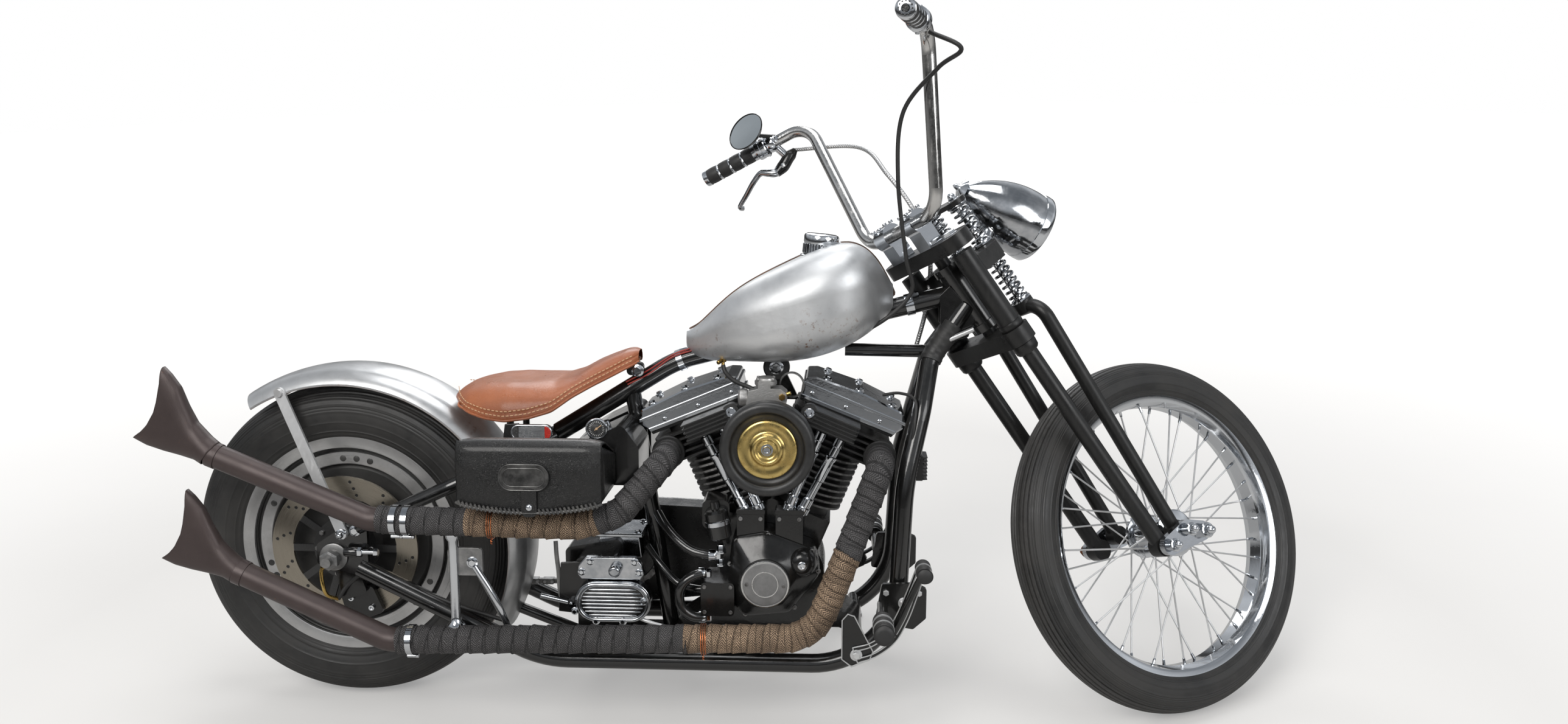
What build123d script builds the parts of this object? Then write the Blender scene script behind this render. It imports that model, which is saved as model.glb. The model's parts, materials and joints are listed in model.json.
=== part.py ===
"""Chopper motorcycle with a rigid frame and a springer fork, parked on its side stand.

Lengths are millimetres. Each piece is drawn on the upright motorcycle, with the front towards +X,
the rider's left towards +Y and the ground at Z = 0 below the rear axle. What turns with the fork is
then turned to the left steering stop, and the whole machine is leaned until both tyres and the foot
of the side stand touch the ground.
"""

import os
from math import atan2, cos, degrees, hypot, pi, radians, sin, sqrt

from build123d import *

os.makedirs("parts", exist_ok=True)

# Stance and steering
wheelbase = 1630.0
lean_angle = 7.56
seat_gap = 0.3
rake_angle = 35.2
fork_offset = 63.5
steering_lock = 34.2

# Wheels
rear_tyre_radius = 322.0
rear_tyre_width = 130.0
rear_crown_radius = 78.0
rear_rim_radius = 221.0
rear_rim_width = 100.0
front_tyre_radius = 349.0
front_tyre_width = 90.0
front_crown_radius = 50.0
front_rim_radius = 281.0
front_rim_width = 70.0
rim_wall = 6.0
bead_depth = 15.0
axle_radius = 9.5
axle_play = 0.05
rear_hub_radius = 34.0
rear_hub_half = 62.0
front_hub_radius = 24.0
front_hub_half = 52.0
front_flange_radius = 46.0
spoke_count = 40
spoke_diameter = 4.0
rotor_radius = 146.0
rotor_thickness = 6.0
rotor_side = 75.6
wheel_face_side = 38.0
wheel_face_wall = 4.0

# Drive
chain_side = 92.0
chain_pitch = 15.875
chain_inner_width = 9.0
chain_outer_width = 16.0
chain_height = 12.0
rear_sprocket_pitch_radius = 126.0
gearbox_sprocket_pitch_radius = 58.0
gearbox_shaft = (540.0, 262.0)

# Frame tubes
main_tube = 38.0
rail_tube = 36.0
stay_tube = 28.0
post_tube = 32.0
bar_tube = 25.0
rail_side = 140.0
rail_height = 127.0
stay_side = 128.0
plate_wall = 10.0
neck_tube = 50.0
neck_low = 552.0
neck_high = 698.0
stem_radius = 14.0
stem_room = 7.0

# Engine
crank = (845.0, 272.0)
cylinder_angle = 22.5
deck_height = 148.0
barrel_top = 282.0
head_top = 357.0
cover_top = 404.0
barrel_fin_radius = 74.0
barrel_core_radius = 56.0
barrel_fins = 9
head_fins = 5
fin_wall = 4.0
pushrod_tube = 17.0

# Exhaust
exhaust_side = 212.0
exhaust_pipe = 54.0
tail_pipe = 45.0
tail_bend = 60.0
wrap_stop = 20.0
tail_start = 32.0
tail_ring = 50.0
ring_behind = 12.0
ring_ahead = 6.0
fishtail_length = 150.0
fishtail_width = 144.0
fishtail_mouth = 28.0
fishtail_wall = 2.5

# Fender, tank and seat
fender_gap = 38.0
fender_radius = rear_tyre_radius + fender_gap
fender_half_width = 80.0
fender_edge_radius = fender_radius - 34.0
fender_wall = 3.0
fender_start = -29.0
fender_end = 122.0

# Fork
leg_side = 92.0
leg_ahead = -17.0
leg_diameter = 32.0
leg_sleeve = 42.0
leg_foot = 27.0
leg_top = 712.0
front_leg_diameter = 28.0
rocker_side = 109.0
rocker_wall = 12.0
bar_diameter = 25.4
grip_diameter = 34.0
grip_length = 128.0

# Side stand
stand_pivot = (905.0, 172.0, 92.0)
stand_foot_place = (1010.0, 318.0)
stand_leg = 20.0
stand_hub_half = 12.0
stand_hub_diameter = 34.0
stand_gap = 0.3
stand_pad_radius = 22.0
stand_pad_wall = 8.0

rear_axle = Vector(0, 0, rear_tyre_radius)
front_axle = Vector(wheelbase, 0, front_tyre_radius)
rake = radians(rake_angle)
steer_up = Vector(-sin(rake), 0, cos(rake))
steer_ahead = Vector(cos(rake), 0, sin(rake))
steer_foot = front_axle - steer_ahead * fork_offset
lean = radians(lean_angle)


def on_fork(up, ahead, side):
    """A point of the unturned fork: up along the steering axis, ahead of it and to the left."""
    return steer_foot + steer_up * up + steer_ahead * ahead + Vector(0, side, 0)


def tipped(vector, pitch):
    """A direction or place of the upright machine after it leans left and pitches nose down."""
    side = vector.Y * cos(lean) + vector.Z * sin(lean)
    height = -vector.Y * sin(lean) + vector.Z * cos(lean)
    ahead = vector.X * cos(pitch) + height * sin(pitch)
    return Vector(ahead, side, height * cos(pitch) - vector.X * sin(pitch))


def tyre_low_point(centre, axis, radius, crown, pitch):
    """Height of the lowest point of a tyre with a round crown, on the tipped machine."""
    slope = tipped(axis, pitch).Z
    return tipped(centre, pitch).Z - (radius - crown) * sqrt(1 - slope * slope) - crown


steering_axis = Axis(steer_foot, steer_up)
turned_axle = (front_axle - steer_foot).rotate(Axis((0, 0, 0), steer_up), steering_lock) + steer_foot
turned_spindle = Vector(0, 1, 0).rotate(Axis((0, 0, 0), steer_up), steering_lock)

pitch = 0.0
for step in range(6):
    rear_low = tyre_low_point(rear_axle, Vector(0, 1, 0), rear_tyre_radius, rear_crown_radius, pitch)
    front_low = tyre_low_point(turned_axle, turned_spindle, front_tyre_radius, front_crown_radius, pitch)
    pitch += (front_low - rear_low) / wheelbase
lift = -rear_low

ground_up = Vector(-sin(pitch), -sin(lean) * cos(pitch), cos(lean) * cos(pitch))


def ground_height(ahead, side):
    """Height, on the upright machine, of the ground that the parked machine stands on."""
    return (-lift + ahead * sin(pitch) + side * sin(lean) * cos(pitch)) / (cos(lean) * cos(pitch))


def side_plane(side):
    """A plane along the machine at a distance to the left, drawn in X and Z, facing the right."""
    return Plane(origin=(0, side, 0), x_dir=(1, 0, 0), z_dir=(0, -1, 0))


def wheel_plane(axle):
    """A plane through an axle, drawn in distance to the left and radius."""
    return Plane(origin=axle, x_dir=(0, 1, 0), z_dir=(1, 0, 0))


def rod(start, end, diameter, mode=Mode.ADD):
    """A round bar between two points."""
    start = Vector(*start)
    end = Vector(*end)
    with BuildSketch(Plane(start, z_dir=end - start)) as section:
        Circle(diameter / 2)
    extrude(section.sketch, amount=(end - start).length, mode=mode)


def pipe(points, bends, diameter, mode=Mode.ADD):
    """A round tube along straight runs joined by bends of the given centre-line radii."""
    with BuildLine() as route:
        FilletPolyline(*points, radius=bends)
    with BuildSketch(Plane(route.line @ 0, z_dir=route.line % 0)) as section:
        Circle(diameter / 2)
    sweep(section.sketch, path=route.line, mode=mode)


def side_block(outline, side, thickness, corner=0.0, mode=Mode.ADD):
    """A plate or block with an outline in X and Z, from a distance to the left towards the right."""
    with BuildSketch(side_plane(side)) as face:
        with BuildLine():
            Polyline(*outline, close=True)
        make_face()
        if corner > 0:
            fillet(face.vertices(), corner)
    extrude(face.sketch, amount=thickness, mode=mode)


def side_disc(centre, radius, side, thickness, mode=Mode.ADD):
    """A round disc on a lateral axis, from a distance to the left towards the right."""
    with BuildSketch(side_plane(side)) as face:
        with Locations(centre):
            Circle(radius)
    extrude(face.sketch, amount=thickness, mode=mode)


pieces = {}
turning = set()


def keep(name, builder, turns=False):
    """Lists a finished piece, and whether it turns with the fork."""
    pieces[name] = builder
    if turns:
        turning.add(name)


def tyre(axle, radius, width, crown, rim_radius, rim_width):
    """A solid ring with a round crown, full side walls and beads between the rim's lips."""
    shoulder = radians(50)
    lip = rim_width / 2
    seat = lip - rim_wall
    with BuildPart() as ring:
        with BuildSketch(wheel_plane(axle)):
            with BuildLine():
                crown_arc = ThreePointArc(
                    (-crown * sin(shoulder), radius - crown + crown * cos(shoulder)),
                    (0, radius),
                    (crown * sin(shoulder), radius - crown + crown * cos(shoulder)),
                )
                wall_height = (rim_radius + radius) / 2
                ThreePointArc(crown_arc @ 1, (width / 2, wall_height), (lip, rim_radius))
                Polyline(
                    (lip, rim_radius),
                    (seat, rim_radius),
                    (seat, rim_radius - bead_depth),
                    (-seat, rim_radius - bead_depth),
                    (-seat, rim_radius),
                    (-lip, rim_radius),
                )
                ThreePointArc((-lip, rim_radius), (-width / 2, wall_height), crown_arc @ 0)
            make_face()
        revolve(axis=Axis(axle, (0, 1, 0)))
    return ring


def ring_profile(axle, inner, outer, side_from, side_to, mode=Mode.ADD):
    """A plain ring on an axle between two radii and two distances to the left."""
    with BuildSketch(wheel_plane(axle)) as profile:
        with Locations(((side_from + side_to) / 2, (inner + outer) / 2)):
            Rectangle(abs(side_to - side_from), outer - inner)
    revolve(profile.sketch, axis=Axis(axle, (0, 1, 0)), mode=mode)


def rim(axle, rim_radius, rim_width):
    """The rim's barrel with a lip at each edge."""
    lip = rim_width / 2
    barrel = rim_radius - bead_depth
    ring_profile(axle, barrel - rim_wall, barrel, -lip, lip)
    ring_profile(axle, barrel, rim_radius, lip - rim_wall, lip)
    ring_profile(axle, barrel, rim_radius, -lip, -lip + rim_wall)


# Rear wheel
keep("rear_tyre", tyre(rear_axle, rear_tyre_radius, rear_tyre_width, rear_crown_radius,
                       rear_rim_radius, rear_rim_width))

face_hole_radius = 6.0
face_hole_circle = 176.0
with BuildPart() as rear_wheel:
    rim(rear_axle, rear_rim_radius, rear_rim_width)
    web_radius = rear_rim_radius - bead_depth - rim_wall
    ring_profile(rear_axle, axle_radius + axle_play, rear_hub_radius, -rear_hub_half - 12, rear_hub_half + 12)
    for face in (-wheel_face_side, wheel_face_side):
        ring_profile(rear_axle, rear_hub_radius, web_radius,
                     face - wheel_face_wall / 2, face + wheel_face_wall / 2)
    with BuildSketch(side_plane(wheel_face_side + wheel_face_wall)):
        for group in range(6):
            for place in (-9, 0, 9):
                turn = radians(group * 60 + place)
                hole_height = rear_tyre_radius + face_hole_circle * sin(turn)
                with Locations((face_hole_circle * cos(turn), hole_height)):
                    Circle(face_hole_radius)
    extrude(amount=2 * (wheel_face_side + wheel_face_wall), mode=Mode.SUBTRACT)
keep("rear_wheel", rear_wheel)

with BuildPart() as rear_rotor:
    ring_profile(rear_axle, 104, rotor_radius, -rotor_side - rotor_thickness, -rotor_side)
    ring_profile(rear_axle, axle_radius + 3, 62, -rotor_side - rotor_thickness, -rear_hub_half - 12)
    with BuildSketch(side_plane(-rotor_side)):
        with Locations((0, rear_tyre_radius)):
            with PolarLocations(radius=83, count=10):
                Rectangle(46, 14)
    extrude(amount=rotor_thickness)
keep("rear_rotor", rear_rotor)

with BuildPart() as rear_sprocket:
    ring_profile(rear_axle, axle_radius + 3, rear_sprocket_pitch_radius - chain_height / 2 - 0.5,
                 chain_side - 3, chain_side + 3)
    ring_profile(rear_axle, axle_radius + 3, 48, rear_hub_half + 12, chain_side - 3)
    with BuildSketch(side_plane(chain_side + 3)):
        with Locations((0, rear_tyre_radius)):
            with PolarLocations(radius=82, count=8):
                Circle(18)
    extrude(amount=6, mode=Mode.SUBTRACT)
keep("rear_sprocket", rear_sprocket)


axle_nut_side = 152.0
axle_nut_wall = 12.0
axle_free_end = 12.0
axle_half = axle_nut_side + axle_nut_wall + axle_free_end
with BuildPart() as rear_axle_bolt:
    rod((0, -axle_half, rear_tyre_radius), (0, axle_half, rear_tyre_radius), 2 * axle_radius)
    for way in (-1, 1):
        with BuildSketch(side_plane(way * axle_nut_side)) as nut:
            with Locations((0, rear_tyre_radius)):
                RegularPolygon(16, 6)
        extrude(nut.sketch, amount=-way * axle_nut_wall)
        rod((0, way * (stay_side + plate_wall / 2), rear_tyre_radius),
            (0, way * axle_nut_side, rear_tyre_radius), 30)
keep("rear_axle", rear_axle_bolt)


# Front wheel
keep("front_tyre", tyre(front_axle, front_tyre_radius, front_tyre_width, front_crown_radius,
                        front_rim_radius, front_rim_width), turns=True)

with BuildPart() as front_wheel:
    rim(front_axle, front_rim_radius, front_rim_width)
    ring_profile(front_axle, axle_radius + axle_play, front_hub_radius, -front_hub_half, front_hub_half)
    for flange in (-front_hub_half + 8, front_hub_half - 8):
        ring_profile(front_axle, front_hub_radius - 1, front_flange_radius, flange - 3, flange + 3)
    spoke_rim = front_rim_radius - bead_depth - rim_wall + 2
    wires = []
    for spoke in range(spoke_count):
        flange = (front_hub_half - 8) * (1 if spoke % 2 else -1)
        at_rim = 2 * pi * (spoke + 0.5) / spoke_count
        lead = radians(38) * (1 if spoke % 4 < 2 else -1)
        at_hub = at_rim + lead
        hub_end = front_axle + Vector((front_flange_radius - 4) * cos(at_hub), flange,
                                      (front_flange_radius - 4) * sin(at_hub))
        rim_end = front_axle + Vector(spoke_rim * cos(at_rim), flange * 0.15, spoke_rim * sin(at_rim))
        with BuildSketch(Plane(hub_end, z_dir=rim_end - hub_end)) as wire:
            RegularPolygon(spoke_diameter / 2, 5)
        wires.append(extrude(wire.sketch, amount=(rim_end - hub_end).length, mode=Mode.PRIVATE))
    add(wires)
keep("front_wheel", front_wheel, turns=True)


# Chain to the rear wheel
def chain_loop(half_height):
    """The chain's outline round both sprockets, at half its height outside the pitch line."""
    big = rear_sprocket_pitch_radius + half_height
    small = gearbox_sprocket_pitch_radius + half_height
    big_centre = (0.0, rear_tyre_radius)
    run = hypot(gearbox_shaft[0], gearbox_shaft[1] - rear_tyre_radius)
    slope = atan2(gearbox_shaft[1] - rear_tyre_radius, gearbox_shaft[0])
    tilt = (big - small) / run
    corners = []
    for way in (1, -1):
        turn = slope + way * (pi / 2 - tilt)
        for centre, radius in ((big_centre, big), (gearbox_shaft, small)):
            corners.append((centre[0] + radius * cos(turn), centre[1] + radius * sin(turn)))
    upper_rear, upper_front, lower_rear, lower_front = corners
    rear_end = (big_centre[0] - big * cos(slope), big_centre[1] - big * sin(slope))
    front_end = (gearbox_shaft[0] + small * cos(slope), gearbox_shaft[1] + small * sin(slope))
    Line(upper_rear, upper_front)
    ThreePointArc(upper_front, front_end, lower_front)
    Line(lower_front, lower_rear)
    ThreePointArc(lower_rear, rear_end, upper_rear)


chain_band_half = chain_height / 2 - 1
with BuildPart() as drive_chain:
    with BuildSketch(side_plane(chain_side + chain_inner_width / 2)):
        with BuildLine():
            chain_loop(chain_band_half)
        make_face()
        with BuildLine():
            chain_loop(-chain_band_half)
        make_face(mode=Mode.SUBTRACT)
    extrude(amount=chain_inner_width)
    with BuildLine(side_plane(chain_side), mode=Mode.PRIVATE) as pitch_line:
        chain_loop(0)
    pitch_wire = Wire(pitch_line.edges())
    links = int(pitch_wire.length / chain_pitch / 2)
    plates = []
    for link in range(links):
        along = (link + 0.5) / links
        centre = pitch_wire.position_at(along)
        heading = pitch_wire.tangent_at(along)
        with BuildSketch(Plane(centre + Vector(0, chain_outer_width / 2, 0), x_dir=heading,
                               z_dir=(0, -1, 0))) as plate:
            Rectangle(chain_pitch * 1.45, chain_height)
        plates.append(extrude(plate.sketch, amount=chain_outer_width, mode=Mode.PRIVATE))
    add(plates)
keep("drive_chain", drive_chain)


# Frame
neck_lower = on_fork(neck_low, 0, 0)
neck_upper = on_fork(neck_high, 0, 0)
with BuildPart() as frame_neck:
    rod(neck_lower, neck_upper, neck_tube)
    rod(on_fork(neck_low, 0, 0), on_fork(neck_low + 16, 0, 0), neck_tube + 8)
    rod(on_fork(neck_high - 14, 0, 0), on_fork(neck_high, 0, 0), neck_tube + 8)
    rod(on_fork(neck_low - 1, 0, 0), on_fork(neck_high + 1, 0, 0), 2 * (stem_radius + 0.3),
        mode=Mode.SUBTRACT)
keep("frame_neck", frame_neck)

backbone_points = (on_fork(640, -8, 0), (655, 0, 694), (415, 0, 545))
with BuildPart() as backbone:
    pipe(backbone_points, [240], main_tube)
    rod(neck_lower, neck_upper, neck_tube, mode=Mode.SUBTRACT)
    rod(on_fork(640, 0, 0), on_fork(640, 60, 0), neck_tube * 1.1, mode=Mode.SUBTRACT)
keep("backbone", backbone)


rear_lug = (48.0, rear_tyre_radius - 22.0)
for hand, way in (("right", -1), ("left", 1)):
    downtube_points = (
        on_fork(612, -8, way * 12),
        on_fork(570, -122, way * 28),
        (1131, way * 88, 613),
        (1100, way * 124, 480),
        (1084, way * rail_side, rail_height),
        (405, way * rail_side, rail_height),
        (rear_lug[0], way * stay_side, rear_lug[1]),
    )
    with BuildPart() as downtube:
        pipe(downtube_points, [70, 120, 300, 165, 220], rail_tube)
        rod(neck_lower, neck_upper, neck_tube, mode=Mode.SUBTRACT)
        rod(neck_lower, neck_upper, 2 * (stem_radius + stem_room), mode=Mode.SUBTRACT)
        add(backbone.part, mode=Mode.SUBTRACT)
        with BuildSketch(side_plane(0)):
            with Locations((1100, 600)):
                Rectangle(400, 1200)
        extrude(amount=way * 300, mode=Mode.SUBTRACT)
    keep(f"downtube_{hand}", downtube)

with BuildPart() as rear_stays:
    for way in (-1, 1):
        stay_points = (
            (410, way * 20, 541),
            (330, way * 98, 506),
            (236, way * stay_side, 466),
            (rear_lug[0], way * stay_side, rear_lug[1] + 80),
        )
        pipe(stay_points, [90, 120], stay_tube)
    add(backbone.part, mode=Mode.SUBTRACT)
keep("rear_stays", rear_stays)

# Outlines round the rear axle: distance ahead of it and above it
plate_outline = ((-34, -16), (40, -36), (66, -22), (66, 62), (40, 74), (-34, 24))
caliper_body = ((8, -152), (78, -126), (56, -72), (-8, -90))
caliper_hanger = ((-22, 4), (22, 0), (50, -82), (2, -100))


def at_rear_axle(outline):
    """An outline given from the rear axle, moved to the axle's height."""
    return [(ahead, rear_tyre_radius + above) for ahead, above in outline]


with BuildPart() as axle_plates:
    for way in (-1, 1):
        side_block(at_rear_axle(plate_outline), way * stay_side + plate_wall / 2, plate_wall, corner=8)
        with BuildSketch(side_plane(way * stay_side + plate_wall)) as slot:
            with Locations((4, rear_tyre_radius)):
                SlotCenterToCenter(22, 2 * axle_radius + 0.6)
        extrude(slot.sketch, amount=2 * plate_wall, mode=Mode.SUBTRACT)
    for hand in ("right", "left"):
        add(pieces[f"downtube_{hand}"].part, mode=Mode.SUBTRACT)
    add(rear_stays.part, mode=Mode.SUBTRACT)
keep("axle_plates", axle_plates)

# Cross tubes between the rails: distance ahead and height
cross_tubes = ((1010.0, 158.0), (640.0, rail_height), (452.0, rail_height))
with BuildPart() as cross_members:
    for ahead, height in cross_tubes:
        rod((ahead, -rail_side, height), (ahead, rail_side, height), stay_tube)
    rod((985, 0, 718), (1149, 0, 716), bar_tube)
    for hand in ("right", "left"):
        add(pieces[f"downtube_{hand}"].part, mode=Mode.SUBTRACT)
keep("cross_members", cross_members)

post_head = (565, 0, 632)
post_foot = (cross_tubes[1][0], 0, cross_tubes[1][1])
with BuildPart() as seat_post:
    rod(post_head, post_foot, post_tube)
    add(backbone.part, mode=Mode.SUBTRACT)
    add(cross_members.part, mode=Mode.SUBTRACT)
keep("seat_post", seat_post)


# Engine
def on_cylinder(way, along, across):
    """A point beside a cylinder's axis: along it from the crank, and outwards from the vee."""
    turn = radians(cylinder_angle)
    return (crank[0] + way * (along * sin(turn) + across * cos(turn)),
            crank[1] + along * cos(turn) - across * sin(turn))


def cylinder_plane(way, along, side=0.0):
    """A plane across a cylinder, drawn in distance outwards from the vee and to one side."""
    ahead, height = on_cylinder(way, along, 0)
    turn = radians(cylinder_angle)
    return Plane(origin=(ahead, side, height), x_dir=(way * cos(turn), 0, -sin(turn)),
                 z_dir=(way * sin(turn), 0, cos(turn)))


case_radius = 104.0
case_left = 66.0
case_right = -62.0
deck_half = 62.0
with BuildPart() as crankcase:
    side_disc(crank, case_radius, case_left, case_left - case_right)
    for way in (-1, 1):
        side_block((on_cylinder(way, 20, -deck_half), on_cylinder(way, deck_height, -deck_half),
                    on_cylinder(way, deck_height, deck_half), on_cylinder(way, 20, deck_half)),
                   case_left, case_left - case_right)
    side_block(((640, 127), (652, 160), (720, 205), (978, 205), (1018, 176), (1010, 158), (978, 168),
                (720, 168)), case_left - 6, case_left - case_right - 12)
    side_block(((714, 220), (778, 220), (778, 286), (714, 286)), case_right + 12, 94, corner=8)
    side_block(((716, 388), (768, 388), (768, 444), (716, 444)), case_right + 12, 76, corner=12)
    add(cross_members.part, mode=Mode.SUBTRACT)
    rod(post_head, post_foot, post_tube + 2, mode=Mode.SUBTRACT)
keep("crankcase", crankcase)

with BuildPart() as barrels:
    fin_pitch = (barrel_top - deck_height - 22) / barrel_fins
    for way in (-1, 1):
        with BuildSketch(cylinder_plane(way, deck_height)) as bore:
            Circle(barrel_core_radius)
        discs = [extrude(bore.sketch, amount=barrel_top - deck_height, mode=Mode.PRIVATE)]
        for fin in range(barrel_fins):
            with BuildSketch(cylinder_plane(way, deck_height + 20 + fin * fin_pitch)) as disc:
                Circle(barrel_fin_radius)
            discs.append(extrude(disc.sketch, amount=fin_wall, mode=Mode.PRIVATE))
        add(discs)
    side_block(((crank[0] - 1, 300), (crank[0] + 1, 300), (crank[0] + 1, 600), (crank[0] - 1, 600)),
               barrel_fin_radius, 2 * barrel_fin_radius, mode=Mode.SUBTRACT)
    add(crankcase.part, mode=Mode.SUBTRACT)
keep("barrels", barrels)

# Columns: foot of each pushrod tube ahead and up, and its top
pushrods = (
    (798.0, 414.0, 716.0, 574.0),
    (826.0, 418.0, 752.0, 586.0),
    (878.0, 418.0, 948.0, 586.0),
    (903.0, 414.0, 984.0, 572.0),
)
pushrod_side = -104.0
with BuildPart() as pushrod_tubes:
    for foot_ahead, foot_height, top_ahead, top_height in pushrods:
        rod((foot_ahead, pushrod_side, foot_height), (top_ahead, pushrod_side, top_height), pushrod_tube)
keep("pushrod_tubes", pushrod_tubes)

# Columns: which way the cylinder leans, and how far its exhaust port is from its axis
cylinders = (
    (-1, 84.0),
    (1, 96.0),
)
port_along = 312.0
port_face = -96.0
ports = [on_cylinder(way, port_along, across) for way, across in cylinders]
with BuildPart() as cylinder_heads:
    fin_pitch = (head_top - barrel_top - 12) / head_fins
    for (way, across), port in zip(cylinders, ports):
        with BuildSketch(cylinder_plane(way, barrel_top)) as core:
            RectangleRounded(150, 130, 30)
        slabs = [extrude(core.sketch, amount=head_top - barrel_top, mode=Mode.PRIVATE)]
        for fin in range(head_fins):
            with BuildSketch(cylinder_plane(way, barrel_top + 4 + fin * fin_pitch)) as slab:
                with Locations((8, 0)):
                    RectangleRounded(196, 172, 34)
            slabs.append(extrude(slab.sketch, amount=fin_wall, mode=Mode.PRIVATE))
        add(slabs)
        rod((port[0], -50, port[1]), (port[0], port_face, port[1]), 62)
        side_block((on_cylinder(way, 320, -56), on_cylinder(way, 352, -56),
                    on_cylinder(way, 352, 34), on_cylinder(way, 320, 34)), -60, 57, corner=6)
    add(pushrod_tubes.part, mode=Mode.SUBTRACT)
keep("cylinder_heads", cylinder_heads)

with BuildPart() as rocker_covers:
    for way in (-1, 1):
        side_block((on_cylinder(way, head_top, -86), on_cylinder(way, cover_top - 8, -92),
                    on_cylinder(way, cover_top, -74), on_cylinder(way, cover_top + 6, 20),
                    on_cylinder(way, cover_top, 108), on_cylinder(way, head_top + 18, 118),
                    on_cylinder(way, head_top, 104)), 66, 132, corner=6)
    chamfer(rocker_covers.edges().filter_by(Axis.Y, reverse=True).group_by(Axis.Y)[0], 3)
keep("rocker_covers", rocker_covers)

with BuildPart() as engine_mount:
    side_block(((794, 618), (896, 618), (872, 668), (866, 744), (838, 744), (832, 668)), 5, 10)
    side_disc((852, 685), 15, 14, 28)
    add(rocker_covers.part, mode=Mode.SUBTRACT)
    add(cylinder_heads.part, mode=Mode.SUBTRACT)
    add(backbone.part, mode=Mode.SUBTRACT)
keep("engine_mount", engine_mount)

gear_side = -62.0
gear_wall = 62.0
cover_wall = 24.0
gear_outline = ((773, 372), (840, 384), (930, 350), (942, 300), (884, 222), (792, 212), (760, 260))
with BuildPart() as cam_cover:
    side_block(gear_outline, gear_side, gear_wall, corner=14)
    side_block(((784, 362), (838, 372), (918, 342), (928, 304), (876, 234), (800, 226)),
               gear_side - gear_wall, cover_wall, corner=14)
    add(crankcase.part, mode=Mode.SUBTRACT)
keep("cam_cover", cam_cover)

points_centre = (838.0, 290.0)
points_radius = 46.0
with BuildPart() as points_cover:
    side_disc(points_centre, points_radius, gear_side - gear_wall - cover_wall, 12)
    fillet(points_cover.edges().sort_by(Axis.Y)[0], 6)
keep("points_cover", points_cover)

with BuildPart() as lifter_blocks:
    for way in (-1, 1):
        middle = crank[0] + way * 37
        side_block(((middle - 26, 340), (middle + 26, 340), (middle + 26, 424 + way * 2),
                    (middle - 26, 424 - way * 2)), -88, 34)
    add(cam_cover.part, mode=Mode.SUBTRACT)
    add(crankcase.part, mode=Mode.SUBTRACT)
    add(pushrod_tubes.part, mode=Mode.SUBTRACT)
keep("lifter_blocks", lifter_blocks)

cleaner_centre = (844.0, 561.0)
cleaner_inner = -160.0
with BuildPart() as carburettor:
    side_disc(cleaner_centre, 22, 0, -cleaner_inner)
    side_block(((806, 524), (882, 524), (882, 598), (806, 598)), -92, -cleaner_inner - 98, corner=8)
    side_block(((790, 566), (898, 566), (898, 592), (790, 592)), 16, 32)
    add(cylinder_heads.part, mode=Mode.SUBTRACT)
    add(barrels.part, mode=Mode.SUBTRACT)
keep("carburettor", carburettor)

with BuildPart() as air_cleaner:
    side_disc(cleaner_centre, 88, cleaner_inner, 46)
    side_disc(cleaner_centre, 56, cleaner_inner - 46, 6)
    fillet(air_cleaner.edges().filter_by(GeomType.CIRCLE).group_by(Axis.Y)[0], 3)
keep("air_cleaner", air_cleaner)

# Gearbox and primary drive
primary_side = 104.0
primary_wall = 72.0
with BuildPart() as gearbox:
    side_block(((440, 200), (552, 200), (552, 350), (440, 330)), 72, 150, corner=12)
    side_block(((452, 214), (548, 214), (548, 330), (470, 322)), -78, 40, corner=10)
    side_disc(gearbox_shaft, 16, primary_side, primary_side - 72)
    side_disc(gearbox_shaft, gearbox_sprocket_pitch_radius - chain_height / 2 - 0.5, chain_side + 3, 6)
    side_block(((452, 122), (640, 122), (640, 132), (548, 132), (548, 201), (458, 201), (458, 132),
                (452, 132)), 60, 120)
    add(cross_members.part, mode=Mode.SUBTRACT)
    add(crankcase.part, mode=Mode.SUBTRACT)
    rod(post_head, post_foot, post_tube + 2, mode=Mode.SUBTRACT)
keep("gearbox", gearbox)

kicker_centre = (544.0, 243.0)
with BuildPart() as gearbox_cover:
    with BuildSketch(side_plane(-118)) as oval:
        with Locations(kicker_centre):
            SlotCenterToCenter(66, 80)
    extrude(oval.sketch, amount=26)
    with BuildSketch(side_plane(-144)) as ribs:
        with Locations(kicker_centre):
            with GridLocations(12, 1, 9, 1):
                Rectangle(5, 62)
    extrude(ribs.sketch, amount=6)
    side_block(((482, 284), (596, 284), (588, 329), (490, 329)), -118, 14, corner=8)
    side_block(((434, 216), (492, 210), (492, 318), (440, 314)), -118, 6, corner=8)
    side_block(((500, 308), (590, 308), (584, 356), (506, 356)), 24, 92, corner=5)
    add(gearbox.part, mode=Mode.SUBTRACT)
keep("gearbox_cover", gearbox_cover)

with BuildPart() as primary_cover:
    with BuildSketch(side_plane(primary_side + primary_wall)) as tin:
        with Locations((gearbox_shaft[0] - 4, gearbox_shaft[1])):
            Circle(108)
        with Locations(crank):
            Circle(86)
        make_hull()
    extrude(tin.sketch, amount=primary_wall)
    fillet(primary_cover.edges().group_by(Axis.Y)[-1], 12)
    side_disc(crank, 40, primary_side, primary_side - case_left)
    for hand in ("right", "left"):
        add(pieces[f"downtube_{hand}"].part, mode=Mode.SUBTRACT)
keep("primary_cover", primary_cover)


# Exhaust: each route runs from its port to the tail's bend and the fishtail's base
(rear_port_ahead, rear_port_height), (front_port_ahead, front_port_height) = ports
upper_route = ((rear_port_ahead, port_face, rear_port_height), (rear_port_ahead, -168, rear_port_height),
               (572, -exhaust_side, 440), (500, -exhaust_side, 416),
               (104, -exhaust_side, 422), (-188, -exhaust_side, 543))
lower_route = ((front_port_ahead, port_face, front_port_height), (front_port_ahead, -164, front_port_height),
               (988, -exhaust_side, 356), (930, -exhaust_side, 206),
               (130, -exhaust_side, 187), (-152, -exhaust_side, 317))
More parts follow.
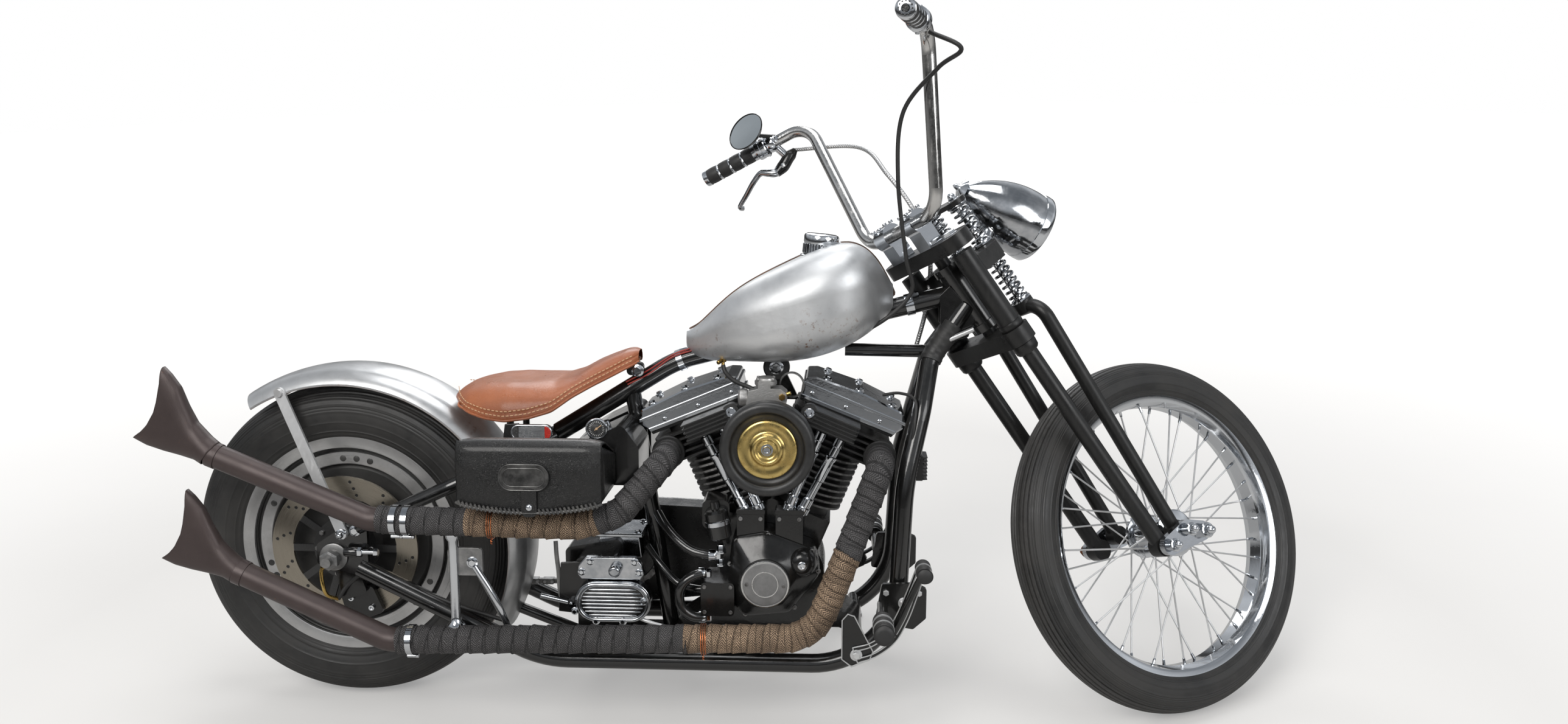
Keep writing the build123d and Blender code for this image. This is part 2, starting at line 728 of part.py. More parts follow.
# Columns: name, route, bends of the wrapped pipe and how far the fishtail is turned up
exhausts = (
    ("upper_exhaust", upper_route, [34, 60, 130], 140.0),
    ("lower_exhaust", lower_route, [36, 120, 84], 143.0),
)
for name, route, bends, tail_tilt in exhausts:
    with BuildPart() as exhaust:
        tail_corner = Vector(*route[-2])
        backwards = (Vector(*route[-3]) - tail_corner).normalized()
        base = Vector(*route[-1])
        pipe((*route[:-2], tail_corner + backwards * wrap_stop), bends, exhaust_pipe)
        onwards = (base - tail_corner).normalized()
        pipe((tail_corner + backwards * tail_start, tail_corner, base), [tail_bend], tail_pipe)
        rod(base - onwards * ring_behind, base + onwards * ring_ahead, tail_ring)
        tail_way = Vector(cos(radians(tail_tilt)), 0, sin(radians(tail_tilt)))
        walls = []
        for wall in (0.0, fishtail_wall):
            with BuildPart(mode=Mode.PRIVATE) as horn:
                for share, width, depth in ((0.0, tail_pipe, tail_pipe), (0.42, 82.0, 38.0),
                                            (1.02, fishtail_width, fishtail_mouth)):
                    at = base + tail_way * (fishtail_length * share)
                    with BuildSketch(Plane(at, x_dir=(0, 1, 0), z_dir=tail_way)):
                        RectangleRounded(depth - 2 * wall, width - 2 * wall, (depth - 2 * wall) / 2 - 0.5)
                loft(ruled=True)
            walls.append(horn.part)
        add(walls[0])
        add(walls[1], mode=Mode.SUBTRACT)
        mouth = base + tail_way * (fishtail_length + 66)
        side_disc((mouth.X, mouth.Z), 92, 0, 400, mode=Mode.SUBTRACT)
    keep(name, exhaust)

hanger_side = -186.0
with BuildPart() as exhaust_hanger:
    rod((258, -exhaust_side, 400), (258, -exhaust_side + 10, 300), 12)
    side_block(((240, 292), (300, 292), (318, 316), (300, 366), (262, 366), (240, 340)),
               hanger_side, 18, corner=5)
    rod((288, hanger_side, 336), (360, -rail_side, 148), 11)
    rod((330, -exhaust_side, 190), (330, -rail_side, 158), 14)
    add(pieces["upper_exhaust"].part, mode=Mode.SUBTRACT)
    add(pieces["lower_exhaust"].part, mode=Mode.SUBTRACT)
    add(pieces["downtube_right"].part, mode=Mode.SUBTRACT)
keep("exhaust_hanger", exhaust_hanger)

# Rear fender
with BuildPart() as rear_fender:
    with BuildSketch(wheel_plane(rear_axle)) as section:
        with BuildLine():
            Polyline((-fender_half_width, fender_edge_radius), (-fender_half_width, fender_radius - 30))
            RadiusArc((-fender_half_width, fender_radius - 30), (-48, fender_radius - 4), 44)
            ThreePointArc((-48, fender_radius - 4), (0, fender_radius), (48, fender_radius - 4))
            RadiusArc((48, fender_radius - 4), (fender_half_width, fender_radius - 30), 44)
            Polyline((fender_half_width, fender_radius - 30), (fender_half_width, fender_edge_radius),
                     (fender_half_width - fender_wall, fender_edge_radius),
                     (fender_half_width - fender_wall, fender_radius - 30 - fender_wall / 2))
            RadiusArc((fender_half_width - fender_wall, fender_radius - 30 - fender_wall / 2),
                      (47, fender_radius - 4 - fender_wall), -42)
            ThreePointArc((47, fender_radius - 4 - fender_wall), (0, fender_radius - fender_wall),
                          (-47, fender_radius - 4 - fender_wall))
            RadiusArc((-47, fender_radius - 4 - fender_wall),
                      (-fender_half_width + fender_wall, fender_radius - 30 - fender_wall / 2), -42)
            Polyline((-fender_half_width + fender_wall, fender_radius - 30 - fender_wall / 2),
                     (-fender_half_width + fender_wall, fender_edge_radius),
                     (-fender_half_width, fender_edge_radius))
        make_face()
    front_section = section.sketch.rotate(Axis(rear_axle, (0, -1, 0)), fender_start - 90)
    revolve(front_section, axis=Axis(rear_axle, (0, -1, 0)), revolution_arc=fender_end - fender_start)
keep("rear_fender", rear_fender)

strut_turn = radians(109.7)
strut_reach = fender_radius - 28.5
strut_head = (strut_reach * cos(strut_turn), rear_tyre_radius + strut_reach * sin(strut_turn))
strut_foot = (20.0, rear_tyre_radius + 48.0)
strut_wall = 6.0
strut_width = 21.0
strut_bolt = 6.0
with BuildPart() as fender_struts:
    head_side = fender_half_width + strut_wall / 2
    foot_side = stay_side + plate_wall / 2 + strut_wall / 2
    for way in (-1, 1):
        head = Vector(strut_head[0], way * head_side, strut_head[1])
        foot = Vector(strut_foot[0], way * foot_side, strut_foot[1])
        run = (foot - head).normalized()
        outwards = (Vector(0, 1, 0) - run * run.Y).normalized()
        with BuildSketch(Plane(head, x_dir=outwards, z_dir=run)) as strip:
            Rectangle(strut_wall, strut_width)
        extrude(strip.sketch, amount=(foot - head).length)
        for end, side in ((head, head_side), (foot, foot_side)):
            rod((end.X, way * (side - strut_wall / 2), end.Z), (end.X, way * (side + strut_wall / 2), end.Z),
                strut_width)
            rod((end.X, way * side, end.Z), (end.X, way * (side + strut_wall / 2 + strut_bolt), end.Z), 15)
    add(rear_fender.part, mode=Mode.SUBTRACT)
    add(axle_plates.part, mode=Mode.SUBTRACT)
keep("fender_struts", fender_struts)

with BuildPart() as fender_mount:
    rod((334, -98, 508), (334, 98, 508), 20)
    rod((334, 0, 508), (313, 0, 496), 16)
    rod((326, 0, 176), (452, 0, rail_height), 22)
    add(rear_stays.part, mode=Mode.SUBTRACT)
    add(cross_members.part, mode=Mode.SUBTRACT)
    add(rear_fender.part, mode=Mode.SUBTRACT)
keep("fender_mount", fender_mount)

# Fuel tank. Columns: distance ahead, height of the middle, width, height, corner
tank_sections = (
    (676.0, 738.0, 44.0, 34.0, 15.0),
    (722.0, 744.0, 132.0, 88.0, 36.0),
    (800.0, 776.0, 226.0, 150.0, 60.0),
    (905.0, 806.0, 282.0, 196.0, 78.0),
    (1000.0, 832.0, 250.0, 186.0, 76.0),
    (1048.0, 830.0, 152.0, 118.0, 48.0),
    (1076.0, 824.0, 56.0, 46.0, 20.0),
)
with BuildPart() as fuel_tank:
    for ahead, middle, width, height, corner in tank_sections:
        with BuildSketch(Plane(origin=(ahead, 0, middle), x_dir=(0, 1, 0), z_dir=(1, 0, 0))):
            RectangleRounded(width, height, corner)
    loft()
    tunnel = Vector(655, 0, 694)
    tunnel_way = (Vector(*backbone_points[0]) - tunnel).normalized()
    tunnel_half = main_tube / 2 + seat_gap
    with BuildSketch(Plane(tunnel - tunnel_way * 60, x_dir=(0, 1, 0), z_dir=tunnel_way)) as bore:
        with Locations((0, -100)):
            Rectangle(2 * tunnel_half, 200)
        Circle(tunnel_half)
    extrude(bore.sketch, amount=700, mode=Mode.SUBTRACT)
    pipe(backbone_points, [240], main_tube + 2 * seat_gap, mode=Mode.SUBTRACT)
keep("fuel_tank", fuel_tank)

with BuildPart() as fuel_cap:
    rod((934, 0, 884), (938, 0, 926), 66)
    rod((938, 0, 926), (940, 0, 940), 58)
    add(fuel_tank.part, mode=Mode.SUBTRACT)
keep("fuel_cap", fuel_cap)

# Seat. Columns: distance ahead, the middle's height over the fender at the seat's tail, width, height, corner
seat_sections = (
    (228.0, 23.0, 120.0, 24.0, 10.0),
    (262.0, 29.0, 214.0, 48.0, 20.0),
    (340.0, 29.0, 268.0, 74.0, 30.0),
    (430.0, 35.0, 258.0, 58.0, 26.0),
    (500.0, 69.0, 158.0, 46.0, 21.0),
    (560.0, 99.0, 96.0, 34.0, 16.0),
    (580.0, 104.0, 56.0, 20.0, 9.0),
)
seat_tail = seat_sections[0][0]
seat_floor = rear_tyre_radius + sqrt(fender_radius * fender_radius - seat_tail * seat_tail)
with BuildPart() as seat:
    for ahead, middle, width, height, corner in seat_sections:
        with BuildSketch(Plane(origin=(ahead, 0, seat_floor + middle), x_dir=(0, 1, 0), z_dir=(1, 0, 0))):
            RectangleRounded(width, height, corner)
    loft()
keep("seat", seat)

with BuildPart() as seat_mount:
    rod((573, 0, 646), (573, 0, seat_floor + 100), 16)
    for way in (-1, 1):
        rod((334, way * 60, 508), (334, way * 60, seat_floor + 20), 14)
    add(seat.part, mode=Mode.SUBTRACT)
    add(backbone.part, mode=Mode.SUBTRACT)
    add(fender_mount.part, mode=Mode.SUBTRACT)
keep("seat_mount", seat_mount)

bag_corner = 26.0
bag_outer_side = 278.0
oil_half = 138.0
with BuildPart() as tool_bag:
    with BuildSketch(side_plane(-oil_half - seat_gap)) as flap:
        with BuildLine():
            Polyline((292, 470), (320, 456), (524, 456), (552, 472), (554, 586), (530, 594), (312, 594),
                     (288, 584), close=True)
        make_face()
        fillet(flap.vertices(), 12)
    extrude(amount=bag_outer_side - oil_half - seat_gap)
    fillet(tool_bag.faces().sort_by(Axis.Y)[0].edges(), bag_corner)
keep("tool_bag", tool_bag)

with BuildPart() as oil_tank:
    side_block(((452, 474), (598, 474), (598, 546), (566, 592), (500, 560), (452, 530)),
               oil_half, 2 * oil_half, corner=14)
    with BuildSketch(side_plane(post_tube / 2 + seat_gap)):
        with Locations((600, 540)):
            Rectangle(120, 300)
    extrude(amount=post_tube + 2 * seat_gap, mode=Mode.SUBTRACT)
    pipe(backbone_points, [240], main_tube + 6, mode=Mode.SUBTRACT)
    with BuildSketch(side_plane(24)):
        with Locations((470, 640)):
            Rectangle(200, 200)
    extrude(amount=48, mode=Mode.SUBTRACT)
keep("oil_tank", oil_tank)

with BuildPart() as oil_cap:
    rod((526, -108, 566), (519, -108, 588), 38)
    add(oil_tank.part, mode=Mode.SUBTRACT)
keep("oil_cap", oil_cap)

# Springer fork
stem_top = 752.0
lower_tree_low = 508.0
lower_tree_high = 540.0
upper_tree_low = 722.0
upper_tree_high = 750.0
with BuildPart() as rear_legs:
    for way in (-1, 1):
        side = way * leg_side
        rod(on_fork(leg_foot + 14, leg_ahead, side), on_fork(leg_top, leg_ahead, side), leg_diameter)
        rod(on_fork(lower_tree_high, leg_ahead, side), on_fork(leg_top, leg_ahead, side), leg_sleeve)
        side_disc((on_fork(leg_foot, leg_ahead, 0).X, on_fork(leg_foot, leg_ahead, 0).Z), 21, side + 13, 26)
keep("rear_legs", rear_legs, turns=True)

with BuildPart() as fork_trees:
    rod(on_fork(lower_tree_low, 0, 0), on_fork(stem_top, 0, 0), 2 * stem_radius)
    for low, high, reach in ((lower_tree_low, lower_tree_high, 29), (upper_tree_low, upper_tree_high, 34)):
        with BuildSketch(Plane(on_fork(low, 0, 0), x_dir=(0, 1, 0), z_dir=steer_up)) as tree:
            with Locations((0, -leg_ahead)):
                SlotCenterToCenter(2 * leg_side, 2 * reach)
        extrude(tree.sketch, amount=high - low)
    add(rear_legs.part, mode=Mode.SUBTRACT)
keep("fork_trees", fork_trees, turns=True)

front_leg_side = 86.0
front_leg_foot = (24.0, 36.0)
front_leg_head = (548.0, 71.0)
spring_side = 44.0
with BuildPart() as front_legs:
    for way in (-1, 1):
        foot = on_fork(front_leg_foot[0] + 14, front_leg_foot[1], way * front_leg_side)
        shoulder = on_fork(front_leg_head[0] - 6, front_leg_head[1], way * front_leg_side)
        inner = on_fork(front_leg_head[0] - 6, front_leg_head[1], 0)
        pipe((foot, shoulder, inner), [34], front_leg_diameter)
        eye = on_fork(front_leg_foot[0], front_leg_foot[1], 0)
        side_disc((eye.X, eye.Z), 19, way * front_leg_side + 12, 24)
        rod(on_fork(front_leg_head[0] - 12, front_leg_head[1], way * spring_side),
            on_fork(front_leg_head[0] + 10, front_leg_head[1], way * spring_side), 42)
keep("front_legs", front_legs, turns=True)

# Columns: foot and top of each spring along the steering axis
spring_spans = ((558.0, 656.0), (690.0, 784.0))
spring_radius = 19.0
spring_coils = 7
with BuildPart() as springs:
    coils = []
    for low, high in spring_spans:
        for way in (-1, 1):
            coil_pitch = (high - low) / spring_coils
            with BuildSketch(Plane(on_fork(low, front_leg_head[1], way * spring_side), x_dir=(0, 1, 0),
                                   z_dir=steer_ahead)) as profile:
                with BuildLine():
                    outline = [(0, 0), (13, 0)]
                    for coil in range(spring_coils):
                        outline.append((spring_radius, (coil + 0.5) * coil_pitch))
                        outline.append((13, (coil + 1) * coil_pitch))
                    outline.append((0, high - low))
                    Polyline(*outline, close=True)
                make_face()
            centre = on_fork(low, front_leg_head[1], way * spring_side)
            coils.append(revolve(profile.sketch, axis=Axis(centre, steer_up), mode=Mode.PRIVATE))
    add(coils)
keep("springs", springs, turns=True)

with BuildPart() as spring_perch:
    with BuildSketch(Plane(on_fork(656, 0, 0), x_dir=(0, 1, 0), z_dir=steer_up)) as block:
        with Locations((0, -front_leg_head[1] + 6)):
            RectangleRounded(134, 52, 12)
        with Locations((leg_side - 14, -24), (-leg_side + 14, -24)):
            Rectangle(40, 70)
    extrude(block.sketch, amount=34)
    with BuildSketch(Plane(on_fork(784, 0, 0), x_dir=(0, 1, 0), z_dir=steer_up)) as bridge:
        with Locations((0, -front_leg_head[1])):
            SlotCenterToCenter(2 * spring_side, 44)
    extrude(bridge.sketch, amount=9)
    add(rear_legs.part, mode=Mode.SUBTRACT)
    add(fork_trees.part, mode=Mode.SUBTRACT)
keep("spring_perch", spring_perch, turns=True)

pivot_ahead = leg_ahead
with BuildPart() as rockers:
    stations = ((leg_foot, pivot_ahead), front_leg_foot, (0.0, fork_offset))
    for way in (-1, 1):
        outer = way * (rocker_side + rocker_wall / 2) + rocker_wall / 2
        with BuildSketch(side_plane(outer)) as arm:
            for up, ahead in stations:
                place = on_fork(up, ahead, 0)
                with Locations((place.X, place.Z)):
                    Circle(19)
            make_hull()
        extrude(arm.sketch, amount=rocker_wall)
        for up, ahead in stations[:2]:
            inner = leg_side + 13 if up == leg_foot else front_leg_side + 12
            outer = rocker_side + rocker_wall + 12
            place = on_fork(up, ahead, 0)
            rod((place.X, way * inner, place.Z), (place.X, way * outer, place.Z), 20)
    rod(front_axle - Vector(0, 143, 0), front_axle + Vector(0, 143, 0), 2 * axle_radius)
    for way in (-1, 1):
        with BuildSketch(side_plane(way * (rocker_side + rocker_wall))) as nut:
            with Locations((front_axle.X, front_axle.Z)):
                RegularPolygon(15, 6)
        extrude(nut.sketch, amount=-way * 14)
        rod(front_axle + Vector(0, way * (front_hub_half + 1), 0),
            front_axle + Vector(0, way * rocker_side, 0), 30)
keep("rockers", rockers, turns=True)

# Handlebar: columns are up, ahead and side of each corner on the left
bar_clamp = (803.0, -36.0)
bar_corners = ((1112.6, -87.0, 422.0), (1081.0, 86.0, 239.0), (803.0, -36.0, 126.0))
bar_bends = [52, 62, 62, 52]
bar_route = [on_fork(up, ahead, side) for up, ahead, side in bar_corners]
bar_route += [on_fork(up, ahead, -side) for up, ahead, side in reversed(bar_corners)]
with BuildPart() as handlebar:
    pipe(bar_route, bar_bends, bar_diameter)
keep("handlebar", handlebar, turns=True)

with BuildPart() as bar_clamps:
    for way in (-1, 1):
        with BuildSketch(Plane(on_fork(*bar_clamp, way * 50), x_dir=steer_ahead, z_dir=(0, -1, 0))) as clamp:
            Circle(24)
            with Locations((0, -27)):
                Rectangle(34, 52)
        extrude(clamp.sketch, amount=19, both=True)
    add(handlebar.part, mode=Mode.SUBTRACT)
    add(fork_trees.part, mode=Mode.SUBTRACT)
keep("bar_clamps", bar_clamps, turns=True)

with BuildPart() as grips:
    for way in (-1, 1):
        grip_end = on_fork(*bar_corners[0][:2], way * bar_corners[0][2])
        bar_elbow = on_fork(*bar_corners[1][:2], way * bar_corners[1][2])
        inward = (bar_elbow - grip_end).normalized()
        rod(grip_end - inward * 3, grip_end + inward * grip_length, grip_diameter)
        rod(grip_end + inward * grip_length, grip_end + inward * (grip_length + 26), grip_diameter + 8)
    add(handlebar.part, mode=Mode.SUBTRACT)
keep("grips", grips, turns=True)

with BuildPart() as clutch_lever:
    lever_root = on_fork(1056, 52, 300)
    lever_bend = on_fork(1042, 4, 350)
    lever_tip = on_fork(1024, -74, 414)
    left_end = on_fork(*bar_corners[0])
    left_way = (on_fork(*bar_corners[1]) - left_end).normalized()
    perch = left_end + left_way * (grip_length + 36)
    pipe((lever_root, lever_bend, lever_tip), [60], 13)
    rod(lever_root - Vector(0, 0, 12), lever_root + Vector(0, 0, 14), 26)
    rod(lever_tip - Vector(9, 0, 0), lever_tip + Vector(9, 0, 0), 18)
    rod(perch - left_way * 8, perch + left_way * 8, 36)
    rod(perch, lever_root, 15)
    add(grips.part, mode=Mode.SUBTRACT)
    add(handlebar.part, mode=Mode.SUBTRACT)
keep("clutch_lever", clutch_lever, turns=True)

mirror_centre = on_fork(1148, -20, 300)
with BuildPart() as mirror:
    with BuildSketch(Plane(mirror_centre, x_dir=(1, -1, 0), z_dir=(-1, -1, 0.2))) as glass:
        Ellipse(32, 31)
    extrude(glass.sketch, amount=-16)
    rod(on_fork(1089, 44, 283), mirror_centre + Vector(8, -4, -20), 9)
    add(handlebar.part, mode=Mode.SUBTRACT)
    add(clutch_lever.part, mode=Mode.SUBTRACT)
keep("mirror", mirror, turns=True)

lamp_tail = Vector(1224, 0, 1044)
lamp_front = Vector(1392, 0, 972)
lamp_radius = 68.0
with BuildPart() as headlamp:
    lamp_way = (lamp_front - lamp_tail).normalized()
    lamp_length = (lamp_front - lamp_tail).length
    with BuildSketch(Plane(lamp_tail, x_dir=lamp_way, z_dir=(0, -1, 0))) as bullet:
        with BuildLine():
            nose = ThreePointArc((0, 0), (0.45 * lamp_length, 0.82 * lamp_radius),
                                 (lamp_length - 22, lamp_radius))
            Polyline(nose @ 1, (lamp_length, lamp_radius), (lamp_length, lamp_radius - 5),
                     (lamp_length + 6, 0), (0, 0))
        make_face()
    revolve(bullet.sketch, axis=Axis(lamp_tail, lamp_way))
    rod(on_fork(673, front_leg_head[1] + 12, 0), on_fork(712, 162, 0), 26)
    add(spring_perch.part, mode=Mode.SUBTRACT)
keep("headlamp", headlamp, turns=True)

# Side stand, swung out
foot_ahead, foot_side = stand_foot_place
pad_centre = Vector(foot_ahead, foot_side, ground_height(foot_ahead, foot_side))
pivot_place = Vector(*stand_pivot)
folded_way = Vector(-0.985, 0.15, -0.08)
deployed_way = (pad_centre - pivot_place).normalized()
stand_axis = deployed_way.cross(folded_way).normalized()
stand_swing = deployed_way.get_signed_angle(folded_way, stand_axis)
with BuildPart() as side_stand:
    leg_end = pad_centre + ground_up * (stand_leg / 2 + 1)
    with BuildSketch(Plane(pad_centre, z_dir=ground_up)) as pad:
        Circle(stand_pad_radius)
    extrude(pad.sketch, amount=stand_pad_wall)
    rod(pivot_place + deployed_way * 12, leg_end, stand_leg)
    rod(pivot_place - stand_axis * stand_hub_half, pivot_place + stand_axis * stand_hub_half,
        stand_hub_diameter)
    rod(pivot_place - stand_axis * 20, pivot_place + stand_axis * 20, 2 * (axle_radius + axle_play),
        mode=Mode.SUBTRACT)
keep("side_stand", side_stand)

with BuildPart() as stand_bracket:
    lug_low = stand_hub_half + stand_gap
    rod(pivot_place - stand_axis * 20, pivot_place + stand_axis * (lug_low + 22), 2 * axle_radius)
    rod(pivot_place + stand_axis * lug_low, pivot_place + stand_axis * (lug_low + 22), stand_hub_diameter)
    rod(pivot_place + stand_axis * (lug_low + 11.5), (pivot_place.X, rail_side, rail_height + 6), 20)
    for hand in ("right", "left"):
        add(pieces[f"downtube_{hand}"].part, mode=Mode.SUBTRACT)
keep("stand_bracket", stand_bracket)

# Forward foot controls, one on each side
bracket_side = rail_side + 18.0
with BuildPart() as foot_controls:
    for way in (-1, 1):
        plate_out = bracket_side + 9
        side_block(((1046, 222), (1118, 210), (1142, 232), (1142, 290), (1120, 300), (1058, 298)),
                   max(way * bracket_side, way * plate_out), 9, corner=6)
        rod((1084, way * (bracket_side - 8), 262), (1084, way * plate_out, 262), 26)
        rod((1060, way * bracket_side, 256), (1057, way * 262, 262), 20)
        rod((1057, way * 258, 262), (1057, way * 350, 268), 34)
        rod((1100, way * bracket_side, 240), (1075, way * 268, 236), 16)
        rod((1075, way * 264, 236), (1124, way * 292, 362), 12)
        rod((1126, way * 268, 368), (1128, way * 330, 370), 26)
    for hand in ("right", "left"):
        add(pieces[f"downtube_{hand}"].part, mode=Mode.SUBTRACT)
keep("foot_controls", foot_controls)

# Rear brake caliper, hung from the axle inside the right axle plate
caliper_gap = 1.2
rotor_outer = -rotor_side - rotor_thickness
with BuildPart() as rear_caliper:
    side_block(at_rear_axle(caliper_body), -rotor_side + 14, 2 * 14 + rotor_thickness, corner=8)
    ring_profile(rear_axle, 80, rotor_radius + 2, rotor_outer - caliper_gap, -rotor_side + caliper_gap,
                 mode=Mode.SUBTRACT)
    side_block(at_rear_axle(caliper_hanger), rotor_outer - 14, 10, corner=8)
    rod((0, rotor_outer - 14, rear_tyre_radius), (0, -stay_side + plate_wall / 2, rear_tyre_radius), 44)
    rod((0, -60, rear_tyre_radius), (0, -stay_side, rear_tyre_radius), 2 * axle_radius + 0.2,
        mode=Mode.SUBTRACT)
    add(pieces["downtube_right"].part, mode=Mode.SUBTRACT)
keep("rear_caliper", rear_caliper)

machine_lean = Location((0, 0, 0), (-lean_angle, 0, 0))
machine_pitch = Location((0, 0, lift), (0, degrees(pitch), 0))
parked = machine_pitch * machine_lean
shapes = {}
for name, builder in pieces.items():
    shape = builder.part
    if name in turning:
        shape = shape.rotate(steering_axis, steering_lock)
    shapes[name] = parked * shape
corners = [shape.bounding_box() for shape in shapes.values()]
low_corner = [min(getattr(box.min, side) for box in corners) for side in "XYZ"]
high_corner = [max(getattr(box.max, side) for box in corners) for side in "XYZ"]
print("box", low_corner, high_corner)
to_origin = Location((-(low_corner[0] + high_corner[0]) / 2, -(low_corner[1] + high_corner[1]) / 2, 0))
rest = to_origin * parked
for name, shape in shapes.items():
    piece = to_origin * shape
    piece.label = name
    export_step(piece, f"parts/{name}.step")


def rest_place(place):
    """Where a place of the upright machine lies on the parked machine."""
    return (rest * Location(place)).position


def rest_way(way):
    """Which way a direction of the upright machine points on the parked machine."""
    return rest_place(way) - rest_place((0, 0, 0))


print("rear axle", rest_place(rear_axle), rest_way((0, 1, 0)))
print("front axle", rest_place(turned_axle), rest_way(turned_spindle))
print("steering", rest_place(steer_foot), rest_way(steer_up))
print("stand", rest_place(pivot_place), rest_way(stand_axis), stand_swing)
print("axle end", rest_place((0, axle_free_end / 2 - axle_half, rear_tyre_radius)), rest_way((0, -1, 0)))
print("stand foot", rest_place(pad_centre), rest_way(ground_up * -1))

print("rest:", lean_angle, degrees(pitch), lift)
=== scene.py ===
"""Looks of the chopper motorcycle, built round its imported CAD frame.

Places are worked out in millimetres on the upright machine, with the front towards +X, the rider's
left towards +Y and the ground at Z = 0 below the rear axle, and are then turned with the fork,
leaned and pitched to where the parked machine stands.
"""

import json
from math import atan2, cos, pi, radians, sin

import bmesh
import bpy
import numpy as np
from mathutils import Matrix, Vector
from mathutils.bvhtree import BVHTree


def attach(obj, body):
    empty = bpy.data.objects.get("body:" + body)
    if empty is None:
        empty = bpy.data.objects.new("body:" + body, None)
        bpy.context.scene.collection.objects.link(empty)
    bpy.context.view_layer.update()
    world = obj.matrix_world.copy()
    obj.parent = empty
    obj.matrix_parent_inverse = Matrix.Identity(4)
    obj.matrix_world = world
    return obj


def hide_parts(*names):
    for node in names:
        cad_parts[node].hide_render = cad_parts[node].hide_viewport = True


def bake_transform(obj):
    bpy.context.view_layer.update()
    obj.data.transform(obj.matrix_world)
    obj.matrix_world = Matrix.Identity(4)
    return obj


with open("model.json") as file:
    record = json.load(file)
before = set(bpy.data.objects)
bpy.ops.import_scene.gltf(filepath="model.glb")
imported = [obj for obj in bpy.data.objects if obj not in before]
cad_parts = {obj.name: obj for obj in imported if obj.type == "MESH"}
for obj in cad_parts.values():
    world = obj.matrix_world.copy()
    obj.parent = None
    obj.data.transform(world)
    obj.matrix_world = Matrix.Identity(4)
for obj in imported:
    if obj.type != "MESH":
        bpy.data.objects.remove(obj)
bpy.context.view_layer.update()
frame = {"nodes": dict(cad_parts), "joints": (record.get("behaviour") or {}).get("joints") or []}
nodes = frame["nodes"]
joints = {joint["name"]: joint for joint in frame["joints"]}

# Stance, as in the part's source
lean = radians(7.56)
pitch = radians(0.5344)
lock = radians(34.2)
rake = radians(35.2)
rear_radius = 322.0
front_radius = 349.0
wheelbase = 1630.0
crank = (845.0, 272.0)
vee_half = radians(22.5)


def about_x(angle):
    """Turn about X, right-handed."""
    return np.array([[1, 0, 0], [0, cos(angle), -sin(angle)], [0, sin(angle), cos(angle)]])


def about_y(angle):
    """Turn about Y, right-handed."""
    return np.array([[cos(angle), 0, sin(angle)], [0, 1, 0], [-sin(angle), 0, cos(angle)]])


def about_z(angle):
    """Turn about Z, right-handed."""
    return np.array([[cos(angle), -sin(angle), 0], [sin(angle), cos(angle), 0], [0, 0, 1]])


steer_up = np.array([-sin(rake), 0.0, cos(rake)])
steer_ahead = np.array([cos(rake), 0.0, sin(rake)])
front_axle = np.array([wheelbase, 0.0, front_radius])
rear_axle = np.array([0.0, 0.0, rear_radius])
steer_foot = front_axle - steer_ahead * 63.5
cross_up = np.array(
    [[0, -steer_up[2], steer_up[1]], [steer_up[2], 0, -steer_up[0]], [-steer_up[1], steer_up[0], 0]])
steer_turn = np.eye(3) + sin(lock) * cross_up + (1 - cos(lock)) * cross_up @ cross_up
tip = about_y(pitch) @ about_x(-lean)
axle_rest = np.array(joints["rear_wheel_spin"]["pos_m"])
to_right = (0, -1, 0)
fork_bodies = ("fork", "front_wheel_body")


def parked(points):
    """Rest place in metres: rear axle's rest place + tip x (upright place - rear axle)."""
    return axle_rest + (np.asarray(points, float) - rear_axle) @ tip.T / 1000


def steered(points):
    """Upright place after the fork turns to its stop: foot + turn x (place - foot)."""
    return steer_foot + (np.asarray(points, float) - steer_foot) @ steer_turn.T


def on_fork(up, ahead, side):
    """Upright place on the unturned fork, up along the steering axis, ahead of it and to the left."""
    return steer_foot + steer_up * up + steer_ahead * ahead + np.array([0.0, side, 0.0])


def on_cylinder(way, along, across, side=0.0):
    """Place beside a cylinder: along its axis from the crank, outwards from the vee, and to the left."""
    return np.array(
        [crank[0] + way * (along * sin(vee_half) + across * cos(vee_half)), side,
            crank[1] + along * cos(vee_half) - across * sin(vee_half)])


# Surfaces: each returns its points, its faces and the faces' UVs
def grid(points, wrap_u=False, wrap_v=False, size=(1.0, 1.0)):
    """Faces between neighbouring rows and columns of points; UV runs evenly along both, up to size."""
    rows, columns = points.shape[:2]
    index = np.arange(rows * columns).reshape(rows, columns)
    if wrap_u:
        index = np.vstack([index, index[:1]])
    if wrap_v:
        index = np.hstack([index, index[:, :1]])
    across, down = np.meshgrid(
        np.linspace(0, size[0], index.shape[0]), np.linspace(0, size[1], index.shape[1]), indexing="ij")
    spread = np.stack([across, down], axis=-1)
    quads = [
        (slice(None, -1), slice(None, -1)), (slice(1, None), slice(None, -1)),
        (slice(1, None), slice(1, None)), (slice(None, -1), slice(1, None))]
    faces = np.stack([index[q].ravel() for q in quads], axis=1)
    uvs = np.stack([spread[q].reshape(-1, 2) for q in quads], axis=1)
    return points.reshape(-1, 3), faces, uvs


def unit(way):
    """A way made 1 long."""
    return way / np.linalg.norm(way)


def square_to(way):
    """A way made 1 long, and two unit directions square to it and to each other."""
    way = np.asarray(way, float) / np.linalg.norm(way)
    helper = np.array([0.0, 1.0, 0.0]) if abs(way[1]) < 0.9 else np.array([1.0, 0.0, 0.0])
    first = unit(np.cross(helper, way))
    return way, first, np.cross(way, first)


